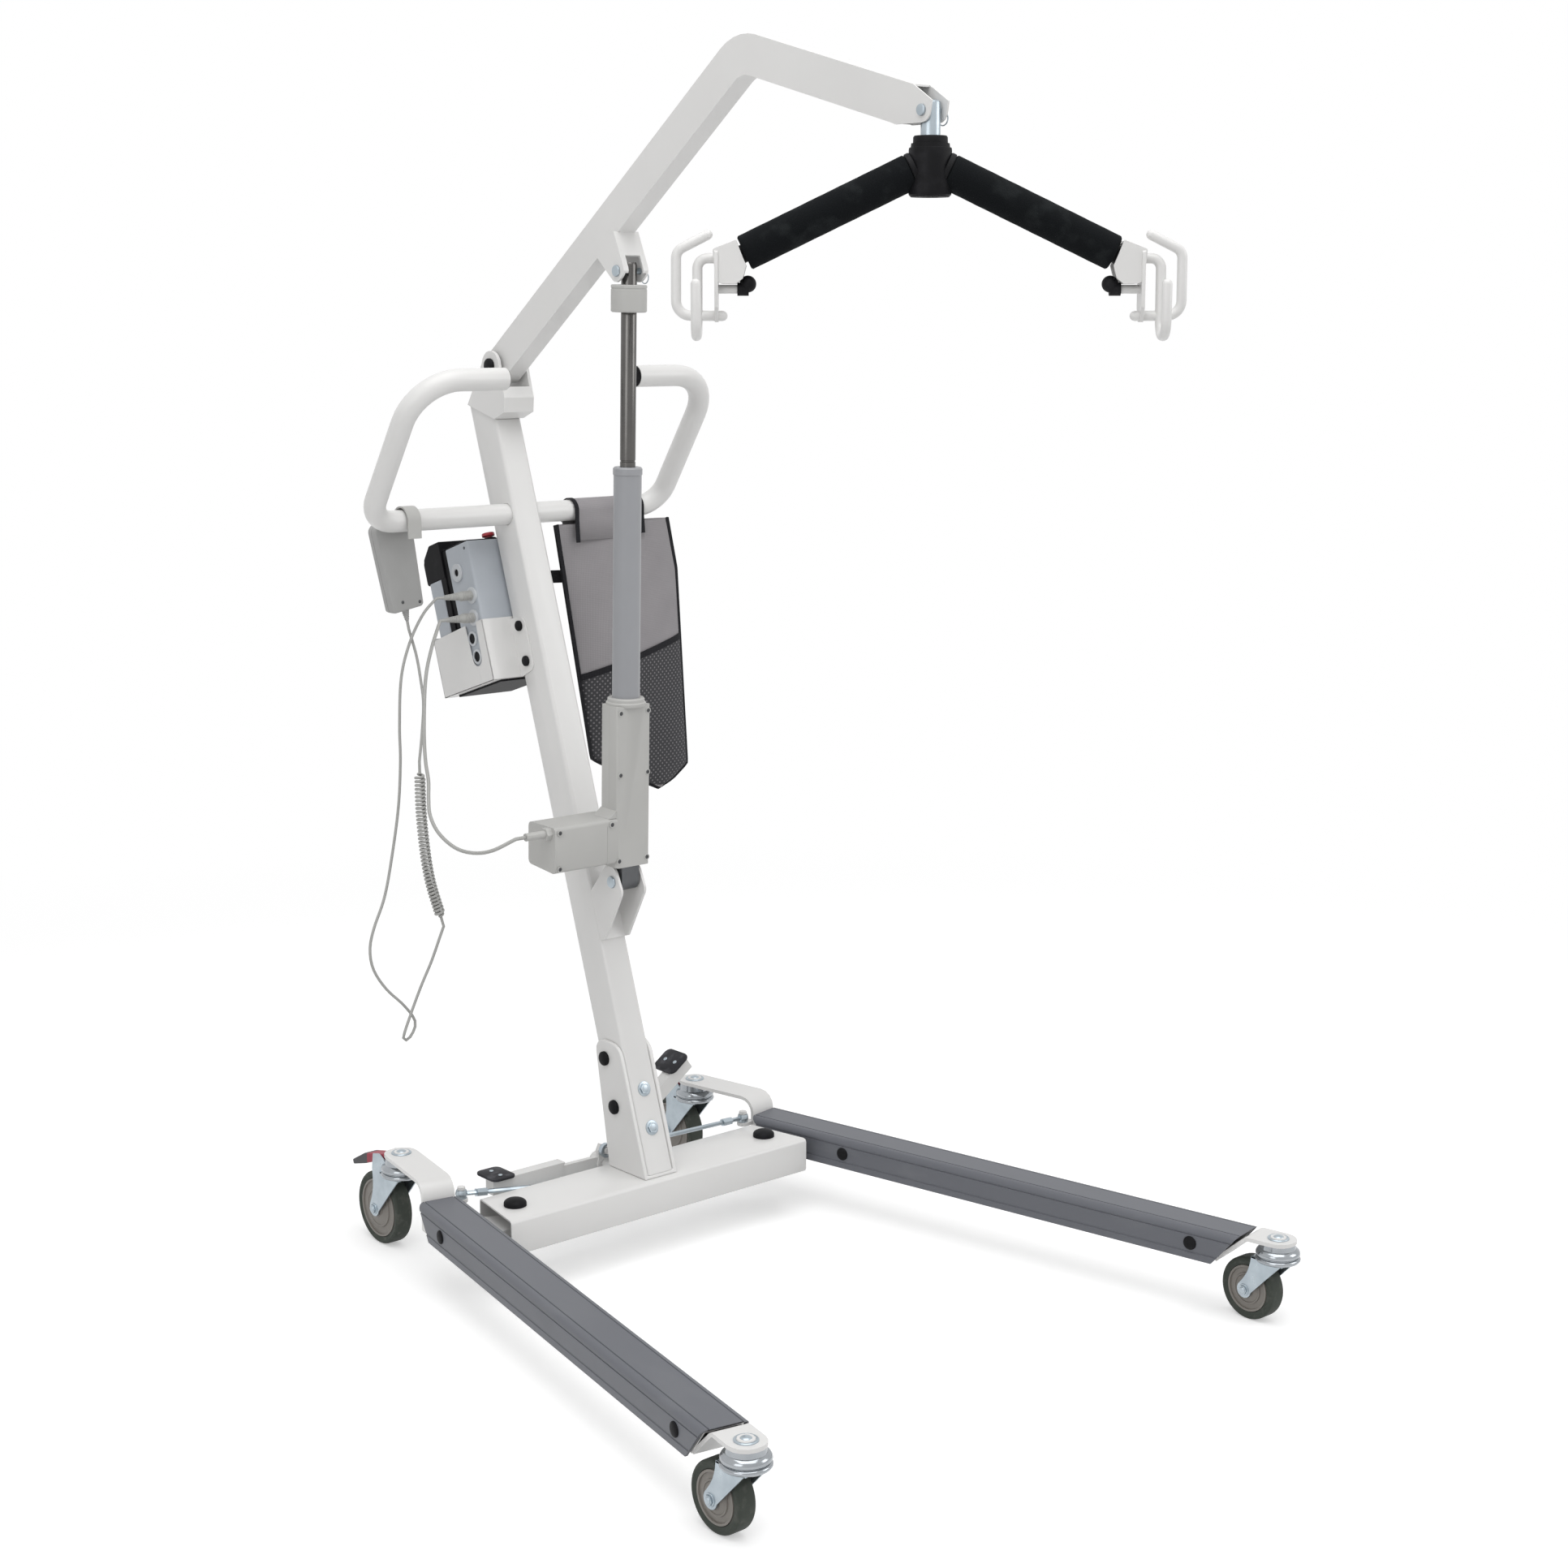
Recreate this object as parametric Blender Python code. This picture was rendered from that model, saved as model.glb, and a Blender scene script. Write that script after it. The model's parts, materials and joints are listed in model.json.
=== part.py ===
# Electric patient lift: base on casters, spreading legs, leaning mast, powered boom and spreader bar.
# Metres, +Z up. The origin is on the floor, midway between the two leg pivots. The legs point to -Y.
# "Left" is the +X side and "right" the -X side, as the attendant sees them from behind the mast.

import math

import bmesh
import bpy
from mathutils import Matrix, Vector

# Clearances
GAP = 0.0003            # between faces that touch
RUN = 0.0003            # radial play of a shaft in its bore
FIT = 0.0005            # side play of a part between two plates
SINK = 0.002            # how far a welded-on piece reaches into what carries it
PAST = 0.01             # how far a short cutter reaches past what it cuts
THROUGH = 0.1           # half length of a cutter that goes right through

# Legs: a box tube on each side, swung about a vertical pivot bolt
PIVOT_X = 0.262         # pivot bolt from the middle
LEG_SPREAD = 0.1903     # open angle of a leg from straight ahead, in radians
LEG_CLOSE = 0.190       # how far a leg swings in, in radians
LEG_OFFSET = 0.0988     # leg centreline outboard of its pivot
FRONT_REACH = 0.938     # front swivel bolt ahead of the pivot, along the leg
REAR_REACH = 0.240      # rear swivel bolt behind the pivot, along the leg
LEG_TUBE_WIDTH = 0.060
LEG_TUBE_HEIGHT = 0.046
LEG_TUBE_BOTTOM = 0.090
LEG_TUBE_WALL = 0.0025
LEG_TUBE_CORNER = 0.004
LEG_TUBE_SETBACK = 0.005 # front end of the tube behind the cover's
LEG_TUBE_TAIL = 0.080   # rear end of the tube behind the pivot
ARM_THICKNESS = 0.006
ARM_WIDTH = 0.056
FRONT_ARM_TOP = 0.1417
FRONT_ARM_BEND = 0.015  # where the front arm turns down, ahead of the tube
FRONT_ARM_CURVE = 0.012 # radius of that bend
FRONT_ARM_FOOT = 0.003  # end of the front arm above the tube's bottom
REAR_ARM_TOP = 0.170
REAR_ARM_TAIL = 0.0825  # where the rear arm turns down into the tube, behind the pivot
REAR_ARM_CURVE = 0.025
REAR_ARM_FOOT = 0.012   # end of the rear arm above the tube's bottom
ARM_NOSE = 0.95         # roundness of an arm's free end in plan
LEVER_THICKNESS = 0.012
LEVER_BOTTOM = 0.100
LEVER_END = 0.027       # radius round the pivot
LEVER_AHEAD = 0.043     # its root on the tube, ahead of the pivot
LEVER_BEHIND = 0.047    # its root on the tube, behind the pivot
NOTCH_PLAY = 0.003      # between the lever's root and the notch in the cover
NOTCH_RISE = 0.002      # between the lever and the notch, above and below
LUG_TAIL = 0.091        # tie rod pin behind the pivot, along the leg
LUG_IN = 0.044          # tie rod pin inboard of the leg centreline
LUG_RADIUS = 0.0105
LUG_BOTTOM = 0.124
LUG_THICKNESS = 0.006
LUG_ROOT = 0.004        # how far the lug reaches into the arm
LUG_PIN_RADIUS = 0.004
LUG_NUT_STEP = 0.003    # nut on the pin, wider than the pin
LUG_NUT_HEIGHT = 0.005
SWIVEL_NUT_RADIUS = 0.0145
SWIVEL_NUT_TAPER = 0.002
SWIVEL_NUT_HEIGHT = 0.003

# Leg covers: twin-wall troughs over the leg tubes
COVER_WIDTH = 0.075
COVER_WALL = 0.004
COVER_TOP = 0.1405
COVER_DROP = 0.0525     # height of the cover's sides
COVER_CORNER = 0.012
COVER_FRONT = 0.052     # top front edge behind the front bolt
COVER_TAIL = 0.0785     # top rear edge behind the pivot
COVER_RAKE = 0.044      # how much shorter each end is at the bottom

# Crossbar
CROSS_FRONT = -0.058
CROSS_REAR = 0.066
CROSS_BOTTOM = 0.0766
CROSS_HEIGHT = 0.060
CROSS_WALL = 0.003
CROSS_CORNER = 0.006
CROSS_END = 0.036       # end cut from the pivot, square to the leg
PIVOT_BOLT_RADIUS = 0.010
PIVOT_CAP_RADIUS = 0.0185
PIVOT_CAP_HEIGHT = 0.0125
PIVOT_CAP_EDGE = 0.003
PIVOT_NUT_RADIUS = 0.015
PIVOT_NUT_HEIGHT = 0.009

# Pedal rocker that spreads the legs, on a shaft behind the crossbar
ROCKER_Z = 0.120
ROCKER_TURN = 0.628     # travel of the rocker in radians
ROCKER_FRONT = 0.106    # front face of the rocker bars
ROCKER_DEPTH = 0.024
ROCKER_SHAFT_RADIUS = 0.010
SHAFT_COLLAR_STEP = 0.004   # collars at both ends of the shaft, wider than it
SHAFT_COLLAR_LENGTH = 0.006
ROCKER_BOSS_RADIUS = 0.018
ROCKER_BAR_RISE = 0.008 # bar centreline above the shaft when level
ROCKER_BAR_HEIGHT = 0.025
ROCKER_BAR_IN = 0.085
ROCKER_BAR_OUT = 0.231
ROCKER_BAR_SLANT = 0.012    # how much further out a bar's lower inner corner is
ROCKER_WEB_LAP = 0.030  # how far a web runs along under its bar
ROCKER_WEB_HALF = 0.013 # half height of a web at the boss
ROCKER_WEB_ROOT = 0.006 # inner end of a web from the shaft's middle
ROCKER_WEB_THICKNESS = 0.010
CRANK_PIN_RADIUS = 0.006
CRANK_RIM = 0.003       # crank plate round its pin
CRANK_ROOT = 0.008      # inner end of a crank plate from the shaft's middle
CRANK_ROOT_STEP = 0.004 # how much wider a crank plate is there
CRANK_PLATE = 0.008     # thickness of a crank plate
CRANK_Y = 0.0944        # plane of the tie rod eyes
CRANK_THICKNESS = 0.008
TIE_EYE_PLAY = 0.0025   # open play of the eye on the crank pin
TIE_EYE_WALL = 0.004
TIE_ROD_RADIUS = 0.004
TIE_JOINT_HALF = 0.007  # half height of the rod's joint on the leg
TIE_JOINT_WALL = 0.0055 # wall of the joint at its middle
TIE_JOINT_EDGE = 0.004  # wall of the joint at its ends
TIE_NUT_STEP = 0.003    # lock nut, wider than the rod
TIE_NUT_BACK = 0.022    # lock nut from the rod's outer end
TIE_NUT_LENGTH = 0.020
PAD_LENGTH = 0.046
PAD_WIDTH = 0.058
PAD_CORNER = 0.011
PAD_OVERHANG = 0.004    # how far a pad stands out past its bar
PAD_THICKNESS = 0.005
PAD_BACK = 0.009        # middle of a pad behind the middle of its bar

# Mast: box tube that leans back
MAST_LEAN = 0.3143      # from upright, in radians
MAST_FRONT_Y = -0.0914  # where the front face would meet the floor
MAST_WIDTH = 0.052
MAST_DEPTH = 0.068
MAST_WALL = 0.003
MAST_CORNER = 0.005
MAST_TOP_FRONT = 1.4385 # along the lean, from the floor line
MAST_TOP_RISE = 0.046   # how much higher the rear edge of its slanted top is
FOOT_WALL = 0.007
FOOT_BASE = 0.006
FOOT_TOP = 0.370        # front top corner of the side plates along the lean
FOOT_TOP_RISE = 0.023   # how much higher their rear top corner is
FOOT_TOP_DEPTH = 0.93   # depth of that corner, as a share of the mast's
FOOT_FRONT_ROUND = 0.030
FOOT_REAR_ROUND = 0.020
FOOT_REAR = 0.0534

# Boom pivot head
HEAD_AHEAD = 0.0211     # boom pivot ahead of the mast's front face
HEAD_RISE = 0.0867      # boom pivot beyond the mast's front top edge, along the lean
HEAD_HALF_WIDTH = 0.030
HEAD_WALL = 0.0055
HEAD_RADIUS = 0.025
HEAD_FLOOR = 0.007      # thickness of its floor
HEAD_FLOOR_LIP = 0.006  # how far its slot reaches ahead of the mast
HEAD_CLEAR = 0.005      # below the boom's end
HEAD_SETBACK = 0.002    # its edges from the mast's front and rear faces
NOSE_AHEAD = 0.040      # front corner of the head ahead of the boom's pivot
NOSE_BELOW = 0.052      # and below it
NOSE_HEIGHT = 0.024
NOSE_SLANT = 0.002
BOOM_BOLT_RADIUS = 0.008
BOOM_BOLT_HEAD = 0.0125
BOOM_BOLT_EDGE = 0.002
BOOM_BOLT_SKIRT = 0.005
BOOM_BOLT_HEIGHT = 0.007

# Boom: bent box tube
BOOM_HEIGHT = 0.058
BOOM_WIDTH = 0.034
BOOM_WALL = 0.0025
BOOM_RISE = 0.6301      # angle of the first leg above level
BOOM_FIRST = 0.7859     # length of the first leg
BOOM_DROP = 0.2671      # angle of the second leg below level
BOOM_SECOND = 0.3992
BOOM_BEND_RADIUS = 0.066        # outer bend, along the tube's middle
BOOM_CHEEK = 0.056      # how far the tip pin stands in front of the tube's lower wall
CHEEK_RADIUS = 0.0165   # boom's end round the tip pin
CHEEK_FOOT = 0.052      # rear end of the cheeks' level lower edge, behind the tip pin
CHEEK_TOP_BACK = 0.026  # end of the tube's upper wall behind the tip pin
CHEEK_TOP = (0.019, 0.012)      # upper corner of the nose, ahead of the tip pin and above it
HANGER_PIN_RADIUS = 0.006

# Actuator between the mast and the boom
LOWER_PIN_Y = 0.045
LOWER_PIN_Z = 0.6253
PIN_ALONG = 0.3691      # rod pin along the boom from its pivot
PIN_BELOW = 0.0810      # rod pin below the boom's centreline
ACTUATOR_PIN_RADIUS = 0.006
ROD_PIN_RADIUS = 0.005
ROD_PIN_PLAY = 0.001    # open play of the rod end on its pin
ROD_RADIUS = 0.0125
ROD_EYE_TOP = 0.0146    # rod end above its pin
COLLAR_RADIUS = 0.0285
COLLAR_BELOW = 0.0210   # collar's top below the rod pin
COLLAR_HEIGHT = 0.0425
TUBE_RADIUS = 0.0225
TUBE_WALL = 0.003
TUBE_TOP = 0.6785       # above the lower pin, along the actuator
HOUSING_HALF_WIDTH = 0.0335
HOUSING_FRONT = 0.0235
HOUSING_REAR = 0.0235
HOUSING_BOTTOM = 0.028
HOUSING_TOP = 0.295
MOTOR_LEFT = 0.157      # end face of the motor box from the middle
MOTOR_REAR = 0.051
MOTOR_BOTTOM = 0.036
MOTOR_TOP = 0.112
GLAND_RADIUS = 0.0065
GLAND_LENGTH = 0.046
GLAND_AHEAD = 0.006     # in front of the actuator's axis
GLAND_UP = 0.1010
HOUSING_CORNER = 0.006
MOTOR_CORNER = 0.008
EYE_RADIUS = 0.016
EYE_PLAY = 0.004        # between the eye and the clevis plates
TUBE_SEAT = 0.004       # how deep the tube stands in the housing
SEAT_WALL = 0.0045
SEAT_HEIGHT = 0.011
TUBE_BEAD = 0.001       # bead round the tube's top, proud of it
TUBE_BEAD_LOW = 0.012   # bead's lower edge below the tube's top
TUBE_LIP = 0.010        # length of the guide that the rod runs in
ROD_INSIDE = 0.030      # rod's lower end inside the tube
COLLAR_EDGE = 0.002
ROD_FORK_HALF = 0.0042
ROD_SLOT_RISE = 0.001   # middle of the slot's closed end above the rod pin
ROD_SLOT_FLARE = 0.007  # how much higher the slot is towards its open end
ROD_TIP_EDGE = 0.004
CLEVIS_INNER = 0.0215
CLEVIS_WALL = 0.0045
CLEVIS_BELOW = 0.090    # lower end on the mast, below the pin
CLEVIS_ABOVE = 0.006    # upper end on the mast, below the pin
CLEVIS_FOOT = 0.012     # how far its lower end stands out from the mast
CLEVIS_NOSE = 0.021     # how far its plates reach out past the pin
CLEVIS_NOSE_DROP = 0.022
CLEVIS_NOSE_TOP = 0.024 # top of the plates above the pin
CLEVIS_HEEL = 0.028     # highest corner of the plates above the pin
CLEVIS_ROUND = 0.015
BRACKET_INNER = 0.0205
BRACKET_WALL = 0.004
BRACKET_BELOW = 0.0150  # bracket below the rod pin
BRACKET_NOSE = 0.0150   # its lower end, either side of the rod pin
BRACKET_ROOT = 0.0300   # its welded edge, either side of the rod pin
BRACKET_ROUND = 0.013
BRACKET_SLOT_PLAY = 0.0020      # slot for the rod in its web

# Push handle
HANDLE_RADIUS = 0.018
HANDLE_BAR_Y = 0.3275
HANDLE_BAR_Z = 1.2110
HANDLE_HALF = 0.2955
HANDLE_TOP_Y = 0.1725
HANDLE_TOP_Z = 1.4410
HANDLE_GRIP_END = 0.1310
HANDLE_LOW_BEND = 0.046
HANDLE_TOP_BEND = 0.080

# Control tray, box and battery, in the mast's own directions
TRAY_LEFT = 0.0855      # towards the right side of the lift
TRAY_RIGHT = 0.0425
TRAY_FRONT = 0.0700
TRAY_BACK = 0.2276
TRAY_BOTTOM = 1.0105
TRAY_TOP = 1.1155
TRAY_WALL = 0.002
TRAY_CORNER = 0.003
TRAY_RIM = 0.018        # floor left round the opening below the box
FLANGE_FRONT = 0.030    # front end of the flanges behind the mast's face
FLANGE_THICKNESS = 0.0025
FLANGE_DROP = 0.004     # top of the flanges below the tray's
BOX_CLEAR = 0.0015
BOX_CORNER = 0.005
BACK_INSET = 0.006      # back slab from the box's sides
BACK_BELOW = 0.008      # back slab below the box's top
BOX_DEPTH = 0.070
BOX_TOP = 1.2515
BATTERY_FRONT = 0.160
BATTERY_BACK = 0.2155
BATTERY_TOP = 1.2710
BATTERY_LATCH = 0.226
BATTERY_EDGE = 0.002
BATTERY_CORNER = 0.010
LATCH_INSET = 0.030     # latch from the battery's sides
LATCH_BELOW = 0.012     # latch below the battery's top
LATCH_HEIGHT = 0.050
ESTOP_RADIUS = 0.011
ESTOP_HEIGHT = 0.015
ESTOP_STEM_RADIUS = 0.007
ESTOP_TRAVEL = 0.003
ESTOP_EDGE = 0.002
ESTOP_RIGHT = 0.022     # from the middle, towards the right side
ESTOP_BACK = 0.094      # behind the mast's front face
PLUG_RADIUS = 0.0075
PLUG_LENGTH = 0.056
PLUG_SHOULDER = 0.45    # where the plug begins to taper, as a share of its length
PENDANT_PLUG = (0.089, 1.1605)   # socket's place on the box: back from the mast face, along the lean
MOTOR_PLUG = (0.095, 1.1235)

# Casters
FRONT_WHEEL_RADIUS = 0.050
FRONT_TRAIL = 0.046
REAR_WHEEL_RADIUS = 0.0625
REAR_TRAIL = 0.0555
TYRE_WIDTH = 0.032
TYRE_DEPTH = 0.0125
HUB_BORE = 0.0055
FORK_GAP = 0.0035       # between tyre and fork cheek
FORK_WALL = 0.003
RACE_RADIUS = 0.030     # middle of the race's stepped side
RACE_STEP = 0.0018      # how far its steps stand in and out
RACE_LOW = 0.006        # lower step above the crown
RACE_HIGH = 0.012       # upper step above the crown
CROWN_CLEAR = 0.005     # crown above the wheel
CHEEK_FRONT = 0.025     # front edge of the fork's cheeks ahead of the swivel
CHEEK_REAR = 0.034      # rear edge of the cheeks behind the swivel
CHEEK_LAP = 0.004       # top of the cheeks above the crown
CHEEK_END = 0.0135      # radius of the cheeks round the axle
EAR_FRONT = (0.036, 0.034)      # brake ear's front top corner, behind the swivel and above the crown
EAR_REAR = (0.054, 0.030)       # brake ear's rear top corner
EAR_DEPTH = 0.024       # how much deeper cheeks with a brake ear are
AXLE_OUT = 0.004        # axle's ends outside the cheeks
TREAD_EDGE = 0.005      # chamfer of a tread
HUB_DISH = 0.004        # how far a hub's rim lies inside the tread's side
HUB_BOSS = 0.002        # how far a hub's boss stands outside it
BRAKE_BACK = 0.045      # brake pin behind the swivel
BRAKE_RISE = 0.0235     # brake pin above the crown
PEDAL_HALF_WIDTH = 0.013
PEDAL_TOP = 0.0065      # pedal's top above its pin
PEDAL_TOE = 0.010       # pedal's front end ahead of its pin
PEDAL_REACH = 0.091     # pedal's rear end behind its pin
PEDAL_DROP = 0.027      # pedal's rear end below its pin
PEDAL_KNEE = 0.052      # where the pedal turns down, behind its pin
PEDAL_THICKNESS = 0.0125
WHEEL_STEPS = 20        # facets round a wheel

# Spreader
SPREADER_YAW = -0.7139
SPREADER_DROP = 0.0335  # collar top below the tip pin
POST_RADIUS = 0.0135
POST_HEAD_RADIUS = 0.019
HUB_COLLAR_RADIUS = 0.0235
HUB_RADIUS = 0.0295
HUB_HEIGHT = 0.081
HUB_EDGE = 0.004        # chamfer of the hub's lower edge
HUB_COLLAR_HEIGHT = 0.013
HUB_FLOOR = 0.012       # hub's thickness below the post's bore
POST_HEAD_HEIGHT = 0.004
POST_EDGE = 0.003
ARM_OUT = 0.014         # arm tubes past the foam
ARM_TUBE_RADIUS = 0.0125
ARM_DROP = 0.447        # slope of the spreader arms below level
ARM_ROOT = (0.023, 0.0790)       # foam's inner end: out from the middle, below the tip pin
FOAM_LENGTH = 0.255
FOAM_RADIUS = 0.0245
HOOK_ROD = 0.007
PEG_RADIUS = 0.006
BALL_RADIUS = 0.0115
FRAME_HALF = 0.021      # half width across an end frame's cheeks
FRAME_WALL = 0.004
CROSS_PLATE = 0.005     # thickness of the cross plate
CROSS_PLATE_IN = 0.2885 # its inner face out from the middle
CROSS_PLATE_HALF = 0.024
CROSS_PLATE_TOP = 0.186 # below the tip pin
CROSS_PLATE_LOW = 0.262
CROSS_PLATE_POINT = 0.282
PEG_BELOW = 0.2375      # peg below the tip pin
PEG_IN = 0.2560         # peg's inner end out from the middle
CAP_OUT = 0.2625        # outer end of the ball cap's sleeve
CAP_IN = 0.2470         # inner end of the ball cap's sleeve
CAP_WALL = 0.0030
BALL_PLACE = (0.2480, 0.2305)   # ball's middle, out from the middle and below the tip pin

# Pendant and cords
PENDANT_X = -0.2220
PENDANT_Z = 1.1350
PENDANT_BEHIND = 0.003  # pendant's back face behind the handle bar
PENDANT_TILT = 0.180
PENDANT_HEIGHT = 0.150
PENDANT_TOP_WIDTH = 0.074
PENDANT_LOW_WIDTH = 0.062
PENDANT_THICKNESS = 0.027
HOOK_HALF_WIDTH = 0.0125
HOOK_PLAY = 0.003       # hook's inside round the handle bar
HOOK_THICKNESS = 0.003
BUTTON_SIZE = 0.020
BUTTON_TRAVEL = 0.0015
BUTTON_CORNER = 0.003
BUTTON_POCKET = 0.005   # depth of a button's pocket
BUTTON_PROUD = 0.002
UP_LEVEL = -0.022       # button's middle below the pendant's middle
DOWN_LEVEL = 0.014
PENDANT_TOP_ROUND = 0.014
PENDANT_LOW_ROUND = 0.010
RELIEF_RADIUS = 0.0060
RELIEF_TIP = 0.0036
RELIEF_SHOULDER = 0.006
RELIEF_LENGTH = 0.020
HOOK_DROP = 0.028       # hook's free end below the bar's middle
HOOK_ROOT = 0.022       # hook's root below the bar's middle
LEAD_RADIUS = 0.0024
MOTOR_CORD_RADIUS = 0.0030
COIL_RADIUS = 0.0071
COIL_TURNS = 36

# Storage bag, seen from behind: a straight top and five corners below it
BAG_INNER = 0.072       # inner end of its top from the middle
BAG_WIDTH = 0.240       # along the top
BAG_BELOW = 0.023       # top below the centre of the handle bar
BAG_FRONT = 0.0295      # front face ahead of the bar's centre
BAG_BACK = 0.0185       # rear face behind the bar's centre
BAG_WALL = 0.004
BAG_SEAM = 0.012        # width of the sewn edge
BAG_BULGE = 0.019       # how far its outer side swells out
BAG_BULGE_DROP = 0.090
BAG_FLARE = 0.040       # outer low corner beyond the top's end
BAG_OUTER_DROP = 0.4445
BAG_TOE = 0.024         # lowest corner inboard of the top's end
BAG_DROP = 0.481        # lowest corner below the top
BAG_HEEL = 0.0705       # inner low corner outboard of the top's inner end
BAG_HEEL_DROP = 0.4125
BAG_FLAP = 0.0022       # thickness of the flap over the handle bar
FLAP_INNER = 0.0305     # flap's inner edge from the bag's inner end
FLAP_WIDTH = 0.1465
PULL_RING_RADIUS = 0.0095
PULL_RING_WIRE = 0.0009
PIN_END = 0.009         # pins past their bracket on the ring's side
PIN_HEAD_HEIGHT = 0.004
LOWER_PIN_HEAD = 0.010
ROD_PIN_HEAD = 0.009
TIP_PIN_HEAD = 0.008

UP = Vector((0, 0, 1))
X_AXIS = Vector((1, 0, 0))
Y_AXIS = Vector((0, 1, 0))


def clear_scene():
    for item in list(bpy.data.objects):
        bpy.data.objects.remove(item, do_unlink=True)


def frame(origin, u, v, w):
    """Matrix that carries (u, v, w) to the world."""
    matrix = Matrix.Identity(4)
    for column, axis in enumerate((Vector(u), Vector(v), Vector(w), Vector(origin))):
        for row in range(3):
            matrix[row][column] = axis[row]
    return matrix


def link(name, data):
    item = bpy.data.objects.new(name, data)
    bpy.context.scene.collection.objects.link(item)
    return item


def finish(name, bm, sharp=32):
    """Turn a bmesh into an object, faces outward, round faces smooth."""
    bmesh.ops.remove_doubles(bm, verts=bm.verts, dist=1e-6)
    bmesh.ops.recalc_face_normals(bm, faces=bm.faces)
    mesh = bpy.data.meshes.new(name)
    bm.to_mesh(mesh)
    bm.free()
    mesh.shade_smooth()
    mesh.set_sharp_from_angle(angle=math.radians(sharp))
    return link(name, mesh)


def skin(name, rings, ring_closed=False, sharp=32):
    """Join rings of points into a solid, capped at both ends or closed on itself."""
    bm = bmesh.new()
    rows = [[bm.verts.new(point) for point in ring] for ring in rings]
    count = len(rows[0])
    spans = len(rows) if ring_closed else len(rows) - 1
    for index in range(spans):
        low, high = rows[index], rows[(index + 1) % len(rows)]
        for side in range(count):
            bm.faces.new((low[side], low[(side + 1) % count], high[(side + 1) % count], high[side]))
    if not ring_closed:
        bm.faces.new(rows[0])
        bm.faces.new(rows[-1])
    return finish(name, bm, sharp)


def prism(name, outline, low, high, place):
    """Extrude a flat outline from w = low to w = high."""
    rings = [[place @ Vector((u, v, level)) for u, v in outline] for level in (low, high)]
    return skin(name, rings)


def box(name, u_range, v_range, w_range, place):
    (u0, u1), (v0, v1) = u_range, v_range
    return prism(name, [(u0, v0), (u1, v0), (u1, v1), (u0, v1)], w_range[0], w_range[1], place)


def turned(name, profile, place, steps=24, hollow=False):
    """Turn a profile of (radius, height) about the w axis of a frame."""
    rings = []
    for radius, height in profile:
        angles = [2 * math.pi * step / steps for step in range(steps)]
        rings.append([place @ Vector((radius * math.cos(a), radius * math.sin(a), height)) for a in angles])
    return skin(name, rings, ring_closed=hollow)


def cylinder(name, radius, start, end, steps=20):
    """Round bar from one point to another."""
    start, end = Vector(start), Vector(end)
    axis = (end - start).normalized()
    side = axis.orthogonal().normalized()
    place = frame(start, side, axis.cross(side), axis)
    return turned(name, [(radius, 0), (radius, (end - start).length)], place, steps)


def bore(name, radius, start, end, steps=12):
    """Cutter for a round hole whose flats stay clear of a shaft of the given radius."""
    return cylinder(name, (radius + RUN) / math.cos(math.pi / steps), start, end, steps)


def rounded(corners, steps=4, closed=True):
    """Outline or path whose corners, each with a radius last, are turned into arcs."""
    result = []
    count = len(corners)
    for index, corner in enumerate(corners):
        point, radius = Vector(corner[:-1]), corner[-1]
        if radius == 0 or (not closed and index in (0, count - 1)):
            result.append(point)
            continue
        before = (Vector(corners[index - 1][:-1]) - point).normalized()
        after = (Vector(corners[(index + 1) % count][:-1]) - point).normalized()
        half = before.angle(after) / 2
        centre = point + (before + after).normalized() * radius / math.sin(half)
        first = point + before * radius / math.tan(half) - centre
        last = point + after * radius / math.tan(half) - centre
        sweep = first.angle(last)
        for step in range(steps + 1):
            share = step / steps
            weights = math.sin((1 - share) * sweep), math.sin(share * sweep)
            result.append(centre + (first * weights[0] + last * weights[1]) / math.sin(sweep))
    return result


def arc(centre, radius, start, end, steps):
    """Points on an arc, angles in radians, measured from the first axis."""
    angles = [start + (end - start) * step / steps for step in range(steps + 1)]
    return [(centre[0] + radius * math.cos(a), centre[1] + radius * math.sin(a)) for a in angles]


def rectangle(half_u, low_v, high_v, radius, steps=3):
    corners = ((-half_u, low_v), (half_u, low_v), (half_u, high_v), (-half_u, high_v))
    return rounded([(u, v, radius) for u, v in corners], steps)


def strap(name, path, thickness, half_width, place, nose):
    """Bent flat bar: a path in (u, w), spread along v, with its first end rounded in plan."""
    outer, inner = [], []
    for index, point in enumerate(path):
        before = path[max(index - 1, 0)]
        after = path[min(index + 1, len(path) - 1)]
        along = (after - before).normalized()
        normal = Vector((-along.y, along.x)) * thickness / 2
        outer.append(point + normal)
        inner.append(point - normal)
    outline = outer + inner[::-1]
    rings = []
    for side in (-half_width, half_width):
        rings.append([place @ Vector((point.x, side, point.y)) for point in outline])
    item = skin(name, rings)
    if nose == 0:
        return item
    bm = bmesh.new()
    bm.from_mesh(item.data)
    ends = [place @ Vector((path[0].x, side, path[0].y)) for side in (-half_width, half_width)]
    edges = []
    for edge in bm.edges:
        middle = (edge.verts[0].co + edge.verts[1].co) / 2
        if min((middle - end).length for end in ends) < thickness * 0.05:
            edges.append(edge)
    bmesh.ops.bevel(bm, geom=edges, offset=nose, segments=4, profile=0.5, affect='EDGES')
    bmesh.ops.recalc_face_normals(bm, faces=bm.faces)
    bm.to_mesh(item.data)
    bm.free()
    return item


def rod(name, path, radius, resolution=2):
    """Bent round bar as a mesh, from a curve with a bevel and filled caps."""
    curve_item = cord(name, path, radius, resolution)
    mesh = bpy.data.meshes.new_from_object(curve_item)
    bpy.data.objects.remove(curve_item, do_unlink=True)
    bm = bmesh.new()
    bm.from_mesh(mesh)
    return finish(name, bm, 50)


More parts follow.
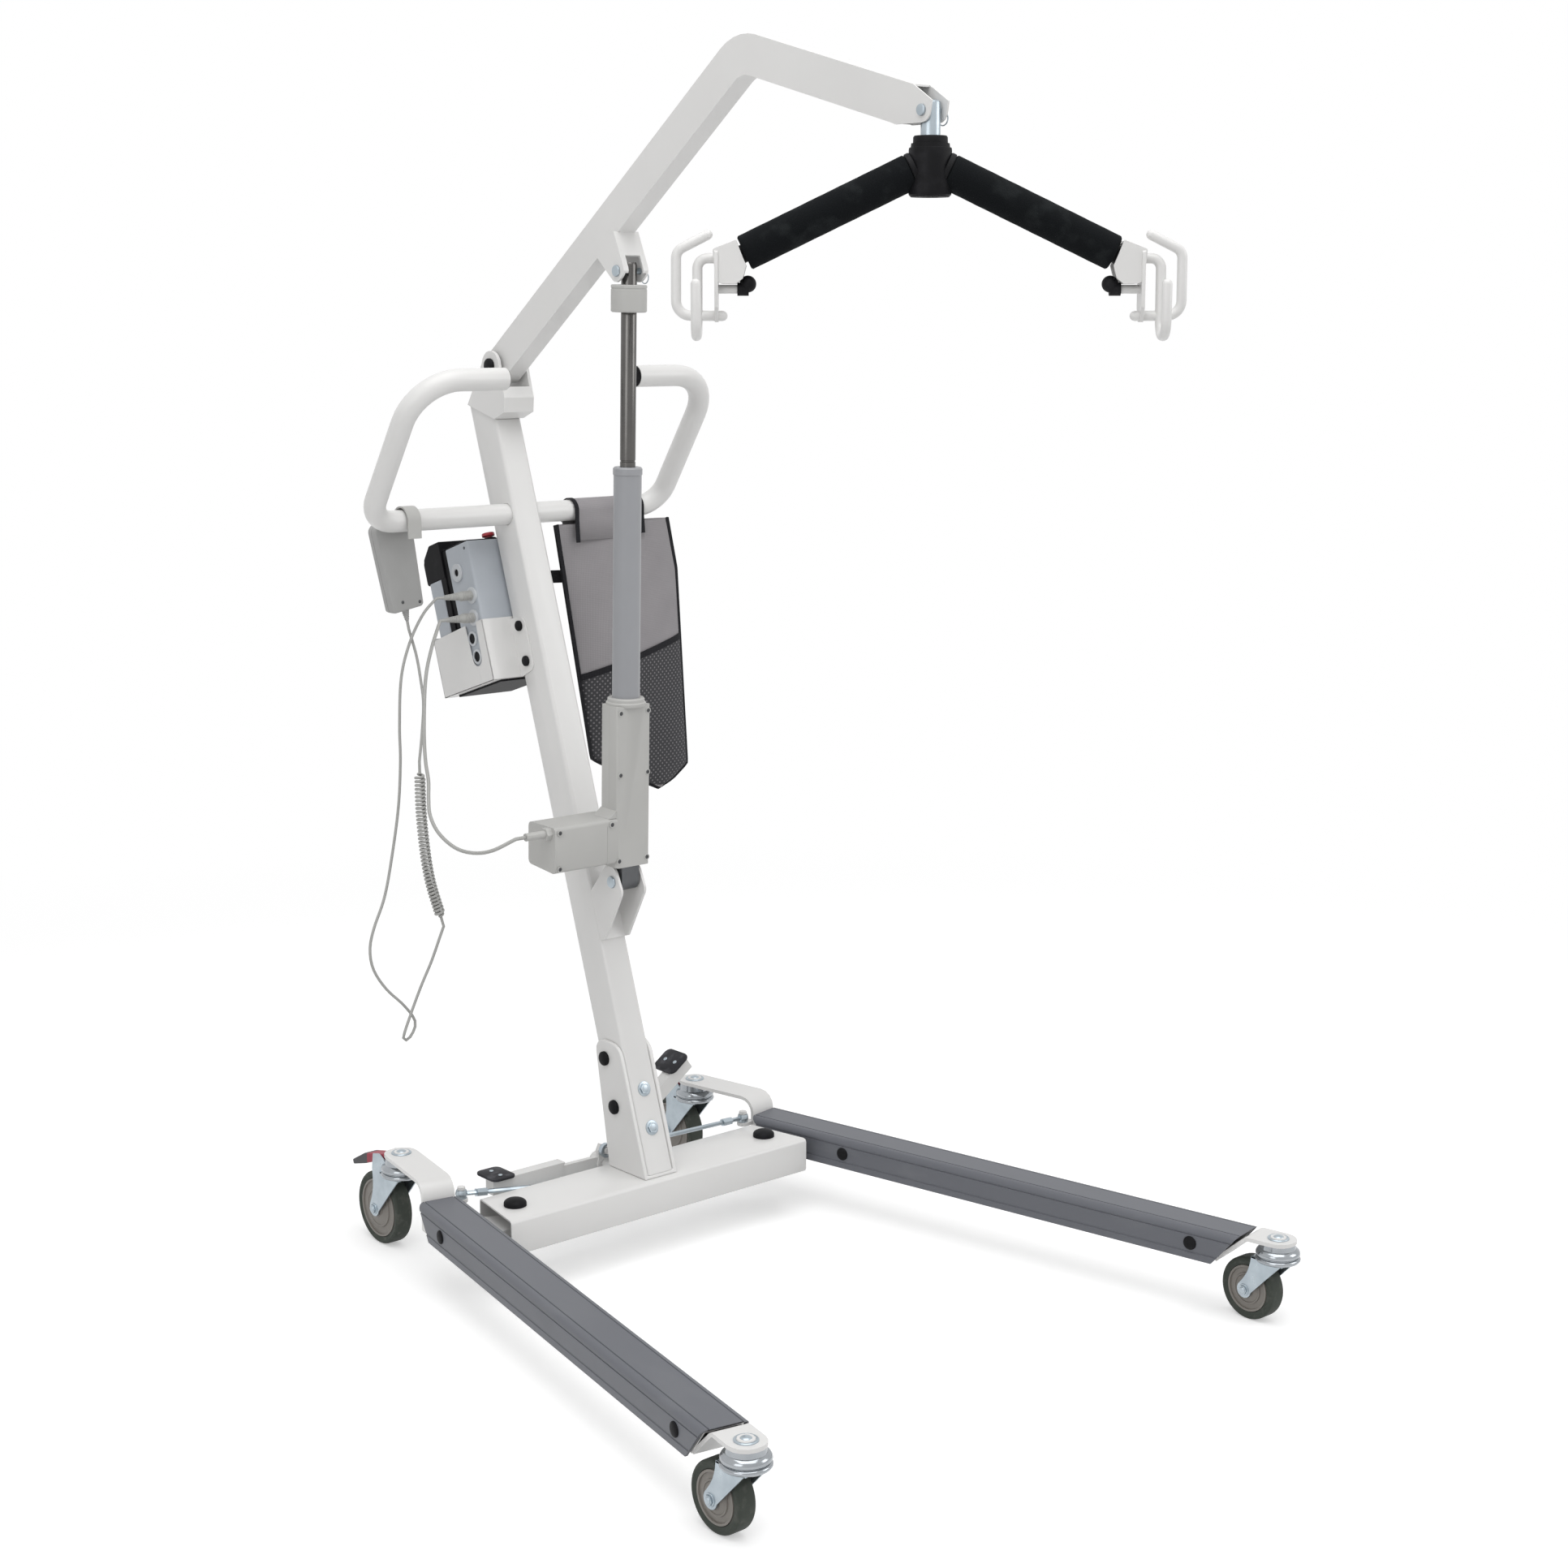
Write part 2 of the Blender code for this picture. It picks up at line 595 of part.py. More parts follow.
def cord(name, path, radius, resolution=2):
    curve = bpy.data.curves.new(name, 'CURVE')
    curve.dimensions = '3D'
    curve.bevel_depth = radius
    curve.bevel_resolution = resolution
    curve.use_fill_caps = True
    spline = curve.splines.new('POLY')
    spline.points.add(len(path) - 1)
    for point, place in zip(spline.points, path):
        point.co = (*place, 1)
        point.radius = 1
    spline.use_smooth = True
    return link(name, curve)


def smooth_route(points, spacing):
    """Points at an even spacing on a smooth curve through the route's own points."""
    points = [Vector(p) for p in points]
    padded = [2 * points[0] - points[1]] + points + [2 * points[-1] - points[-2]]
    fine = []
    for p0, p1, p2, p3 in zip(padded, padded[1:], padded[2:], padded[3:]):
        for step in range(24):
            t = step / 24
            bend = (2 * p0 - 5 * p1 + 4 * p2 - p3) * t * t + (3 * p1 - p0 - 3 * p2 + p3) * t ** 3
            fine.append((2 * p1 + (p2 - p0) * t + bend) / 2)
    fine.append(points[-1])
    lengths = [0.0]
    for a, b in zip(fine, fine[1:]):
        lengths.append(lengths[-1] + (b - a).length)
    count = max(2, round(lengths[-1] / spacing))
    result, place = [], 0
    for step in range(count + 1):
        target = lengths[-1] * step / count
        while place < len(fine) - 2 and lengths[place + 1] < target:
            place += 1
        share = (target - lengths[place]) / (lengths[place + 1] - lengths[place])
        result.append(fine[place].lerp(fine[place + 1], share))
    return result


def combine(item, others, operation):
    """Add, or cut away, helper solids with Booleans."""
    for other in others:
        other.hide_render = True
        other.display_type = 'WIRE'
        modifier = item.modifiers.new(operation.title(), 'BOOLEAN')
        modifier.operation = operation
        modifier.object = other
    return item


def weld(item, *others):
    return combine(item, others, 'UNION')


def cut(item, *others):
    return combine(item, others, 'DIFFERENCE')


def paint(item, look):
    """Give an object its own material."""
    colour, roughness, metallic = look
    material = bpy.data.materials.new(item.name)
    material.use_nodes = True
    shader = material.node_tree.nodes['Principled BSDF']
    shader.inputs['Base Color'].default_value = (*colour, 1)
    shader.inputs['Roughness'].default_value = roughness
    shader.inputs['Metallic'].default_value = metallic
    item.data.materials.clear()
    item.data.materials.append(material)
    return item


WHITE = ((0.72, 0.715, 0.70), 0.35, 0.0)
COVER_GREY = ((0.145, 0.150, 0.165), 0.55, 0.0)
ZINC = ((0.62, 0.65, 0.68), 0.32, 1.0)
CHROME = ((0.55, 0.55, 0.55), 0.12, 1.0)
RUBBER = ((0.035, 0.042, 0.036), 0.7, 0.0)
HUB_TAUPE = ((0.30, 0.275, 0.25), 0.5, 0.0)
BLACK = ((0.015, 0.015, 0.018), 0.45, 0.0)
FOAM = ((0.012, 0.014, 0.014), 0.9, 0.0)
BEIGE = ((0.48, 0.475, 0.45), 0.5, 0.0)
TUBE_GREY = ((0.38, 0.385, 0.40), 0.4, 0.0)
BOX_GREY = ((0.22, 0.25, 0.28), 0.5, 0.0)
RED = ((0.42, 0.02, 0.04), 0.4, 0.0)
CORD_GREY = ((0.20, 0.205, 0.21), 0.5, 0.0)
CORD_LIGHT = ((0.45, 0.45, 0.44), 0.5, 0.0)
CLOTH = ((0.045, 0.043, 0.048), 0.9, 0.0)


def joint(name, origin, parent=None):
    """Empty on a joint's axis, which carries what moves."""
    item = link(name, None)
    item.empty_display_size = 0.02
    item['world'] = tuple(origin)
    base = Vector(parent['world']) if parent else Vector((0, 0, 0))
    item.parent = parent
    item.location = Vector(origin) - base
    return item


def carry(parent, *items):
    """Hang objects modelled in world space on a joint, their origins on it."""
    origin = Vector(parent['world'])
    for item in items:
        shift = Matrix.Translation(-origin)
        item.data.transform(shift)
        for modifier in item.modifiers:
            if modifier.type == 'BOOLEAN' and not modifier.object.get('carried'):
                modifier.object['carried'] = True
                modifier.object.data.transform(shift)
                modifier.object.parent = parent
        item.parent = parent


PROFILE = frame((0, 0, 0), Y_AXIS, UP, X_AXIS)       # outline in (y, z), depth along x
FACING = frame((0, 0, 0), X_AXIS, UP, Y_AXIS)        # outline in (x, z), depth along y

# Directions of the leaning mast, with distances along it from the floor line
MAST_UP = Vector((0, math.sin(MAST_LEAN), math.cos(MAST_LEAN)))
MAST_BACK = Vector((0, math.cos(MAST_LEAN), -math.sin(MAST_LEAN)))
MAST = frame((0, MAST_FRONT_Y, 0), X_AXIS, MAST_BACK, MAST_UP)
MAST_SIDE = frame((0, MAST_FRONT_Y, 0), MAST_BACK, MAST_UP, X_AXIS)

ESTOP_PLACE = MAST @ Vector((-ESTOP_RIGHT, ESTOP_BACK, BOX_TOP))

# Directions of the boom's first leg
HEAD = MAST @ Vector((0, -HEAD_AHEAD, MAST_TOP_FRONT + HEAD_RISE))
BOOM_OUT = Vector((0, -math.cos(BOOM_RISE), math.sin(BOOM_RISE)))
BOOM_TOP = Vector((0, math.sin(BOOM_RISE), math.cos(BOOM_RISE)))
BOOM_SIDE = frame(HEAD, BOOM_OUT, BOOM_TOP, X_AXIS)
BOOM_BEND = HEAD + BOOM_OUT * BOOM_FIRST
TIP = BOOM_BEND + Vector((0, -math.cos(BOOM_DROP), -math.sin(BOOM_DROP))) * BOOM_SECOND

# Directions of the actuator
LOWER_PIN = Vector((0, LOWER_PIN_Y, LOWER_PIN_Z))
ROD_PIN = HEAD + BOOM_OUT * PIN_ALONG - BOOM_TOP * PIN_BELOW
ACTUATOR_LENGTH = (ROD_PIN - LOWER_PIN).length
ACTUATOR_UP = (ROD_PIN - LOWER_PIN).normalized()
ACTUATOR_BACK = ACTUATOR_UP.cross(X_AXIS)
ACTUATOR = frame(LOWER_PIN, X_AXIS, ACTUATOR_BACK, ACTUATOR_UP)
ACTUATOR_SIDE = frame(LOWER_PIN, ACTUATOR_BACK, ACTUATOR_UP, X_AXIS)

# Directions of the spreader
ARM_ALONG = Vector((math.cos(SPREADER_YAW), math.sin(SPREADER_YAW), 0))
TO_FRONT = ARM_ALONG.cross(UP)

CROSS_TOP = CROSS_BOTTOM + CROSS_HEIGHT
MAST_TOP_REAR = MAST_TOP_FRONT + MAST_TOP_RISE

# Places along a leg, behind its front bolt
WHEELBASE = FRONT_REACH + REAR_REACH
LEG_TUBE_TOP = LEG_TUBE_BOTTOM + LEG_TUBE_HEIGHT
LEG_TUBE_REAR = FRONT_REACH + LEG_TUBE_TAIL
REAR_ARM_DROP = FRONT_REACH + REAR_ARM_TAIL
COVER_REAR = FRONT_REACH + COVER_TAIL
LUG_BACK = FRONT_REACH + LUG_TAIL


def leg_frame(side):
    """Leg directions: back from the front bolt, outboard of the centreline, up."""
    back = Vector((-side * math.sin(LEG_SPREAD), math.cos(LEG_SPREAD), 0))
    out = Vector((side * math.cos(LEG_SPREAD), math.sin(LEG_SPREAD), 0))
    pivot = Vector((side * PIVOT_X, 0, 0))
    return frame(pivot - back * FRONT_REACH + out * LEG_OFFSET, back, out, UP)


def lug_pin(side, closed=0.0):
    """Tie rod pin on a leg, at a closing angle."""
    pivot = Vector((side * PIVOT_X, 0, 0))
    offset = leg_frame(side) @ Vector((LUG_BACK, -LUG_IN, 0)) - pivot
    return pivot + Matrix.Rotation(-side * closed, 3, 'Z') @ offset


# How far a tie rod moves out as the legs close, and the crank that gives it
TIE_TRAVEL = lug_pin(1, LEG_CLOSE).x - lug_pin(1).x
CRANK_RADIUS = TIE_TRAVEL / (2 * math.sin(ROCKER_TURN / 2))


def crank_pin(side):
    """Crank pin of one tie rod at rest: above the shaft for the left leg, below it for the right."""
    x = -side * CRANK_RADIUS * math.sin(ROCKER_TURN / 2)
    z = ROCKER_Z + side * CRANK_RADIUS * math.cos(ROCKER_TURN / 2)
    return Vector((x, CRANK_Y, z))


def crossbar():
    half_height = CROSS_HEIGHT / 2
    middle_y, middle_z = (CROSS_FRONT + CROSS_REAR) / 2, CROSS_BOTTOM + half_height
    half_depth = (CROSS_REAR - CROSS_FRONT) / 2
    outer = rectangle(half_depth, -half_height, half_height, CROSS_CORNER, 2)
    inner = rectangle(half_depth - CROSS_WALL, CROSS_WALL - half_height, half_height - CROSS_WALL,
                      CROSS_CORNER - CROSS_WALL, 2)
    slant = math.tan(LEG_SPREAD)
    reach = PIVOT_X + CROSS_END / math.cos(LEG_SPREAD)

    def ring(outline, side):
        points = []
        for u, v in outline:
            y = middle_y + u
            points.append(Vector((side * (reach - y * slant), y, middle_z + v)))
        return points

    item = skin('base_crossbar', [ring(outer, -1), ring(outer, 1), ring(inner, 1), ring(inner, -1)], True)
    shaft_end = ROCKER_FRONT + ROCKER_DEPTH
    shaft = frame((0, CROSS_REAR - CROSS_WALL / 2, ROCKER_Z), X_AXIS, UP, Y_AXIS)
    length = shaft_end - CROSS_REAR + CROSS_WALL / 2
    collar = ROCKER_SHAFT_RADIUS + SHAFT_COLLAR_STEP
    inner_end = CROSS_WALL / 2 + SHAFT_COLLAR_LENGTH
    nut = length + FIT + SHAFT_COLLAR_LENGTH
    weld(item, turned('rocker_shaft', [
        (collar, 0), (collar, inner_end), (ROCKER_SHAFT_RADIUS, inner_end),
        (ROCKER_SHAFT_RADIUS, length + FIT), (collar, length + FIT), (collar, nut)], shaft, 12))
    holes = []
    for side in (-1, 1):
        low, high = (side * PIVOT_X, 0, CROSS_BOTTOM - PAST), (side * PIVOT_X, 0, CROSS_TOP + PAST)
        holes.append(bore('pivot_hole', PIVOT_BOLT_RADIUS, low, high))
    return paint(cut(item, *holes), WHITE)


def pivot_bolt(side, name):
    place = frame((side * PIVOT_X, 0, 0), X_AXIS, Y_AXIS, UP)
    nut_top = CROSS_BOTTOM - GAP
    seat = CROSS_TOP + GAP
    profile = [
        (PIVOT_NUT_RADIUS, nut_top - PIVOT_NUT_HEIGHT), (PIVOT_NUT_RADIUS, nut_top),
        (PIVOT_BOLT_RADIUS, nut_top), (PIVOT_BOLT_RADIUS, seat), (PIVOT_CAP_RADIUS, seat),
        (PIVOT_CAP_RADIUS, seat + PIVOT_CAP_HEIGHT - PIVOT_CAP_EDGE),
        (PIVOT_CAP_RADIUS - PIVOT_CAP_EDGE, seat + PIVOT_CAP_HEIGHT)]
    return paint(turned(name, profile, place, 12), BLACK)


def leg(side, name):
    place = leg_frame(side)
    half = LEG_TUBE_WIDTH / 2
    tube_half = LEG_TUBE_HEIGHT / 2
    middle = LEG_TUBE_BOTTOM + tube_half
    outer = rectangle(half, -tube_half, tube_half, LEG_TUBE_CORNER, 2)
    inner = rectangle(half - LEG_TUBE_WALL, LEG_TUBE_WALL - tube_half, tube_half - LEG_TUBE_WALL,
                      LEG_TUBE_CORNER - LEG_TUBE_WALL, 2)
    nose_slope = COVER_RAKE / COVER_DROP
    nose_top = COVER_FRONT + LEG_TUBE_SETBACK

    def ring(outline, rear):
        points = []
        for v, w in outline:
            front = nose_top + (LEG_TUBE_TOP - middle - w) * nose_slope
            points.append(place @ Vector((LEG_TUBE_REAR if rear else front, v, middle + w)))
        return points

    item = skin(name, [ring(outer, False), ring(outer, True), ring(inner, True), ring(inner, False)], True)
    arm_half = ARM_WIDTH / 2
    front_z = FRONT_ARM_TOP - ARM_THICKNESS / 2
    bend_u = nose_top - FRONT_ARM_BEND
    front_path = rounded([
        (-arm_half, front_z, 0), (bend_u, front_z, FRONT_ARM_CURVE),
        (nose_top + (LEG_TUBE_HEIGHT - FRONT_ARM_FOOT) * nose_slope, LEG_TUBE_BOTTOM + FRONT_ARM_FOOT, 0)],
        3, closed=False)
    front_arm = strap('front_arm', front_path, ARM_THICKNESS, arm_half, place, arm_half * ARM_NOSE)
    rear_z = REAR_ARM_TOP - ARM_THICKNESS / 2
    rear_path = rounded([
        (WHEELBASE + arm_half, rear_z, 0), (REAR_ARM_DROP, rear_z, REAR_ARM_CURVE),
        (REAR_ARM_DROP, LEG_TUBE_BOTTOM + REAR_ARM_FOOT, 0)], 4, closed=False)
    rear_arm = strap('rear_arm', rear_path, ARM_THICKNESS, arm_half, place, arm_half * ARM_NOSE)
    inner_face = -half + LEG_TUBE_WALL * 0.4
    lever_outline = [(FRONT_REACH - LEVER_AHEAD, inner_face)]
    lever_outline += arc((FRONT_REACH, -LEG_OFFSET), LEVER_END, math.pi * 1.02, math.pi * 1.98, 8)
    lever_outline += [(FRONT_REACH + LEVER_BEHIND, inner_face)]
    lever = prism('lever', lever_outline, LEVER_BOTTOM, LEVER_BOTTOM + LEVER_THICKNESS, place)
    lug_root = LUG_ROOT - arm_half
    lug_outline = [(LUG_BACK - LUG_RADIUS, lug_root)]
    lug_outline += arc((LUG_BACK, -LUG_IN), LUG_RADIUS, math.pi, 2 * math.pi, 5)
    lug_outline += [(LUG_BACK + LUG_RADIUS, lug_root)]
    lug = prism('tie_lug', lug_outline, LUG_BOTTOM, LUG_BOTTOM + LUG_THICKNESS, place)
    lug_top = LUG_BOTTOM + LUG_THICKNESS
    eye_top = lug_top + 2 * (GAP + TIE_JOINT_HALF)
    pin_place = place @ Matrix.Translation((LUG_BACK, -LUG_IN, 0))
    pin = turned('tie_pin', [
        (LUG_PIN_RADIUS, lug_top - SINK), (LUG_PIN_RADIUS, eye_top),
        (LUG_PIN_RADIUS + LUG_NUT_STEP, eye_top),
        (LUG_PIN_RADIUS + LUG_NUT_STEP, eye_top + LUG_NUT_HEIGHT)], pin_place, 8)
    nuts = []
    for back, top in ((0, FRONT_ARM_TOP), (WHEELBASE, REAR_ARM_TOP)):
        nut_place = place @ Matrix.Translation((back, 0, 0))
        nuts.append(turned('swivel_nut', [
            (SWIVEL_NUT_RADIUS, top - SINK),
            (SWIVEL_NUT_RADIUS - SWIVEL_NUT_TAPER, top + SWIVEL_NUT_HEIGHT)], nut_place, 10))
    weld(item, front_arm, rear_arm, lever, lug, pin, *nuts)
    pivot = Vector((side * PIVOT_X, 0, 0))
    low, high = pivot + UP * (LEVER_BOTTOM - PAST), pivot + UP * (LEVER_BOTTOM + LEVER_THICKNESS + PAST)
    cut(item, bore('lever_bore', PIVOT_BOLT_RADIUS, low, high))
    return paint(item, WHITE)


def leg_cover(side, name):
    place = leg_frame(side)
    half = COVER_WIDTH / 2
    bottom = COVER_TOP - COVER_DROP
    inner_half, inner_top = half - COVER_WALL, COVER_TOP - COVER_WALL
    outline = rounded([(-half, bottom, 0), (-half, COVER_TOP, COVER_CORNER), (half, COVER_TOP, COVER_CORNER),
                       (half, bottom, 0)], 4)
    inner = rounded([(inner_half, bottom, 0), (inner_half, inner_top, COVER_CORNER - COVER_WALL),
                     (-inner_half, inner_top, COVER_CORNER - COVER_WALL), (-inner_half, bottom, 0)], 4)
    rings = []
    for end, rake in ((COVER_FRONT, COVER_RAKE), (COVER_REAR, -COVER_RAKE)):
        ring = []
        for v, w in outline + inner:
            ring.append(place @ Vector((end + (COVER_TOP - w) / COVER_DROP * rake, v, w)))
        rings.append(ring)
    item = skin(name, rings)
    notch = box('lever_notch',
                (FRONT_REACH - LEVER_AHEAD - NOTCH_PLAY, FRONT_REACH + LEVER_BEHIND + NOTCH_PLAY),
                (-half - PAST, SINK - inner_half),
                (LEVER_BOTTOM - NOTCH_RISE, LEVER_BOTTOM + LEVER_THICKNESS + NOTCH_RISE), place)
    return paint(cut(item, notch), COVER_GREY)


def caster(side, back, radius, trail, top, braked, name, leg_joint):
    """Swivel fork, hub and tyre below one arm of a leg, trailing to the rear."""
    bolt = leg_frame(side) @ Vector((back, 0, 0))
    swivel = joint(name + '_swivel', (bolt.x, bolt.y, top), leg_joint)
    crown = 2 * radius + CROWN_CLEAR
    half = TYRE_WIDTH / 2 + FORK_GAP
    outer = half + FORK_WALL
    race_top = top - GAP
    upright = frame((bolt.x, bolt.y, 0), X_AXIS, Y_AXIS, UP)
    narrow, broad = RACE_RADIUS - RACE_STEP, RACE_RADIUS + RACE_STEP
    fork = turned(name + '_fork', [
        (narrow, crown + SINK / 2), (broad, crown + RACE_LOW), (broad, crown + RACE_HIGH),
        (narrow, crown + RACE_HIGH + RACE_STEP), (narrow, race_top)], upright, 14)
    axle_y, axle_z = bolt.y + trail, radius
    ear, rear = [], bolt.y + CHEEK_REAR
    if braked:
        ear = [(bolt.y + back, crown + rise) for back, rise in (EAR_FRONT, EAR_REAR)]
        rear += EAR_DEPTH
    cheek_outline = [(bolt.y - CHEEK_FRONT, crown + CHEEK_LAP)] + ear + [(rear, crown + CHEEK_LAP)]
    cheek_outline += arc((axle_y, axle_z), CHEEK_END, 0.35, -math.pi * 0.95, 5)
    plate = prism('fork_cheeks', cheek_outline, bolt.x - outer, bolt.x + outer, PROFILE)
    between = (bolt.x - half, bolt.x + half)
    gap_low = box('fork_gap', (bolt.y - THROUGH, bolt.y + THROUGH), (0, crown), between, PROFILE)
    gap_high = box('fork_gap_top', (bolt.y + broad, bolt.y + THROUGH), (crown - PAST, crown + THROUGH),
                   between, PROFILE)
    reach = outer + AXLE_OUT
    axle = cylinder('axle', HUB_BORE - RUN, (bolt.x - reach, axle_y, axle_z),
                    (bolt.x + reach, axle_y, axle_z), 8)
    cut(plate, gap_low, gap_high)
    weld(fork, plate, axle)
    roll = joint(name + '_axle', (bolt.x, axle_y, axle_z), swivel)
    wheel = frame((bolt.x, axle_y, axle_z), Y_AXIS, UP, X_AXIS)
    wide = TYRE_WIDTH / 2
    rim = radius - TYRE_DEPTH
    tyre = turned(name + '_tyre', [
        (rim, HUB_BOSS - wide), (radius - TREAD_EDGE, -wide), (radius, -wide * 0.5), (radius, wide * 0.5),
        (radius - TREAD_EDGE, wide), (rim, wide - HUB_BOSS)], wheel, WHEEL_STEPS, hollow=True)
    edge = rim - GAP
    hub = turned(name + '_hub', [
        (HUB_BORE, -wide - HUB_BOSS), (edge, HUB_DISH - wide), (edge, wide - HUB_DISH),
        (HUB_BORE, wide + HUB_BOSS)],
        wheel, WHEEL_STEPS, hollow=True)
    paint(fork, ZINC)
    paint(tyre, RUBBER)
    paint(hub, HUB_TAUPE)
    carry(swivel, fork)
    carry(roll, tyre, hub)
    if braked:
        pin_y, pin_z = bolt.y + BRAKE_BACK, crown + BRAKE_RISE
        brake = joint(name + '_brake', (bolt.x, pin_y, pin_z), swivel)
        knee_z, tip_z = pin_z + PEDAL_TOP - PEDAL_THICKNESS, pin_z - PEDAL_DROP
        outline = [(pin_y - PEDAL_TOE, pin_z + PEDAL_TOP / 2), (pin_y - PEDAL_TOE * 0.4, pin_z + PEDAL_TOP),
                   (pin_y + PEDAL_KNEE, knee_z), (pin_y + PEDAL_REACH, tip_z),
                   (pin_y + PEDAL_REACH * 0.967, tip_z - PEDAL_THICKNESS * 0.64),
                   (pin_y + PEDAL_KNEE * 0.96, knee_z - PEDAL_THICKNESS * 1.44),
                   (pin_y + PEDAL_THICKNESS, pin_z - PEDAL_THICKNESS * 0.8),
                   (pin_y - PEDAL_TOE * 0.8, pin_z - PEDAL_THICKNESS * 0.72)]
        pedal = prism(name + '_pedal', outline, bolt.x - PEDAL_HALF_WIDTH, bolt.x + PEDAL_HALF_WIDTH,
                      PROFILE)
        paint(pedal, RED)
        carry(brake, pedal)


def rocker():
    shaft = Vector((0, 0, ROCKER_Z))
    rear = ROCKER_FRONT + ROCKER_DEPTH
    boss = turned('pedal_rocker', [
        (ROCKER_SHAFT_RADIUS + RUN, ROCKER_FRONT), (ROCKER_BOSS_RADIUS, ROCKER_FRONT),
        (ROCKER_BOSS_RADIUS, rear),
        (ROCKER_SHAFT_RADIUS + RUN, rear)], frame(shaft, X_AXIS, UP, Y_AXIS), 16, hollow=True)
    half = ROCKER_BAR_HEIGHT / 2
    parts = []
    for side, turn in ((-1, 0), (1, ROCKER_TURN)):
        along = Vector((side * math.cos(turn), 0, math.sin(turn)))
        above = Vector((-side * math.sin(turn), 0, math.cos(turn)))
        place = frame(shaft, along, above, Y_AXIS)
        low, high = ROCKER_BAR_RISE - half, ROCKER_BAR_RISE + half
        bar = [(ROCKER_BAR_IN + ROCKER_BAR_SLANT, low), (ROCKER_BAR_OUT, low), (ROCKER_BAR_OUT, high),
               (ROCKER_BAR_IN, high)]
        parts.append(prism('rocker_bar', bar, ROCKER_FRONT + SINK / 2, rear - SINK / 2, place))
        web_end = ROCKER_BAR_IN + ROCKER_WEB_LAP
        web = [(ROCKER_WEB_ROOT, -ROCKER_WEB_HALF), (web_end, low + SINK), (web_end, high - 3 * SINK),
               (ROCKER_WEB_ROOT, ROCKER_WEB_HALF)]
        web_front = ROCKER_FRONT + 1.5 * SINK
        parts.append(prism('rocker_web', web, web_front, web_front + ROCKER_WEB_THICKNESS, place))
    for side in (-1, 1):
        pin = crank_pin(side)
        outward = (pin - shaft)
        outward.y = 0
        outward.normalize()
        place = frame(shaft, outward, outward.cross(Y_AXIS), Y_AXIS)
        width = CRANK_PIN_RADIUS + CRANK_RIM
        plate = [(CRANK_ROOT, -width - CRANK_ROOT_STEP), (CRANK_RADIUS, -width), (CRANK_RADIUS + width, 0),
                 (CRANK_RADIUS, width), (CRANK_ROOT, width + CRANK_ROOT_STEP)]
        front = ROCKER_FRONT - SINK / 2
        parts.append(prism('crank_plate', plate, front, front + CRANK_PLATE, place))
        start = pin.copy()
        start.y = CRANK_Y - CRANK_THICKNESS / 2 - SINK
        end = pin.copy()
        end.y = front + CRANK_PLATE / 2
        parts.append(cylinder('crank_pin', CRANK_PIN_RADIUS, start, end, 10))
    item = weld(boss, *parts)
    bore_start, bore_end = shaft + Y_AXIS * (ROCKER_FRONT - PAST), shaft + Y_AXIS * (rear + PAST)
    return paint(cut(item, bore('rocker_bore', ROCKER_SHAFT_RADIUS, bore_start, bore_end)), WHITE)


def pedal_pad(side, name):
    turn = ROCKER_TURN if side > 0 else 0
    along = Vector((side * math.cos(turn), 0, math.sin(turn)))
    above = Vector((-side * math.sin(turn), 0, math.cos(turn)))
    middle_y = ROCKER_FRONT + ROCKER_DEPTH / 2 + PAD_BACK
    rise = ROCKER_BAR_RISE + ROCKER_BAR_HEIGHT / 2 + GAP
    out = ROCKER_BAR_OUT + PAD_OVERHANG - PAD_LENGTH / 2
    origin = Vector((0, middle_y, ROCKER_Z)) + along * out + above * rise
    place = frame(origin, along, Y_AXIS, above)
    outline = rectangle(PAD_LENGTH / 2, -PAD_WIDTH / 2, PAD_WIDTH / 2, PAD_CORNER, 4)
    return paint(prism(name, outline, 0, PAD_THICKNESS, place), BLACK)


def tie_rod(side, name):
    """Rod from the crank pin of the rocker to the tie pin on a leg."""
    outer = lug_pin(side)
    outer.z = LUG_BOTTOM + LUG_THICKNESS + GAP + TIE_JOINT_HALF
    inner = crank_pin(side)
    along = (outer - inner).normalized()
    eye_inner = CRANK_PIN_RADIUS + TIE_EYE_PLAY
    half = CRANK_THICKNESS / 2
    eye_place = frame(inner, X_AXIS, UP, Y_AXIS)
    item = turned(name, [
        (eye_inner, -half), (eye_inner + TIE_EYE_WALL, -half), (eye_inner + TIE_EYE_WALL, half),
        (eye_inner, half)], eye_place, 12, hollow=True)
    joint_inner = (LUG_PIN_RADIUS + RUN) / math.cos(math.pi / 10)
    thick = TIE_JOINT_HALF
    edge, middle = joint_inner + TIE_JOINT_EDGE, joint_inner + TIE_JOINT_WALL
    ball = turned('tie_joint', [
        (joint_inner, -thick), (edge, -thick), (middle, 0), (edge, thick), (joint_inner, thick)],
        frame(outer, X_AXIS, Y_AXIS, UP), 10, hollow=True)
    start = inner + along * (eye_inner + TIE_EYE_WALL / 2)
    end = outer - along * (joint_inner + TIE_JOINT_EDGE / 2)
    bar = cylinder('tie_bar', TIE_ROD_RADIUS, start, end, 7)
    nut_end = end - along * TIE_NUT_BACK
    nut = cylinder('tie_nut', TIE_ROD_RADIUS + TIE_NUT_STEP, nut_end - along * TIE_NUT_LENGTH, nut_end, 6)
    return paint(weld(item, ball, bar, nut), ZINC)


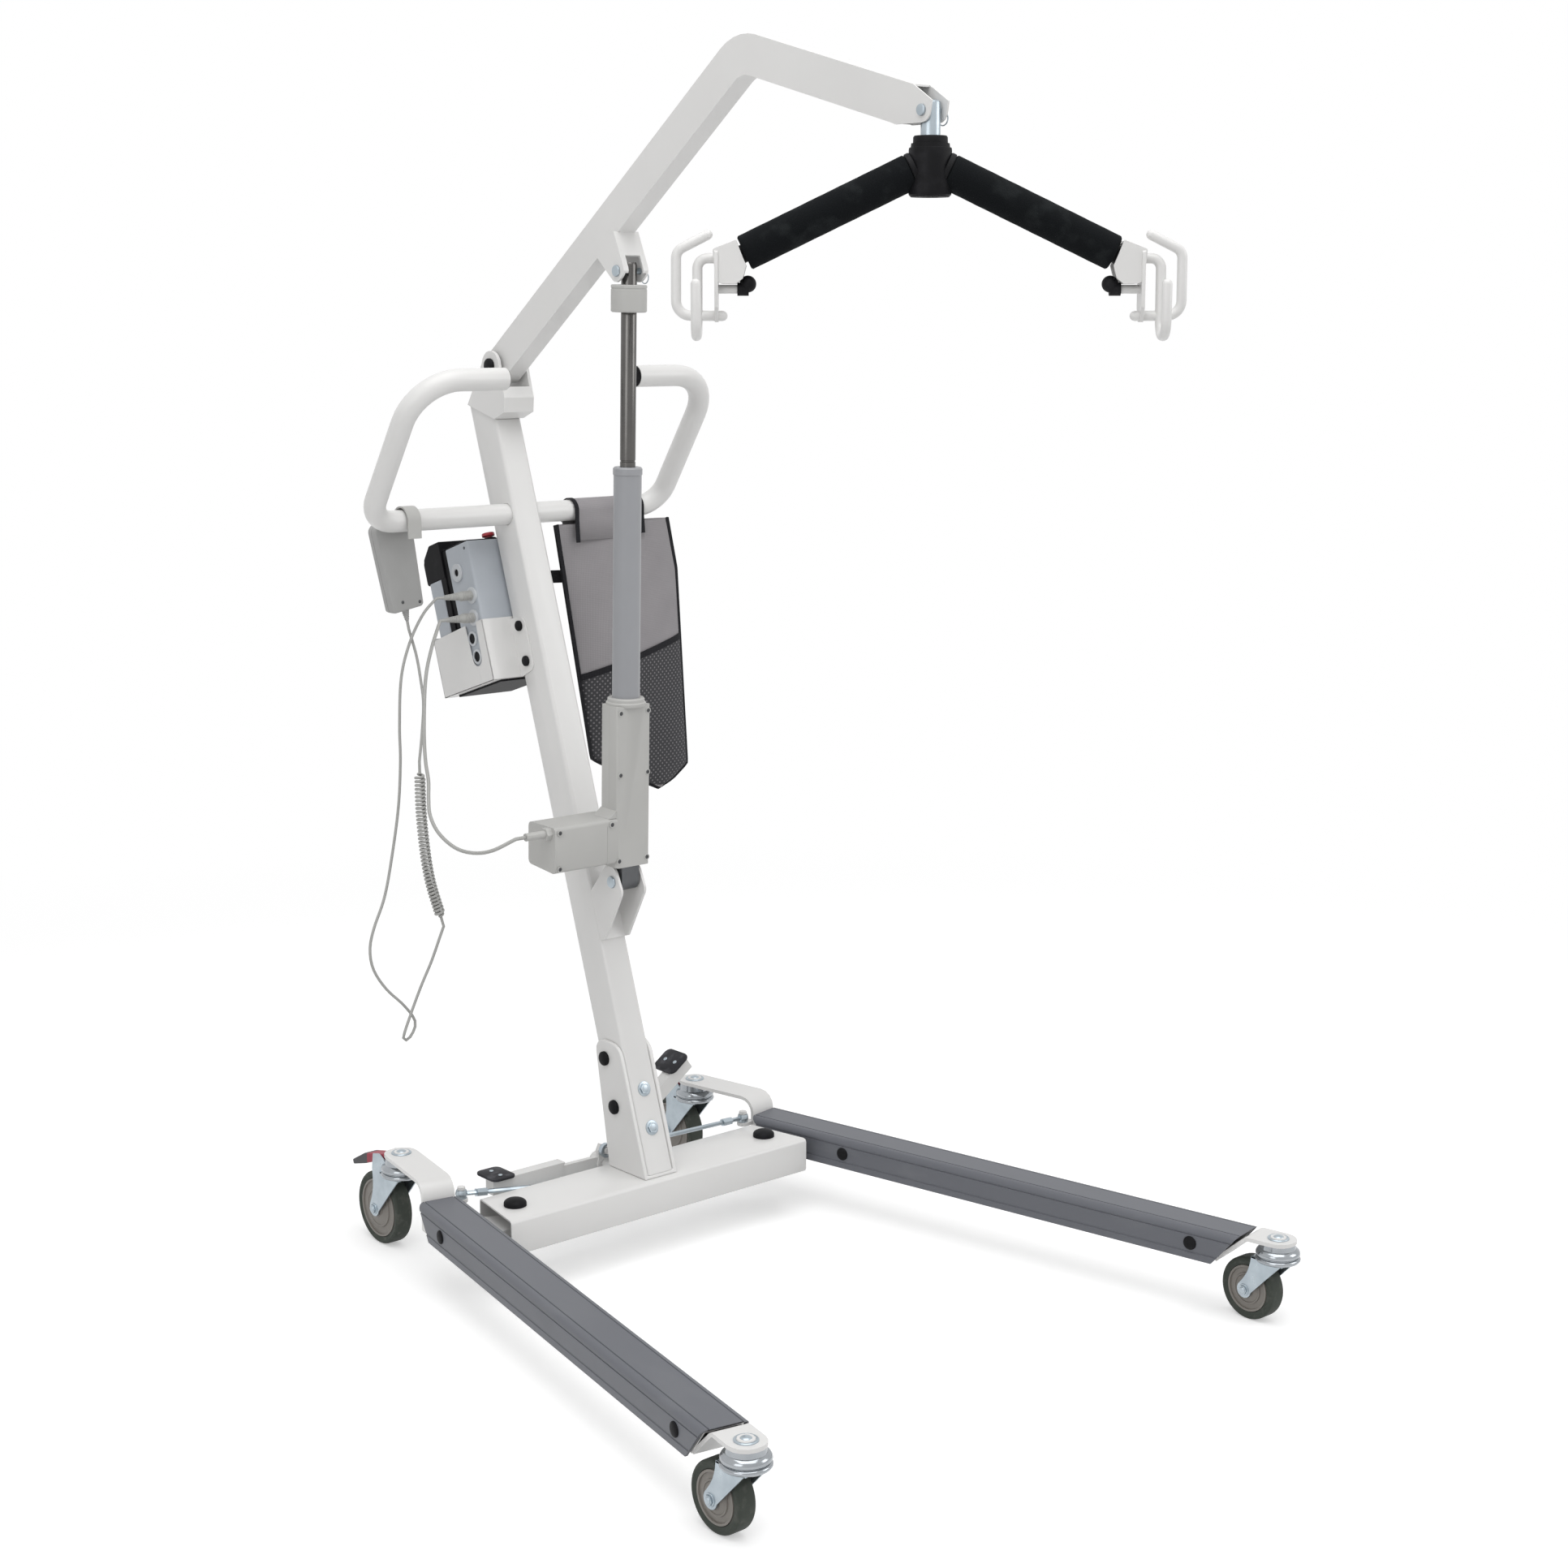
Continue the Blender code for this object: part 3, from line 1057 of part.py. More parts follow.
def mast_foot():
    seat = CROSS_TOP + GAP
    outer = MAST_WIDTH / 2 + FIT + FOOT_WALL
    front_low = MAST_FRONT_Y + seat * math.tan(MAST_LEAN)
    top = MAST @ Vector((0, 0, FOOT_TOP))
    back = MAST @ Vector((0, MAST_DEPTH * FOOT_TOP_DEPTH, FOOT_TOP + FOOT_TOP_RISE))
    outline = rounded([
        (front_low, seat, 0), (top.y, top.z, FOOT_FRONT_ROUND), (back.y, back.z, FOOT_REAR_ROUND),
        (FOOT_REAR, seat, 0)], 4)
    item = prism('mast_foot', outline, -outer, outer, PROFILE)
    slot = box('foot_slot', (-1, 1), (seat + FOOT_BASE, 1), (-outer + FOOT_WALL, outer - FOOT_WALL), PROFILE)
    return paint(cut(item, slot), WHITE)


def mast_tube():
    half = MAST_WIDTH / 2
    outer = rectangle(half, 0, MAST_DEPTH, MAST_CORNER, 2)
    inner = rectangle(half - MAST_WALL, MAST_WALL, MAST_DEPTH - MAST_WALL, MAST_CORNER - MAST_WALL, 2)
    floor = CROSS_TOP + GAP + FOOT_BASE + GAP

    def ring(outline, top):
        points = []
        for x, back in outline:
            low = (floor + back * math.sin(MAST_LEAN)) / math.cos(MAST_LEAN)
            high = MAST_TOP_FRONT + (MAST_TOP_REAR - MAST_TOP_FRONT) * back / MAST_DEPTH
            points.append(MAST @ Vector((x, back, high if top else low)))
        return points

    item = skin('mast', [ring(outer, False), ring(outer, True), ring(inner, True), ring(inner, False)], True)
    bar = bore('handle_hole', HANDLE_RADIUS, (-THROUGH, HANDLE_BAR_Y, HANDLE_BAR_Z),
               (THROUGH, HANDLE_BAR_Y, HANDLE_BAR_Z))
    return paint(weld(cut(item, bar), lower_clevis()), WHITE)


def lower_clevis():
    """U bracket on the mast's front that holds the actuator's lower pin."""
    outer = CLEVIS_INNER + CLEVIS_WALL
    local = MAST.inverted() @ LOWER_PIN
    back, up = local.y, local.z
    root = MAST_WALL * 0.4
    outline = rounded([
        (root, up - CLEVIS_BELOW, 0), (-CLEVIS_FOOT, up - CLEVIS_BELOW, CLEVIS_WALL),
        (back - CLEVIS_NOSE, up - CLEVIS_NOSE_DROP, CLEVIS_ROUND),
        (back - CLEVIS_NOSE * 2 / 3, up + CLEVIS_NOSE_TOP, CLEVIS_ROUND),
        (back + CLEVIS_NOSE / 2, up + CLEVIS_HEEL, CLEVIS_WALL), (root, up - CLEVIS_ABOVE, 0)], 3)
    item = prism('lower_clevis', outline, -outer, outer, MAST_SIDE)
    far, below, above = -2 * THROUGH, up - 2 * THROUGH, up + 2 * THROUGH
    web = [(-CLEVIS_WALL, below), (far, below), (far, above), (-CLEVIS_WALL, above)]
    across = X_AXIS * THROUGH
    pin = bore('clevis_hole', ACTUATOR_PIN_RADIUS, LOWER_PIN - across, LOWER_PIN + across)
    return cut(item, prism('clevis_slot', web, -CLEVIS_INNER, CLEVIS_INNER, MAST_SIDE), pin)


def ringed_pin(name, centre, radius, half, head):
    """Pin along X with a head on the right side and a pull ring on the left."""
    place = frame(centre, Y_AXIS, UP, X_AXIS)
    start, end = -half - GAP, half + GAP + PIN_END
    item = turned(name, [
        (head * 0.8, start - PIN_HEAD_HEIGHT), (head, start - PIN_HEAD_HEIGHT * 0.6), (head, start),
        (radius, start), (radius, end), (radius - SINK / 2, end + SINK / 2)], place, 12)
    ring_radius, wire = PULL_RING_RADIUS, PULL_RING_WIRE
    hang = Vector(centre) + X_AXIS * (end - PIN_END / 3) - UP * ring_radius
    rings = []
    for step in range(12):
        turn = 2 * math.pi * step / 12
        radial = Y_AXIS * math.cos(turn) + UP * math.sin(turn)
        middle = hang + radial * ring_radius
        sides = [2 * math.pi * s / 4 for s in range(4)]
        rings.append([middle + (radial * math.cos(a) + X_AXIS * math.sin(a)) * wire for a in sides])
    return paint(weld(item, skin('pull_ring', rings, True)), ZINC)


def mast_head():
    """U bracket on the slanted top of the mast, open above for the boom's end."""
    half = HEAD_HALF_WIDTH
    slope = MAST_TOP_RISE / MAST_DEPTH
    base = MAST_TOP_FRONT + GAP * 1.5
    rear_back = MAST_DEPTH - HEAD_SETBACK
    front = MAST @ Vector((0, -HEAD_SETBACK, base))
    rear = MAST @ Vector((0, rear_back, base + slope * rear_back))
    pivot = (HEAD.y, HEAD.z)
    crown = arc(pivot, HEAD_RADIUS, 0.15, math.pi * 0.86, 8)
    nose = (HEAD.y - NOSE_AHEAD, HEAD.z - NOSE_BELOW)
    outline = [(front.y, front.z), (rear.y, rear.z)] + crown
    outline += [nose, (nose[0] + NOSE_SLANT, nose[1] - NOSE_HEIGHT)]
    item = prism('mast_head', outline, -half, half, PROFILE)
    inner = half - HEAD_WALL
    slope = (rear.z - front.z) / (rear.y - front.y)
    near, far = front.y - HEAD_FLOOR_LIP, rear.y + HEAD_RADIUS
    ledge = HEAD.z - BOOM_HEIGHT / 2 - HEAD_CLEAR
    before, above = HEAD.y - 4 * HEAD_RADIUS, HEAD.z + 2 * HEAD_RADIUS
    floor = front.z + HEAD_FLOOR
    slot = [(near, floor + (near - front.y) * slope), (far, floor + (far - front.y) * slope), (far, above),
            (before, above), (before, ledge), (near, ledge)]
    bolt = bore('head_hole', BOOM_BOLT_RADIUS, HEAD - X_AXIS * THROUGH, HEAD + X_AXIS * THROUGH)
    return paint(cut(item, prism('head_slot', slot, -inner, inner, PROFILE), bolt), WHITE)


def boom_bolt():
    place = frame(HEAD, Y_AXIS, UP, X_AXIS)
    face = HEAD_HALF_WIDTH + GAP
    skirt, top, edge = face + BOOM_BOLT_SKIRT, face + BOOM_BOLT_HEIGHT, BOOM_BOLT_HEAD - BOOM_BOLT_EDGE
    return paint(turned('boom_pivot_bolt', [
        (edge, -top), (BOOM_BOLT_HEAD, -skirt), (BOOM_BOLT_HEAD, -face), (BOOM_BOLT_RADIUS, -face),
        (BOOM_BOLT_RADIUS, face), (BOOM_BOLT_HEAD, face), (BOOM_BOLT_HEAD, skirt), (edge, top)],
        place, 14), BLACK)


def boom_outline(inset):
    """Heel, lower bend and upper bend of the boom's side view in (y, z), drawn in by an inset."""
    half = BOOM_HEIGHT / 2 - inset
    down_out = (TIP - BOOM_BEND).normalized()
    down_top = X_AXIS.cross(down_out)
    if down_top.z < 0:
        down_top = -down_top
    turn = (BOOM_RISE + BOOM_DROP) / 2
    mitre = (BOOM_TOP + down_top).normalized() * half / math.cos(turn)
    start_turn = math.atan2(BOOM_TOP.z, BOOM_TOP.y)
    heel = arc((HEAD.y, HEAD.z), half, start_turn, start_turn - math.pi, 8)
    bends = []
    for side in (-1, 1):
        corner, radius = BOOM_BEND + side * mitre, BOOM_BEND_RADIUS + side * half
        inner, outer = corner - BOOM_OUT * THROUGH, corner + down_out * THROUGH
        points = rounded([(inner.y, inner.z, 0), (corner.y, corner.z, radius), (outer.y, outer.z, 0)], 5,
                         closed=False)
        bends.append([tuple(p) for p in points[1:-1]])
    return heel, bends[0], bends[1][::-1], down_out, down_top, half


def boom():
    heel, low_bend, high_bend, down_out, down_top, half = boom_outline(0)
    nose_low = TIP - UP * CHEEK_RADIUS
    wall_end = TIP + Vector((0, BOOM_CHEEK, 0))
    low_edge = BOOM_BEND + down_out * (wall_end - BOOM_BEND).dot(down_out) - down_top * half
    high_edge = TIP - down_out * CHEEK_TOP_BACK + down_top * half
    outline = [tuple(p) for p in heel]
    outline += low_bend + [(low_edge.y, low_edge.z), (nose_low.y + CHEEK_FOOT, nose_low.z)]
    outline += arc((TIP.y, TIP.z), CHEEK_RADIUS, -math.pi / 2, -math.pi * 0.97, 4)
    outline += [(TIP.y - CHEEK_TOP[0], TIP.z + CHEEK_TOP[1]), (high_edge.y, high_edge.z)] + high_bend
    width = BOOM_WIDTH / 2
    item = prism('boom', outline, -width, width, PROFILE)
    heel, low_bend, high_bend, down_out, down_top, half = boom_outline(BOOM_WALL)
    low_end = TIP + down_out * THROUGH - down_top * half
    high_end = TIP + down_out * THROUGH + down_top * half
    hollow = [tuple(p) for p in heel[1:-1]] + low_bend
    hollow += [(low_end.y, low_end.z), (high_end.y, high_end.z)] + high_bend
    cavity = prism('boom_hollow', hollow, -width + BOOM_WALL, width - BOOM_WALL, PROFILE)
    ahead, below, above = TIP.y - THROUGH, TIP.z - THROUGH, TIP.z + THROUGH
    mouth_low = [(wall_end.y, below), (wall_end.y, TIP.z), (ahead, TIP.z), (ahead, below)]
    mouth_high = [(high_edge.y, TIP.z), (high_edge.y, above), (ahead, above), (ahead, TIP.z)]
    mouth = []
    for index, outline in enumerate((mouth_low, mouth_high)):
        reach = width - BOOM_WALL - index * GAP / 3
        mouth.append(prism('boom_mouth', outline, -reach, reach, PROFILE))
    cut(item, cavity, *mouth)
    weld(item, boom_bracket())
    pins = ((HEAD, BOOM_BOLT_RADIUS), (ROD_PIN, ROD_PIN_RADIUS), (TIP, HANGER_PIN_RADIUS))
    holes = [bore('boom_hole', r, p - X_AXIS * THROUGH, p + X_AXIS * THROUGH) for p, r in pins]
    return paint(cut(item, *holes), WHITE)


def boom_bracket():
    """U bracket under the boom for the rod pin: web in front, open behind and below."""
    outer = BRACKET_INNER + BRACKET_WALL
    top = -BOOM_HEIGHT / 2 + BOOM_WALL / 2
    low = -PIN_BELOW - BRACKET_BELOW
    outline = rounded([
        (PIN_ALONG - BRACKET_ROOT, top, 0), (PIN_ALONG - BRACKET_NOSE, low, BRACKET_ROUND),
        (PIN_ALONG + BRACKET_NOSE, low, BRACKET_ROUND), (PIN_ALONG + BRACKET_ROOT, top, 0)], 3)
    item = prism('boom_bracket', outline, -outer, outer, BOOM_SIDE)
    ceiling = -BOOM_HEIGHT / 2 - BRACKET_WALL
    front_high = PIN_ALONG + BRACKET_ROOT - BRACKET_WALL
    front_low = PIN_ALONG + BRACKET_NOSE - BRACKET_WALL
    behind, below, ahead = PIN_ALONG - THROUGH, low - THROUGH, PIN_ALONG + THROUGH
    pocket = [(behind, ceiling), (front_high, ceiling), (front_low, low), (front_low, below),
              (behind, below)]
    slot_half = ROD_RADIUS + BRACKET_SLOT_PLAY
    slot_top = -PIN_BELOW + ROD_EYE_TOP - FIT
    slot = [(PIN_ALONG, slot_top), (ahead, slot_top), (ahead, below), (PIN_ALONG, below)]
    return cut(item, prism('bracket_pocket', pocket, -BRACKET_INNER, BRACKET_INNER, BOOM_SIDE),
               prism('bracket_slot', slot, -slot_half, slot_half, BOOM_SIDE))


def actuator_body():
    """Plastic housing with the motor box on its right side and an eye on the lower pin."""
    corners = []
    for x, back in ((-HOUSING_HALF_WIDTH, -HOUSING_FRONT), (HOUSING_HALF_WIDTH, -HOUSING_FRONT),
                    (HOUSING_HALF_WIDTH, HOUSING_REAR), (-HOUSING_HALF_WIDTH, HOUSING_REAR)):
        corners.append((x, back, HOUSING_CORNER))
    item = prism('actuator_body', rounded(corners, 3), HOUSING_BOTTOM, HOUSING_TOP, ACTUATOR)
    front = HOUSING_FRONT - SINK / 2
    motor_outline = rounded([
        (-front, MOTOR_BOTTOM, HOUSING_CORNER), (MOTOR_REAR, MOTOR_BOTTOM + HOUSING_CORNER, MOTOR_CORNER),
        (MOTOR_REAR, MOTOR_TOP, MOTOR_CORNER), (-front, MOTOR_TOP, HOUSING_CORNER)], 3)
    motor = prism('motor_box', motor_outline, -MOTOR_LEFT, 2 * SINK - HOUSING_HALF_WIDTH, ACTUATOR_SIDE)
    seat_outer = TUBE_RADIUS + SEAT_WALL
    collar = turned('tube_collar', [
        (seat_outer, HOUSING_TOP - SINK), (seat_outer, HOUSING_TOP + SEAT_HEIGHT - 1.5 * SINK),
        (TUBE_RADIUS + SINK, HOUSING_TOP + SEAT_HEIGHT)], ACTUATOR, 18)
    eye_half = CLEVIS_INNER - EYE_PLAY
    eye_top = HOUSING_BOTTOM + 1.5 * SINK
    eye_outline = [(-EYE_RADIUS, eye_top)] + arc((0, 0), EYE_RADIUS, math.pi, 2 * math.pi, 8)
    eye_outline += [(EYE_RADIUS, eye_top)]
    eye = prism('actuator_eye', eye_outline, -eye_half, eye_half, ACTUATOR_SIDE)
    gland_start = ACTUATOR @ Vector((1.5 * SINK - MOTOR_LEFT, -GLAND_AHEAD, GLAND_UP))
    gland_end = ACTUATOR @ Vector((-MOTOR_LEFT - GLAND_LENGTH, -GLAND_AHEAD, GLAND_UP))
    gland = cylinder('motor_gland', GLAND_RADIUS, gland_start, gland_end, 10)
    weld(item, motor, collar, eye, gland)
    across = X_AXIS * THROUGH
    eye_hole = bore('eye_bore', ACTUATOR_PIN_RADIUS, LOWER_PIN - across, LOWER_PIN + across)
    seat_radius = TUBE_RADIUS + GAP
    seat = turned('tube_seat', [
        (seat_radius, HOUSING_TOP - TUBE_SEAT), (seat_radius, HOUSING_TOP + THROUGH)], ACTUATOR, 18)
    return paint(cut(item, eye_hole, seat), BEIGE)


def actuator_tube():
    low, top = HOUSING_TOP - TUBE_SEAT + GAP, TUBE_TOP
    inner = ROD_RADIUS + RUN
    inside = TUBE_RADIUS - TUBE_WALL
    bead = TUBE_RADIUS + TUBE_BEAD
    bead_low = top - TUBE_BEAD_LOW
    item = turned('actuator_tube', [
        (inside, low), (TUBE_RADIUS, low), (TUBE_RADIUS, bead_low), (bead, bead_low + TUBE_BEAD),
        (bead, top - 2 * TUBE_BEAD), (TUBE_RADIUS - TUBE_BEAD, top), (inner, top), (inner, top - TUBE_LIP),
        (inside, top - TUBE_LIP)], ACTUATOR, 18, hollow=True)
    return paint(item, TUBE_GREY)


def piston_rod():
    """Chrome rod with its collar and a forked end that stays open towards the front."""
    pin = ACTUATOR_LENGTH
    low = TUBE_TOP - ROD_INSIDE
    collar_top = pin - COLLAR_BELOW
    collar_low = collar_top - COLLAR_HEIGHT
    item = turned('piston_rod', [
        (ROD_RADIUS, low), (ROD_RADIUS, collar_low), (COLLAR_RADIUS - COLLAR_EDGE, collar_low),
        (COLLAR_RADIUS, collar_low + COLLAR_EDGE), (COLLAR_RADIUS, collar_top - COLLAR_EDGE / 2),
        (COLLAR_RADIUS - COLLAR_EDGE, collar_top), (ROD_RADIUS, collar_top),
        (ROD_RADIUS, pin + ROD_EYE_TOP - ROD_TIP_EDGE), (ROD_RADIUS - ROD_TIP_EDGE, pin + ROD_EYE_TOP)],
        ACTUATOR, 16)
    play = ROD_PIN_RADIUS + ROD_PIN_PLAY
    slot = [(-THROUGH, pin - play), (0, pin - play)]
    slot += arc((0, pin + ROD_SLOT_RISE), play, -math.pi / 2, math.pi / 2, 6)[1:]
    slot += [(-THROUGH, pin + play + ROD_SLOT_FLARE)]
    fork = box('rod_fork_slot', (-ROD_FORK_HALF, ROD_FORK_HALF), (-THROUGH, THROUGH),
               (collar_top + 1.5 * COLLAR_EDGE, pin + THROUGH), ACTUATOR)
    return paint(cut(item, prism('rod_pin_slot', slot, -THROUGH, THROUGH, ACTUATOR_SIDE), fork), CHROME)


def handle_bar():
    corners = [(-HANDLE_GRIP_END, HANDLE_TOP_Y, HANDLE_TOP_Z, 0),
               (-HANDLE_HALF, HANDLE_TOP_Y, HANDLE_TOP_Z, HANDLE_TOP_BEND),
               (-HANDLE_HALF, HANDLE_BAR_Y, HANDLE_BAR_Z, HANDLE_LOW_BEND),
               (HANDLE_HALF, HANDLE_BAR_Y, HANDLE_BAR_Z, HANDLE_LOW_BEND),
               (HANDLE_HALF, HANDLE_TOP_Y, HANDLE_TOP_Z, HANDLE_TOP_BEND),
               (HANDLE_GRIP_END, HANDLE_TOP_Y, HANDLE_TOP_Z, 0)]
    item = rod('handle_bar', rounded(corners, 4, closed=False), HANDLE_RADIUS, 3)
    return paint(item, WHITE)


def control_tray():
    corner = TRAY_CORNER
    outer = rounded([(-TRAY_LEFT, TRAY_FRONT, corner), (TRAY_RIGHT, TRAY_FRONT, corner),
                     (TRAY_RIGHT, TRAY_BACK, corner), (-TRAY_LEFT, TRAY_BACK, corner)], 2)
    item = prism('control_tray', outer, TRAY_BOTTOM, TRAY_TOP, MAST)
    wall = TRAY_WALL
    inside = box('tray_inside', (-TRAY_LEFT + wall, TRAY_RIGHT - wall),
                 (TRAY_FRONT + wall, TRAY_BACK - wall), (TRAY_BOTTOM + wall, TRAY_TOP + THROUGH), MAST)
    rim = TRAY_RIM + wall
    window = box('tray_window', (TRAY_RIM - TRAY_LEFT, TRAY_RIGHT - TRAY_RIM),
                 (TRAY_FRONT + rim, TRAY_BACK - rim), (TRAY_BOTTOM - PAST, TRAY_BOTTOM + PAST), MAST)
    cut(item, inside, window)
    flange_in = MAST_WIDTH / 2 + FIT
    for side in (-1, 1):
        ends = sorted((side * flange_in, side * (flange_in + FLANGE_THICKNESS)))
        weld(item, box('tray_flange', ends, (FLANGE_FRONT, TRAY_FRONT + wall / 2),
                       (TRAY_BOTTOM, TRAY_TOP - FLANGE_DROP), MAST))
    return paint(item, WHITE)


def control_box():
    left, right = -TRAY_LEFT + TRAY_WALL + BOX_CLEAR, TRAY_RIGHT - TRAY_WALL - BOX_CLEAR
    front = TRAY_FRONT + TRAY_WALL + BOX_CLEAR
    low = TRAY_BOTTOM + TRAY_WALL + BOX_CLEAR
    back = front + BOX_DEPTH
    outline = rounded([(left, front, BOX_CORNER), (right, front, BOX_CORNER), (right, back, BOX_CORNER),
                       (left, back, BOX_CORNER)], 2)
    well = bore('estop_well', ESTOP_STEM_RADIUS, ESTOP_PLACE - MAST_UP * (ESTOP_TRAVEL + SINK),
                ESTOP_PLACE + MAST_UP)
    item = prism('control_box', outline, low, BOX_TOP, MAST)
    back = box('box_back', (left + BACK_INSET, right - BACK_INSET), (back - 2 * SINK, BATTERY_FRONT - GAP),
               (low + 2 * SINK, BOX_TOP - BACK_BELOW), MAST)
    return paint(cut(weld(item, back), well), BOX_GREY)


def battery_pack():
    left, right = -TRAY_LEFT + TRAY_WALL + BOX_CLEAR, TRAY_RIGHT - TRAY_WALL - BOX_CLEAR
    low = TRAY_BOTTOM + TRAY_WALL + BOX_CLEAR
    outline = rounded([(left, BATTERY_FRONT, BATTERY_EDGE), (right, BATTERY_FRONT, BATTERY_EDGE),
                       (right, BATTERY_BACK, BATTERY_CORNER), (left, BATTERY_BACK, BATTERY_CORNER)], 3)
    item = prism('battery_pack', outline, low, BATTERY_TOP, MAST)
    latch_top = BATTERY_TOP - LATCH_BELOW
    latch = box('battery_latch', (left + LATCH_INSET, right - LATCH_INSET),
                (BATTERY_BACK - 2 * SINK, BATTERY_LATCH), (latch_top - LATCH_HEIGHT, latch_top), MAST)
    return paint(weld(item, latch), BOX_GREY)


def estop_button():
    place = frame(ESTOP_PLACE, X_AXIS, MAST_BACK, MAST_UP)
    head = ESTOP_TRAVEL + ESTOP_EDGE
    return paint(turned('estop_button', [
        (ESTOP_STEM_RADIUS, GAP), (ESTOP_STEM_RADIUS, head), (ESTOP_RADIUS, head),
        (ESTOP_RADIUS, ESTOP_HEIGHT - ESTOP_EDGE), (ESTOP_RADIUS - ESTOP_EDGE, ESTOP_HEIGHT)],
        place, 12), RED)


def socket_place(spot):
    """Where a plug meets the side of the control box."""
    left = -TRAY_LEFT + TRAY_WALL + BOX_CLEAR
    return MAST @ Vector((left, spot[0], spot[1]))


def plug(spot, name):
    face = socket_place(spot) - X_AXIS * GAP
    place = frame(face, Y_AXIS, UP, -X_AXIS)
    return paint(turned(name, [
        (PLUG_RADIUS, 0), (PLUG_RADIUS, PLUG_LENGTH * PLUG_SHOULDER), (PLUG_RADIUS * 0.8, PLUG_LENGTH * 0.5),
        (PLUG_RADIUS * 0.6, PLUG_LENGTH)], place, 14), CORD_GREY)


def spreader_point(side, out, front, below):
    """Point on the spreader: out along an arm, towards the front, below the tip pin."""
    return TIP + ARM_ALONG * side * out + TO_FRONT * front - UP * below


def hanger_post():
    low, high = TIP.z - SPREADER_DROP - HUB_HEIGHT + HUB_FLOOR, TIP.z + POST_RADIUS
    place = frame((TIP.x, TIP.y, 0), X_AXIS, Y_AXIS, UP)
    item = turned('hanger_post', [
        (POST_HEAD_RADIUS, low - POST_HEAD_HEIGHT), (POST_HEAD_RADIUS, low), (POST_RADIUS, low),
        (POST_RADIUS, high - POST_EDGE), (POST_RADIUS - POST_EDGE, high)], place, 14)
    hole = bore('post_hole', HANGER_PIN_RADIUS, TIP - X_AXIS * THROUGH, TIP + X_AXIS * THROUGH)
    return paint(cut(item, hole), ZINC)


def spreader_hub():
    top = TIP.z - SPREADER_DROP
    low = top - HUB_HEIGHT
    place = frame((TIP.x, TIP.y, 0), X_AXIS, Y_AXIS, UP)
    item = turned('spreader_hub', [
        (HUB_RADIUS - HUB_EDGE, low), (HUB_RADIUS, low + HUB_EDGE),
        (HUB_RADIUS, top - HUB_COLLAR_HEIGHT - HUB_EDGE / 4),
        (HUB_COLLAR_RADIUS, top - HUB_COLLAR_HEIGHT), (HUB_COLLAR_RADIUS, top)], place, 20)
    arms = []
    for side in (-1, 1):
        along = arm_direction(side)
        root = spreader_point(side, ARM_ROOT[0], 0, ARM_ROOT[1])
        arms.append(cylinder('arm_tube', ARM_TUBE_RADIUS, root, root + along * (FOAM_LENGTH + ARM_OUT), 12))
    weld(item, *arms)
    bore_low = low + HUB_FLOOR
    axis = Vector((TIP.x, TIP.y, 0))
    post_hole = bore('post_bore', POST_RADIUS, axis + UP * bore_low, axis + UP * (top + THROUGH), 16)
    head_room = bore('post_head_room', POST_HEAD_RADIUS, axis + UP * (low - THROUGH),
                     axis + UP * (bore_low + GAP), 16)
    return paint(cut(item, post_hole, head_room), WHITE)


def arm_direction(side):
    return (ARM_ALONG * side * math.cos(ARM_DROP) - UP * math.sin(ARM_DROP)).normalized()


def foam_sleeve(side, name):
    along = arm_direction(side)
    root = spreader_point(side, ARM_ROOT[0], 0, ARM_ROOT[1])
    across = along.cross(TO_FRONT).normalized()
    place = frame(root, TO_FRONT, across, along)
    inner = (ARM_TUBE_RADIUS + GAP) / math.cos(math.pi / 16)
    item = turned(name, [
        (inner, 0), (FOAM_RADIUS, 0), (FOAM_RADIUS, FOAM_LENGTH), (inner, FOAM_LENGTH)],
        place, 16, hollow=True)
    return paint(cut(item, bore('hub_room', HUB_RADIUS, TIP - UP * 2 * THROUGH, TIP, 20)), FOAM)


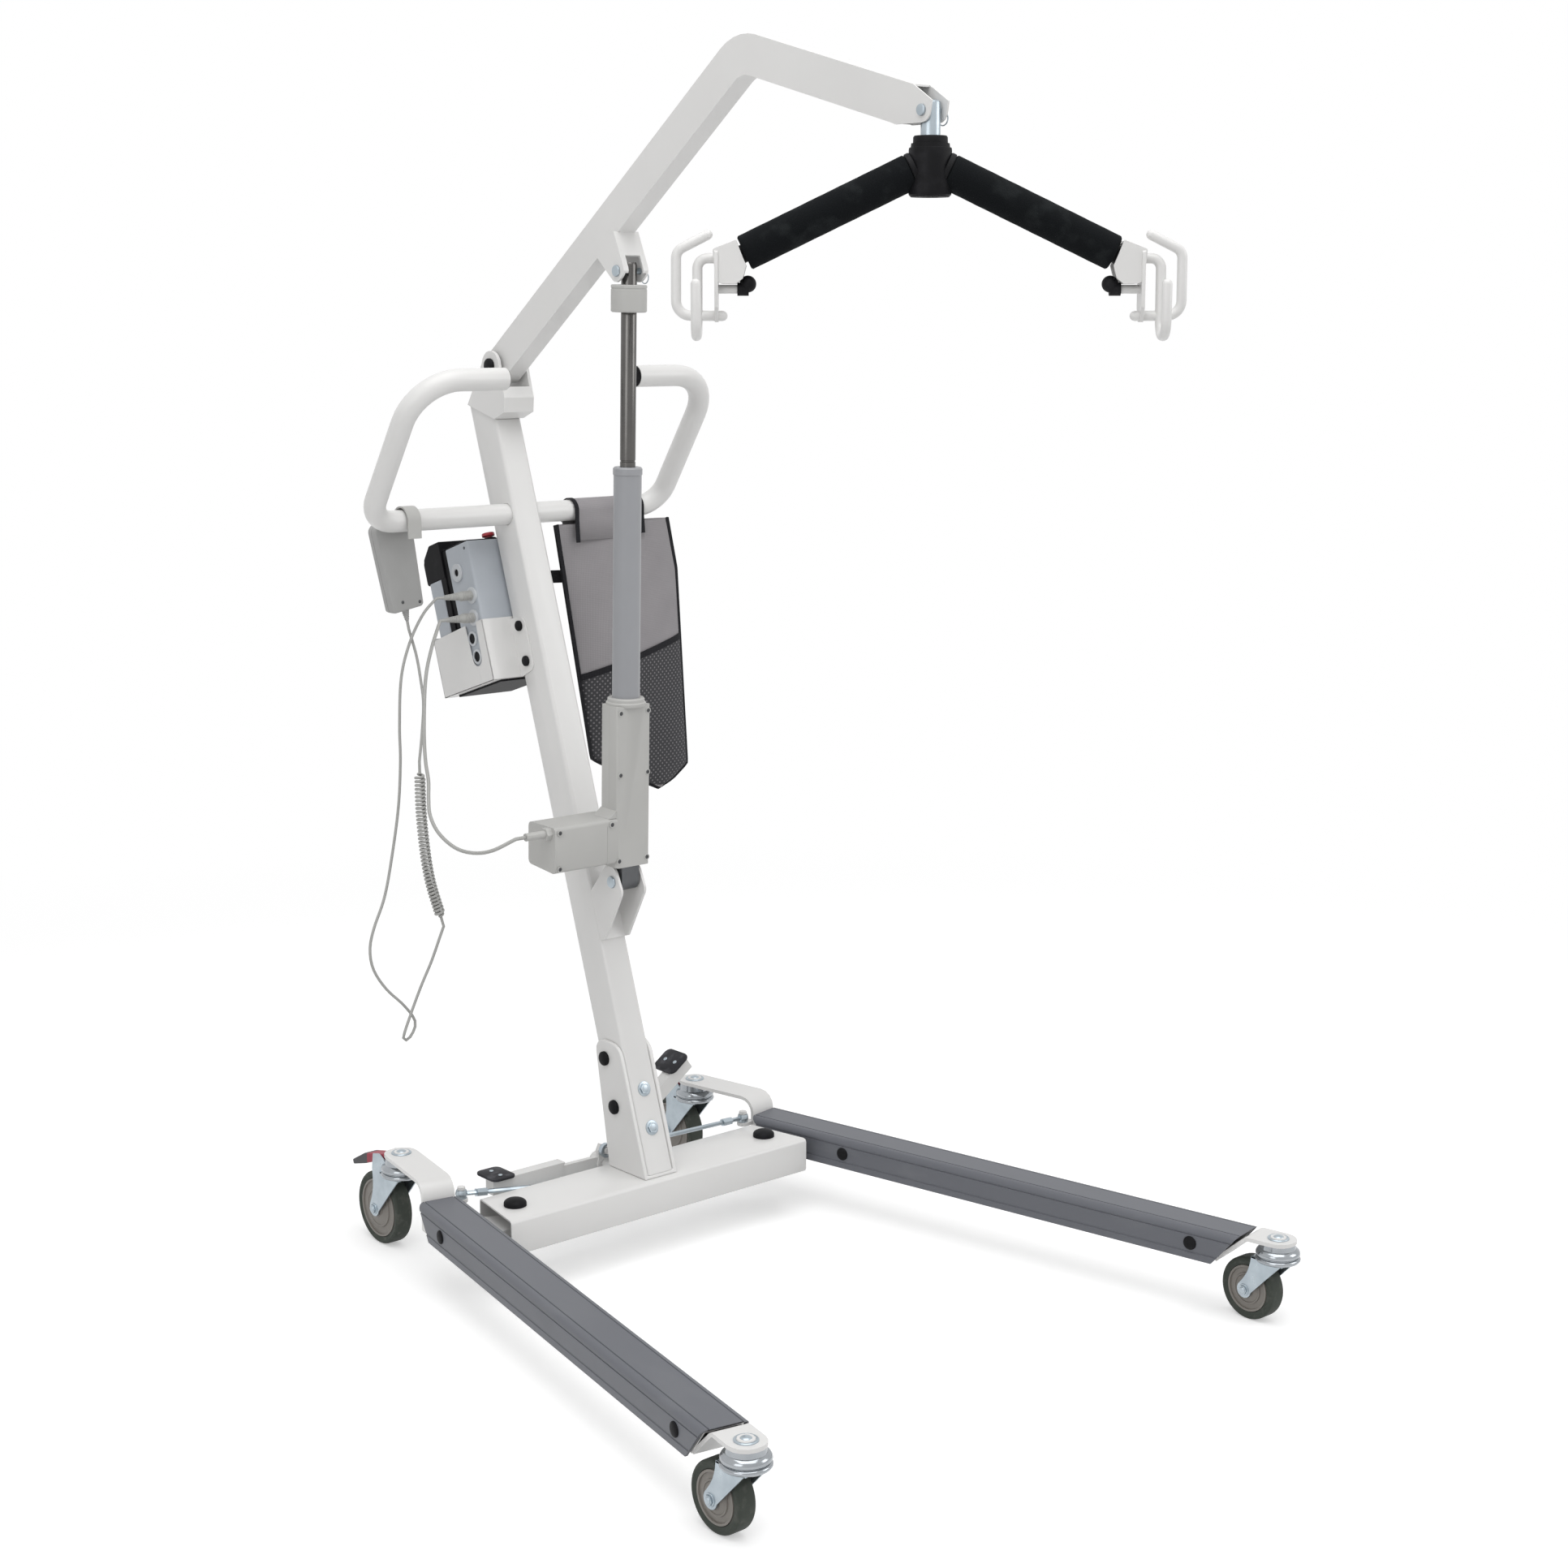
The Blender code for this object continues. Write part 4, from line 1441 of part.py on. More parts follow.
def end_frame(side, name):
    """Plates, C hook, J hook and peg at one end of the spreader."""
    place = frame(TIP, ARM_ALONG * side, UP, TO_FRONT)

    def at(out, below, front=0.0):
        return spreader_point(side, out, front, below)

    cheek = rounded([
        (0.2915, 0.2300, 0.010), (0.2960, 0.1838, 0.004), (0.2640, 0.1715, 0), (0.2500, 0.2060, 0),
        (0.2545, 0.2230, 0), (0.2640, 0.2305, 0)], 3)
    item = prism(name, [(u, -v) for u, v in cheek], -FRAME_HALF, FRAME_HALF, place)
    inner = FRAME_HALF - FRAME_WALL
    room_end = CROSS_PLATE_IN - SINK / 2
    room = box('frame_room', (room_end - THROUGH, room_end), (-CROSS_PLATE_LOW, THROUGH - CROSS_PLATE_LOW),
               (-inner, inner), place)
    cut(item, room)
    half, shoulder = CROSS_PLATE_HALF, CROSS_PLATE_HALF - 0.7 * (CROSS_PLATE_POINT - CROSS_PLATE_LOW)
    cross = prism('cross_plate', [
        (-half, -CROSS_PLATE_TOP), (half, -CROSS_PLATE_TOP), (half, -CROSS_PLATE_LOW),
        (shoulder, -CROSS_PLATE_POINT), (-shoulder, -CROSS_PLATE_POINT), (-half, -CROSS_PLATE_LOW)],
        CROSS_PLATE_IN, CROSS_PLATE_IN + CROSS_PLATE, frame(TIP, TO_FRONT, UP, ARM_ALONG * side))
    c_path = rounded([(*at(0.3100, 0.1675), 0), (*at(0.3462, 0.1862), 0.016), (*at(0.3468, 0.2730), 0.020),
                      (*at(0.2830, 0.2735), 0)], 3, closed=False)
    c_hook = rod('c_hook', c_path, HOOK_ROD, 2)
    j_path = rounded([(*at(0.2900, 0.1960, 0.002), 0), (*at(0.3170, 0.1960, 0.002), 0.014),
                      (*at(0.3175, 0.3000, 0.004), 0.022), (*at(0.3175, 0.3000, 0.060), 0.022),
                      (*at(0.3175, 0.2310, 0.062), 0)], 3, closed=False)
    j_hook = rod('j_hook', j_path, HOOK_ROD, 2)
    peg = cylinder('peg', PEG_RADIUS, at(CROSS_PLATE_IN + SINK, PEG_BELOW), at(PEG_IN, PEG_BELOW), 10)
    return paint(weld(item, cross, c_hook, j_hook, peg), WHITE)


def ball_cap(side, name):
    def at(out, below):
        return spreader_point(side, out, 0, below)

    item = cylinder(name, PEG_RADIUS + CAP_WALL, at(CAP_OUT, PEG_BELOW), at(CAP_IN, PEG_BELOW), 12)
    centre = at(*BALL_PLACE)
    steps = 5
    profile = []
    for step in range(steps):
        turn = -math.pi / 2 + math.pi * (step + 0.5) / steps
        profile.append((BALL_RADIUS * math.cos(turn), BALL_RADIUS * math.sin(turn)))
    ball = turned('ball', profile, frame(centre, X_AXIS, Y_AXIS, UP), 10)
    hole = bore('cap_hole', PEG_RADIUS, at(CAP_OUT + PAST, PEG_BELOW), at(PEG_IN - GAP, PEG_BELOW), 10)
    return paint(cut(weld(item, ball), hole), BLACK)


def pendant_frame():
    along = Vector((math.sin(PENDANT_TILT), 0, -math.cos(PENDANT_TILT)))
    across = Vector((math.cos(PENDANT_TILT), 0, math.sin(PENDANT_TILT)))
    back_face = HANDLE_BAR_Y + HANDLE_RADIUS + PENDANT_BEHIND
    return frame((PENDANT_X, back_face + PENDANT_THICKNESS / 2, PENDANT_Z), across, along, Y_AXIS)


def pendant_body():
    """Hand control with a hook over the lower handle bar and a strain relief below."""
    place = pendant_frame()
    half, thick = PENDANT_HEIGHT / 2, PENDANT_THICKNESS / 2
    wide, narrow = PENDANT_TOP_WIDTH / 2, PENDANT_LOW_WIDTH / 2
    outline = rounded([(-wide, -half, PENDANT_TOP_ROUND), (wide, -half, PENDANT_TOP_ROUND),
                       (narrow, half, PENDANT_LOW_ROUND), (-narrow, half, PENDANT_LOW_ROUND)], 4)
    item = prism('pendant_body', outline, -thick, thick, place)
    relief = turned('strain_relief', [
        (RELIEF_RADIUS, half - SINK), (RELIEF_RADIUS, half + RELIEF_SHOULDER),
        (RELIEF_TIP, half + RELIEF_LENGTH)],
        place @ frame((0, 0, 0), (1, 0, 0), (0, 0, 1), (0, 1, 0)), 12)
    hook_radius = HANDLE_RADIUS + HOOK_PLAY + HOOK_THICKNESS / 2
    root_y = place.translation.y - thick + HOOK_THICKNESS
    hook = [Vector((HANDLE_BAR_Y - hook_radius, HANDLE_BAR_Z - HOOK_DROP))]
    for y, z in arc((HANDLE_BAR_Y, HANDLE_BAR_Z), hook_radius, math.pi, 0.2, 6):
        hook.append(Vector((y, z)))
    hook += [Vector((root_y, HANDLE_BAR_Z - 3 * SINK)), Vector((root_y, HANDLE_BAR_Z - HOOK_ROOT))]
    strap_place = frame((PENDANT_X, 0, 0), Y_AXIS, X_AXIS, UP)
    hook_item = strap('pendant_hook', hook, HOOK_THICKNESS, HOOK_HALF_WIDTH, strap_place, 0)
    weld(item, relief, hook_item)
    room = BUTTON_SIZE / 2 + FIT
    for level in (UP_LEVEL, DOWN_LEVEL):
        cutter = box('button_pocket', (-room, room), (level - room, level + room),
                     (thick - BUTTON_POCKET, thick + PAST), place)
        cut(item, cutter)
    return paint(item, CORD_GREY)


def pendant_button(level, name):
    place = pendant_frame()
    thick = PENDANT_THICKNESS / 2
    corners = rectangle(BUTTON_SIZE / 2, level - BUTTON_SIZE / 2, level + BUTTON_SIZE / 2, BUTTON_CORNER, 2)
    low = thick - BUTTON_POCKET + BUTTON_TRAVEL + GAP
    return paint(prism(name, corners, low, thick + BUTTON_PROUD, place), BLACK)


def pendant_relief_end():
    return pendant_frame() @ Vector((0, PENDANT_HEIGHT / 2 + RELIEF_LENGTH, 0))


def coil_ends():
    """Where the curly part of the pendant cord begins and ends."""
    return Vector((-0.2245, 0.306, 0.801)), Vector((-0.1890, 0.306, 0.540))


def coil_path():
    """One unbroken helix along a slightly bowed axis, with straight ends on that axis."""
    top, low = coil_ends()
    lead_in = 4 * LEAD_RADIUS
    axis_points = [top, Vector((-0.2230, 0.306, 0.715)), Vector((-0.2120, 0.306, 0.620)), low]
    axis = smooth_route(axis_points, 0.002)
    per_turn = 8
    total = COIL_TURNS * per_turn
    length = (low - top).length
    points = [top]
    for index in range(total + 1):
        share = index / total
        down = lead_in + share * (length - 2 * lead_in)
        place = down / length * (len(axis) - 1)
        lower = min(int(place), len(axis) - 2)
        centre = axis[lower].lerp(axis[lower + 1], place - lower)
        along = (axis[lower + 1] - axis[lower]).normalized()
        side = along.cross(Y_AXIS).normalized()
        depth = along.cross(side)
        ease = min(1, index / per_turn, (total - index) / per_turn)
        radius = COIL_RADIUS * math.sin(ease * math.pi / 2)
        turn = 2 * math.pi * index / per_turn
        points.append(centre + (side * math.cos(turn) + depth * math.sin(turn)) * radius)
    points.append(low)
    return points


def least_gap(path, radius, skip):
    """Least distance between a tube's surfaces, points closer along it than skip left out."""
    least = 1.0
    for index, point in enumerate(path):
        for other in path[index + skip:]:
            least = min(least, (point - other).length - 2 * radius)
    return least


def lead(route, spacing):
    """Smooth path of a cord whose first and last stretch stay straight."""
    return [Vector(route[0])] + smooth_route(route[1:-1], spacing) + [Vector(route[-1])]


def upper_lead_route():
    start = pendant_relief_end()
    along = (pendant_frame().to_3x3() @ Vector((0, 1, 0))).normalized()
    top, low = coil_ends()
    return [
        start + along * GAP, start + along * 0.014, Vector((-0.1945, 0.354, 0.985)),
        Vector((-0.1945, 0.343, 0.947)), Vector((-0.1995, 0.328, 0.907)), Vector((-0.2125, 0.315, 0.857)),
        top + UP * 0.014, top + UP * GAP]


def lower_lead_route():
    plug_end = socket_place(PENDANT_PLUG) - X_AXIS * (PLUG_LENGTH + 2 * GAP)
    top, low = coil_ends()
    away = (low - Vector((-0.2120, 0.306, 0.620))).normalized()
    return [
        low + away * GAP, low + away * 0.013,
        Vector((-0.1950, 0.306, 0.507)), Vector((-0.2105, 0.308, 0.470)),
        Vector((-0.2300, 0.310, 0.432)), Vector((-0.2500, 0.312, 0.388)), Vector((-0.2660, 0.314, 0.346)),
        Vector((-0.2520, 0.317, 0.343)), Vector((-0.2370, 0.321, 0.366)), Vector((-0.2530, 0.328, 0.396)),
        Vector((-0.2840, 0.334, 0.430)), Vector((-0.3050, 0.338, 0.466)), Vector((-0.3090, 0.341, 0.501)),
        Vector((-0.2990, 0.343, 0.535)), Vector((-0.2750, 0.346, 0.584)), Vector((-0.2570, 0.348, 0.650)),
        Vector((-0.2400, 0.350, 0.734)), Vector((-0.2330, 0.351, 0.810)), Vector((-0.2320, 0.352, 0.870)),
        Vector((-0.2260, 0.352, 0.950)), Vector((-0.2070, 0.352, 1.008)), Vector((-0.1800, 0.352, 1.052)),
        plug_end - X_AXIS * 0.015, plug_end]


def motor_cord_route():
    plug_end = socket_place(MOTOR_PLUG) - X_AXIS * (PLUG_LENGTH + 2 * GAP)
    gland = ACTUATOR @ Vector((-MOTOR_LEFT - GLAND_LENGTH - GAP, -GLAND_AHEAD, GLAND_UP))
    return [
        plug_end, plug_end - X_AXIS * 0.012,
        Vector((-0.1770, 0.334, 0.996)), Vector((-0.2025, 0.315, 0.948)),
        Vector((-0.2240, 0.290, 0.873)), Vector((-0.2345, 0.272, 0.823)), Vector((-0.2400, 0.256, 0.791)),
        Vector((-0.2510, 0.240, 0.765)), Vector((-0.2630, 0.218, 0.742)), Vector((-0.2690, 0.185, 0.719)),
        Vector((-0.2680, 0.140, 0.702)), Vector((-0.2640, 0.095, 0.700)), Vector((-0.2520, 0.058, 0.708)),
        gland - X_AXIS * 0.018, gland]


def bag_outline(inset):
    """Outline of the bag in (x, z), each side drawn in by an inset."""
    outer, top = BAG_INNER + BAG_WIDTH, HANDLE_BAR_Z - BAG_BELOW
    corners = [
        Vector((BAG_INNER, top)), Vector((outer, top)), Vector((outer + BAG_BULGE, top - BAG_BULGE_DROP)),
        Vector((outer + BAG_FLARE, top - BAG_OUTER_DROP)), Vector((outer - BAG_TOE, top - BAG_DROP)),
        Vector((BAG_INNER + BAG_HEEL, top - BAG_HEEL_DROP))]
    result = []
    for index, corner in enumerate(corners):
        before = (corner - corners[index - 1]).normalized()
        after = (corners[(index + 1) % len(corners)] - corner).normalized()
        bisector = (after - before).normalized()
        result.append(corner + bisector * inset / abs(before.cross(bisector)))
    return result


def storage_bag():
    """Flat cloth bag with an open mouth, hung from the lower handle bar by a broad flap."""
    top = HANDLE_BAR_Z - BAG_BELOW
    front, back = HANDLE_BAR_Y - BAG_FRONT, HANDLE_BAR_Y + BAG_BACK
    radii = (0.006, 0.006, 0.05, 0.020, 0.03, 0.015)
    outline = rounded([(*point, radius) for point, radius in zip(bag_outline(0), radii)], 2)
    item = prism('storage_bag', outline, front, back, FACING)
    inner = bag_outline(BAG_SEAM)
    mouth_rise = Vector((0, BAG_SEAM + BAG_WIDTH / 4))
    inside = [inner[0] + mouth_rise, inner[1] + mouth_rise] + inner[1:] + inner[:1]
    mouth = prism('bag_mouth', inside, front + BAG_WALL, back - BAG_WALL, FACING)
    cut(item, mouth)
    half = BAG_FLAP / 2
    radius = HANDLE_RADIUS + BAG_FLAP
    low, high = top - BAG_SEAM, top + 2 * BAG_FLAP
    loop = [Vector((front + half, low)), Vector((front + half, high))]
    for y, z in arc((HANDLE_BAR_Y, HANDLE_BAR_Z), radius, math.pi, 0, 6):
        loop.append(Vector((y, z)))
    loop += [Vector((back - half, high)), Vector((back - half, low))]
    place = frame((BAG_INNER + FLAP_INNER + FLAP_WIDTH / 2, 0, 0), Y_AXIS, X_AXIS, UP)
    return paint(weld(item, strap('bag_flap', loop, BAG_FLAP, FLAP_WIDTH / 2, place, 0)), CLOTH)


def cords():
    upper = lead(upper_lead_route(), 0.012)
    lower = lead(lower_lead_route(), 0.0144)
    motor = lead(motor_cord_route(), 0.0180)
    coil = coil_path()
    paint(cord('pendant_lead_upper', upper, LEAD_RADIUS, 2), CORD_GREY)
    paint(cord('pendant_coil', coil, LEAD_RADIUS, 1), CORD_GREY)
    paint(cord('pendant_lead_lower', lower, LEAD_RADIUS, 2), CORD_GREY)
    paint(cord('motor_cord', motor, MOTOR_CORD_RADIUS, 2), CORD_LIGHT)
    for label, path in (('upper lead', upper), ('coil', coil), ('lower lead', lower), ('motor cord', motor)):
        length = sum((b - a).length for a, b in zip(path, path[1:]))
        print(label, 'length', round(length, 4), 'points', len(path))
    print('least gap of the coil to itself', round(least_gap(coil, LEAD_RADIUS, 5), 5))


def build():
    clear_scene()
    crossbar()
    pivot_bolt(1, 'pivot_bolt_left')
    pivot_bolt(-1, 'pivot_bolt_right')
    mast_foot()
    mast_tube()
    mast_head()
    boom_bolt()
    handle_bar()
    control_tray()
    control_box()
    ringed_pin('lower_pin', LOWER_PIN, ACTUATOR_PIN_RADIUS, CLEVIS_INNER + CLEVIS_WALL, LOWER_PIN_HEAD)
    plug(PENDANT_PLUG, 'pendant_plug')
    plug(MOTOR_PLUG, 'motor_plug')
    pendant_body()
    storage_bag()
    cords()

    for side, word in ((1, 'left'), (-1, 'right')):
        swing = joint('leg_' + word + '_joint', (side * PIVOT_X, 0, LEVER_BOTTOM))
        carry(swing, leg(side, 'leg_' + word), leg_cover(side, 'leg_cover_' + word))
        caster(side, 0, FRONT_WHEEL_RADIUS, FRONT_TRAIL, FRONT_ARM_TOP - ARM_THICKNESS, False,
               'front_caster_' + word, swing)
        caster(side, WHEELBASE, REAR_WHEEL_RADIUS, REAR_TRAIL, REAR_ARM_TOP - ARM_THICKNESS, True,
               'rear_caster_' + word, swing)
        lug = lug_pin(side)
        tie = joint('tie_rod_' + word + '_joint', (lug.x, lug.y, LUG_BOTTOM + LUG_THICKNESS), swing)
        carry(tie, tie_rod(side, 'tie_rod_' + word))

    rocking = joint('rocker_joint', (0, ROCKER_FRONT, ROCKER_Z))
    carry(rocking, rocker(), pedal_pad(1, 'pedal_pad_left'), pedal_pad(-1, 'pedal_pad_right'))

    boom_joint = joint('boom_joint', HEAD)
    bracket_half = BRACKET_INNER + BRACKET_WALL
    carry(boom_joint, boom(), ringed_pin('rod_pin', ROD_PIN, ROD_PIN_RADIUS, bracket_half, ROD_PIN_HEAD),
          ringed_pin('tip_pin', TIP, HANGER_PIN_RADIUS, BOOM_WIDTH / 2, TIP_PIN_HEAD))
    hanger = joint('hanger_joint', TIP, boom_joint)
    carry(hanger, hanger_post())
    swivel = joint('spreader_joint', (TIP.x, TIP.y, TIP.z - SPREADER_DROP), hanger)
    carry(swivel, spreader_hub())
    for side, word in ((1, 'left'), (-1, 'right')):
        carry(swivel, foam_sleeve(side, 'foam_' + word), end_frame(side, 'end_frame_' + word),
              ball_cap(side, 'ball_cap_' + word))

    tilt = joint('actuator_joint', LOWER_PIN)
    carry(tilt, actuator_body(), actuator_tube())
    stroke = joint('piston_joint', LOWER_PIN + ACTUATOR_UP * TUBE_TOP, tilt)
    carry(stroke, piston_rod())

    lift = joint('battery_joint', MAST @ Vector((0, BATTERY_FRONT, TRAY_BOTTOM)))
    carry(lift, battery_pack())
    press = joint('estop_joint', ESTOP_PLACE)
    carry(press, estop_button())
    for level, word in ((UP_LEVEL, 'up'), (DOWN_LEVEL, 'down')):
        middle = pendant_frame() @ Vector((0, level, PENDANT_THICKNESS / 2))
        push = joint('button_' + word + '_joint', middle)
        carry(push, pendant_button(level, 'button_' + word))


build()
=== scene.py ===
import json
import math

import bmesh
import bpy
from mathutils import Matrix, Vector

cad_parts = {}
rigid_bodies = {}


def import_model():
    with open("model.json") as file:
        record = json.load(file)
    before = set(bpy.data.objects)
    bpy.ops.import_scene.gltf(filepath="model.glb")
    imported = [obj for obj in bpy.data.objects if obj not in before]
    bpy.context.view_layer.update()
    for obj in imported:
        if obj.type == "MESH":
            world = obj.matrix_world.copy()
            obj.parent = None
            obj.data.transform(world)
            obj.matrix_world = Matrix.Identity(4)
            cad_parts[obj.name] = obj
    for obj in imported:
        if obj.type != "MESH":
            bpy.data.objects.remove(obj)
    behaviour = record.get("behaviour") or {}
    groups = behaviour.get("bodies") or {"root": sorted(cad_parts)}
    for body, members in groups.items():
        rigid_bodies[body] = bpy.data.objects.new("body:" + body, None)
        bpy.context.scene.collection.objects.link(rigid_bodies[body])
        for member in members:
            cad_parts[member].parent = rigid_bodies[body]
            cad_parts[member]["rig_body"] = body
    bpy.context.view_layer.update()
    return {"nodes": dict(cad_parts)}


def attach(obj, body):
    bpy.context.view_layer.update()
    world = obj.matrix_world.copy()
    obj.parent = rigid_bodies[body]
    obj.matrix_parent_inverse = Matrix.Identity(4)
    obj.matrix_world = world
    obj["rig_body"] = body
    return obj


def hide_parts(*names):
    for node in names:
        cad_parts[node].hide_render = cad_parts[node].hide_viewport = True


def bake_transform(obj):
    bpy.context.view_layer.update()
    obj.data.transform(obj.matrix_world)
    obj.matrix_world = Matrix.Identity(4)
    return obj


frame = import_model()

# The camera that the photograph's perspective gives: about four metres off, at the right front
# corner, a little above the handle's height.
camera_place = (-2.4463, -3.1804, 1.5505)
camera_tilt = 0.187
camera_turn = -0.7139
camera_lens = 57.63
camera_sensor = 36.0
camera_reach = 200


def added(name, data):
    """New object in the scene."""
    made = bpy.data.objects.new(name, data)
    scene.collection.objects.link(made)
    return made


scene = bpy.context.scene
camera = added("camera", bpy.data.cameras.new("camera"))
camera.location = camera_place
camera.rotation_euler = (math.pi / 2 - camera_tilt, 0, camera_turn)
camera.data.lens = camera_lens
camera.data.sensor_width = camera_sensor
camera.data.clip_end = camera_reach
scene.camera = camera
scene.view_settings.view_transform = "Standard"


# The two cords are round grey PVC leads. One runs from the hand control down into a curly part, on
# to a long loop and up to its plug. The other runs from its plug to the motor. Both hang free.
coil_top = Vector((-0.2245, 0.306, 0.801))
coil_middle = Vector((-0.212, 0.306, 0.62))
coil_low = Vector((-0.189, 0.306, 0.54))
coil_turns = 40
coil_steps = 14
coil_radius = 0.0071
easing_turns = 1.5
lead_radius = 0.0024
lead_in = 1.5 * lead_radius
motor_cord_radius = 0.003
mast_lean = 0.3143
mast_up = Vector((0, math.sin(mast_lean), math.cos(mast_lean)))
mast_back = Vector((0, math.cos(mast_lean), -math.sin(mast_lean)))
mast_foot_line = Vector((0, -0.0914, 0))
up = Vector((0, 0, 1))
along_x = Vector((1, 0, 0))
along_y = Vector((0, 1, 0))


def on_mast(x, back, height):
    """Point in the leaning mast's own directions, from where its front face meets the floor."""
    return mast_foot_line + along_x * x + mast_back * back + mast_up * height


class Shade:
    """A value, colour or vector on its way through a material. Plain sums and products add Math nodes."""

    def __init__(self, tree, socket=None):
        self.tree = tree
        self.socket = socket

    def node(self, kind, settings, values, out=0):
        made = self.tree.nodes.new("ShaderNode" + kind)
        for name, value in settings.items():
            setattr(made, name, value)
        for name, value in values.items():
            if isinstance(value, Shade):
                self.tree.links.new(value.socket, made.inputs[name])
            else:
                made.inputs[name].default_value = value
        return Shade(self.tree, made.outputs[out] if made.outputs else None)

    def maths(self, operation, *values):
        return self.node("Math", {"operation": operation}, dict(enumerate(values)))

    def __add__(self, other):
        return self.maths("ADD", self, other)

    def __rsub__(self, other):
        return self.maths("SUBTRACT", other, self)

    def __mul__(self, other):
        return self.maths("MULTIPLY", self, other)

    __radd__, __rmul__ = __add__, __mul__


def finish_of(name, slot, look):
    """Material whose look gives its sockets from the place on the piece, in metres."""
    material = bpy.data.materials.new(name)
    material.use_nodes = True
    material["slot"] = slot
    shader = material.node_tree.nodes["Principled BSDF"]
    point = Shade(material.node_tree).node("TexCoord", {}, {}, "Object")
    for socket, value in look(point).items():
        if isinstance(value, Shade):
            material.node_tree.links.new(value.socket, shader.inputs[socket])
        else:
            shader.inputs[socket].default_value = value
    return material


def grain(point, scale, detail=3.0, stretch=(1, 1, 1)):
    """Noise from 0 to 1 whose features are 1 / scale metres across."""
    stretched = point.node("VectorMath", {"operation": "MULTIPLY"}, {0: point, 1: stretch})
    return point.node("TexNoise", {}, {"Vector": stretched, "Scale": scale, "Detail": detail})


def between(value, low, high):
    """0 below low, 1 above high."""
    return value.node("MapRange", {"interpolation_type": "SMOOTHSTEP"}, {"Value": value, "From Min": low,
        "From Max": high})


def mixed(amount, first, second):
    """Colour from the first to the second, each a colour or a Shade."""
    first, second = (colour if isinstance(colour, Shade) else (*colour, 1) for colour in (first, second))
    return amount.node("Mix", {"data_type": "RGBA"}, {0: amount, 6: first, 7: second}, 2)


def relief(height, depth):
    return height.node("Bump", {}, {"Height": height, "Distance": depth})


def mottled(name, slot, colours, patch, fine, rough, depth=0, fixed={}, worn=None, hazy=False):
    """Finish that goes in patches from one colour to another and has a fine grain in its relief.

    Patch and fine are the scale and detail of a noise. The roughness is rough[0], and up to rough[1]
    more with the grain, or with the patches where it is hazy. Worn patches have sharper edges.
    """
    def look(point):
        patches, grit = grain(point, *patch), grain(point, *fine)
        if worn:
            patches = between(patches, *worn)
        sockets = {"Base Color": mixed(patches, *colours), "Roughness": rough[0] +
            (patches if hazy else grit) * rough[1], **fixed}
        if depth:
            sockets["Normal"] = relief(grit, depth)
        return sockets

    return finish_of(name, slot, look)


pvc = (((0.42, 0.42, 0.405), (0.35, 0.35, 0.337)), (60, 4), (900, 2), (0.42, 0.14), 0.00005)
cord_grey = mottled("cord_pvc", "cord", *pvc)
cord_pale = mottled("motor_cord_pvc", "cord_light", *pvc)


def route_through(points, spacing):
    """Evenly spaced points on a smooth line through the points of a route."""
    points = [Vector(p) for p in points]
    ends = [2 * points[0] - points[1]] + points + [2 * points[-1] - points[-2]]
    fine = []
    for p0, p1, p2, p3 in zip(ends, ends[1:], ends[2:], ends[3:]):
        for step in range(24):
            t = step / 24
            bend = (2 * p0 - 5 * p1 + 4 * p2 - p3) * t * t + (3 * p1 - p0 - 3 * p2 + p3) * t ** 3
            fine.append((2 * p1 + (p2 - p0) * t + bend) / 2)
    fine.append(points[-1])
    lengths = [0.0]
    for a, b in zip(fine, fine[1:]):
        lengths.append(lengths[-1] + (b - a).length)
    count = max(2, round(lengths[-1] / spacing))
    result, place = [], 0
    for step in range(count + 1):
        target = lengths[-1] * step / count
        while place < len(fine) - 2 and lengths[place + 1] < target:
            place += 1
        share = (target - lengths[place]) / (lengths[place + 1] - lengths[place])
        result.append(fine[place].lerp(fine[place + 1], share))
    return result


def lead_through(points, spacing):
    return [Vector(points[0])] + route_through(points[1:-1], spacing) + [Vector(points[-1])]


def length_of(path):
    return sum((b - a).length for a, b in zip(path, path[1:]))


hand_tilt = 0.18
hand_down = Vector((math.sin(hand_tilt), 0, -math.cos(hand_tilt)))
hand_across = Vector((math.cos(hand_tilt), 0, math.sin(hand_tilt)))
hand_middle = Vector((-0.222, 0.362, 1.135))
sleeve_end = 0.095
hand_end = hand_middle + hand_down * sleeve_end
upper_lead = lead_through([hand_end, hand_end + hand_down * 0.014, (-0.1945, 0.354, 0.985),
    (-0.1945, 0.343, 0.947), (-0.1995, 0.328, 0.907), (-0.2125, 0.315, 0.857), coil_top + up * 0.014,
    coil_top], 0.01)

coil_axis = route_through([coil_top, (-0.223, 0.306, 0.715), coil_middle, coil_low], 0.002)
coil_drop = (coil_low - coil_top).length
curl_count = coil_turns * coil_steps
curls = []
for index in range(curl_count + 1):
    down = lead_in + index / curl_count * (coil_drop - 2 * lead_in)
    place = down / coil_drop * (len(coil_axis) - 1)
    lower = min(int(place), len(coil_axis) - 2)
    centre = coil_axis[lower].lerp(coil_axis[lower + 1], place - lower)
    along = (coil_axis[lower + 1] - coil_axis[lower]).normalized()
    side = along.cross(along_y).normalized()
    ease = min(1, index / coil_steps / easing_turns, (curl_count - index) / coil_steps / easing_turns)
    reach = coil_radius * math.sin(ease * math.pi / 2) ** 2
    turn = 2 * math.pi * index / coil_steps
    curls.append(centre + (side * math.cos(turn) + along.cross(side) * math.sin(turn)) * reach)

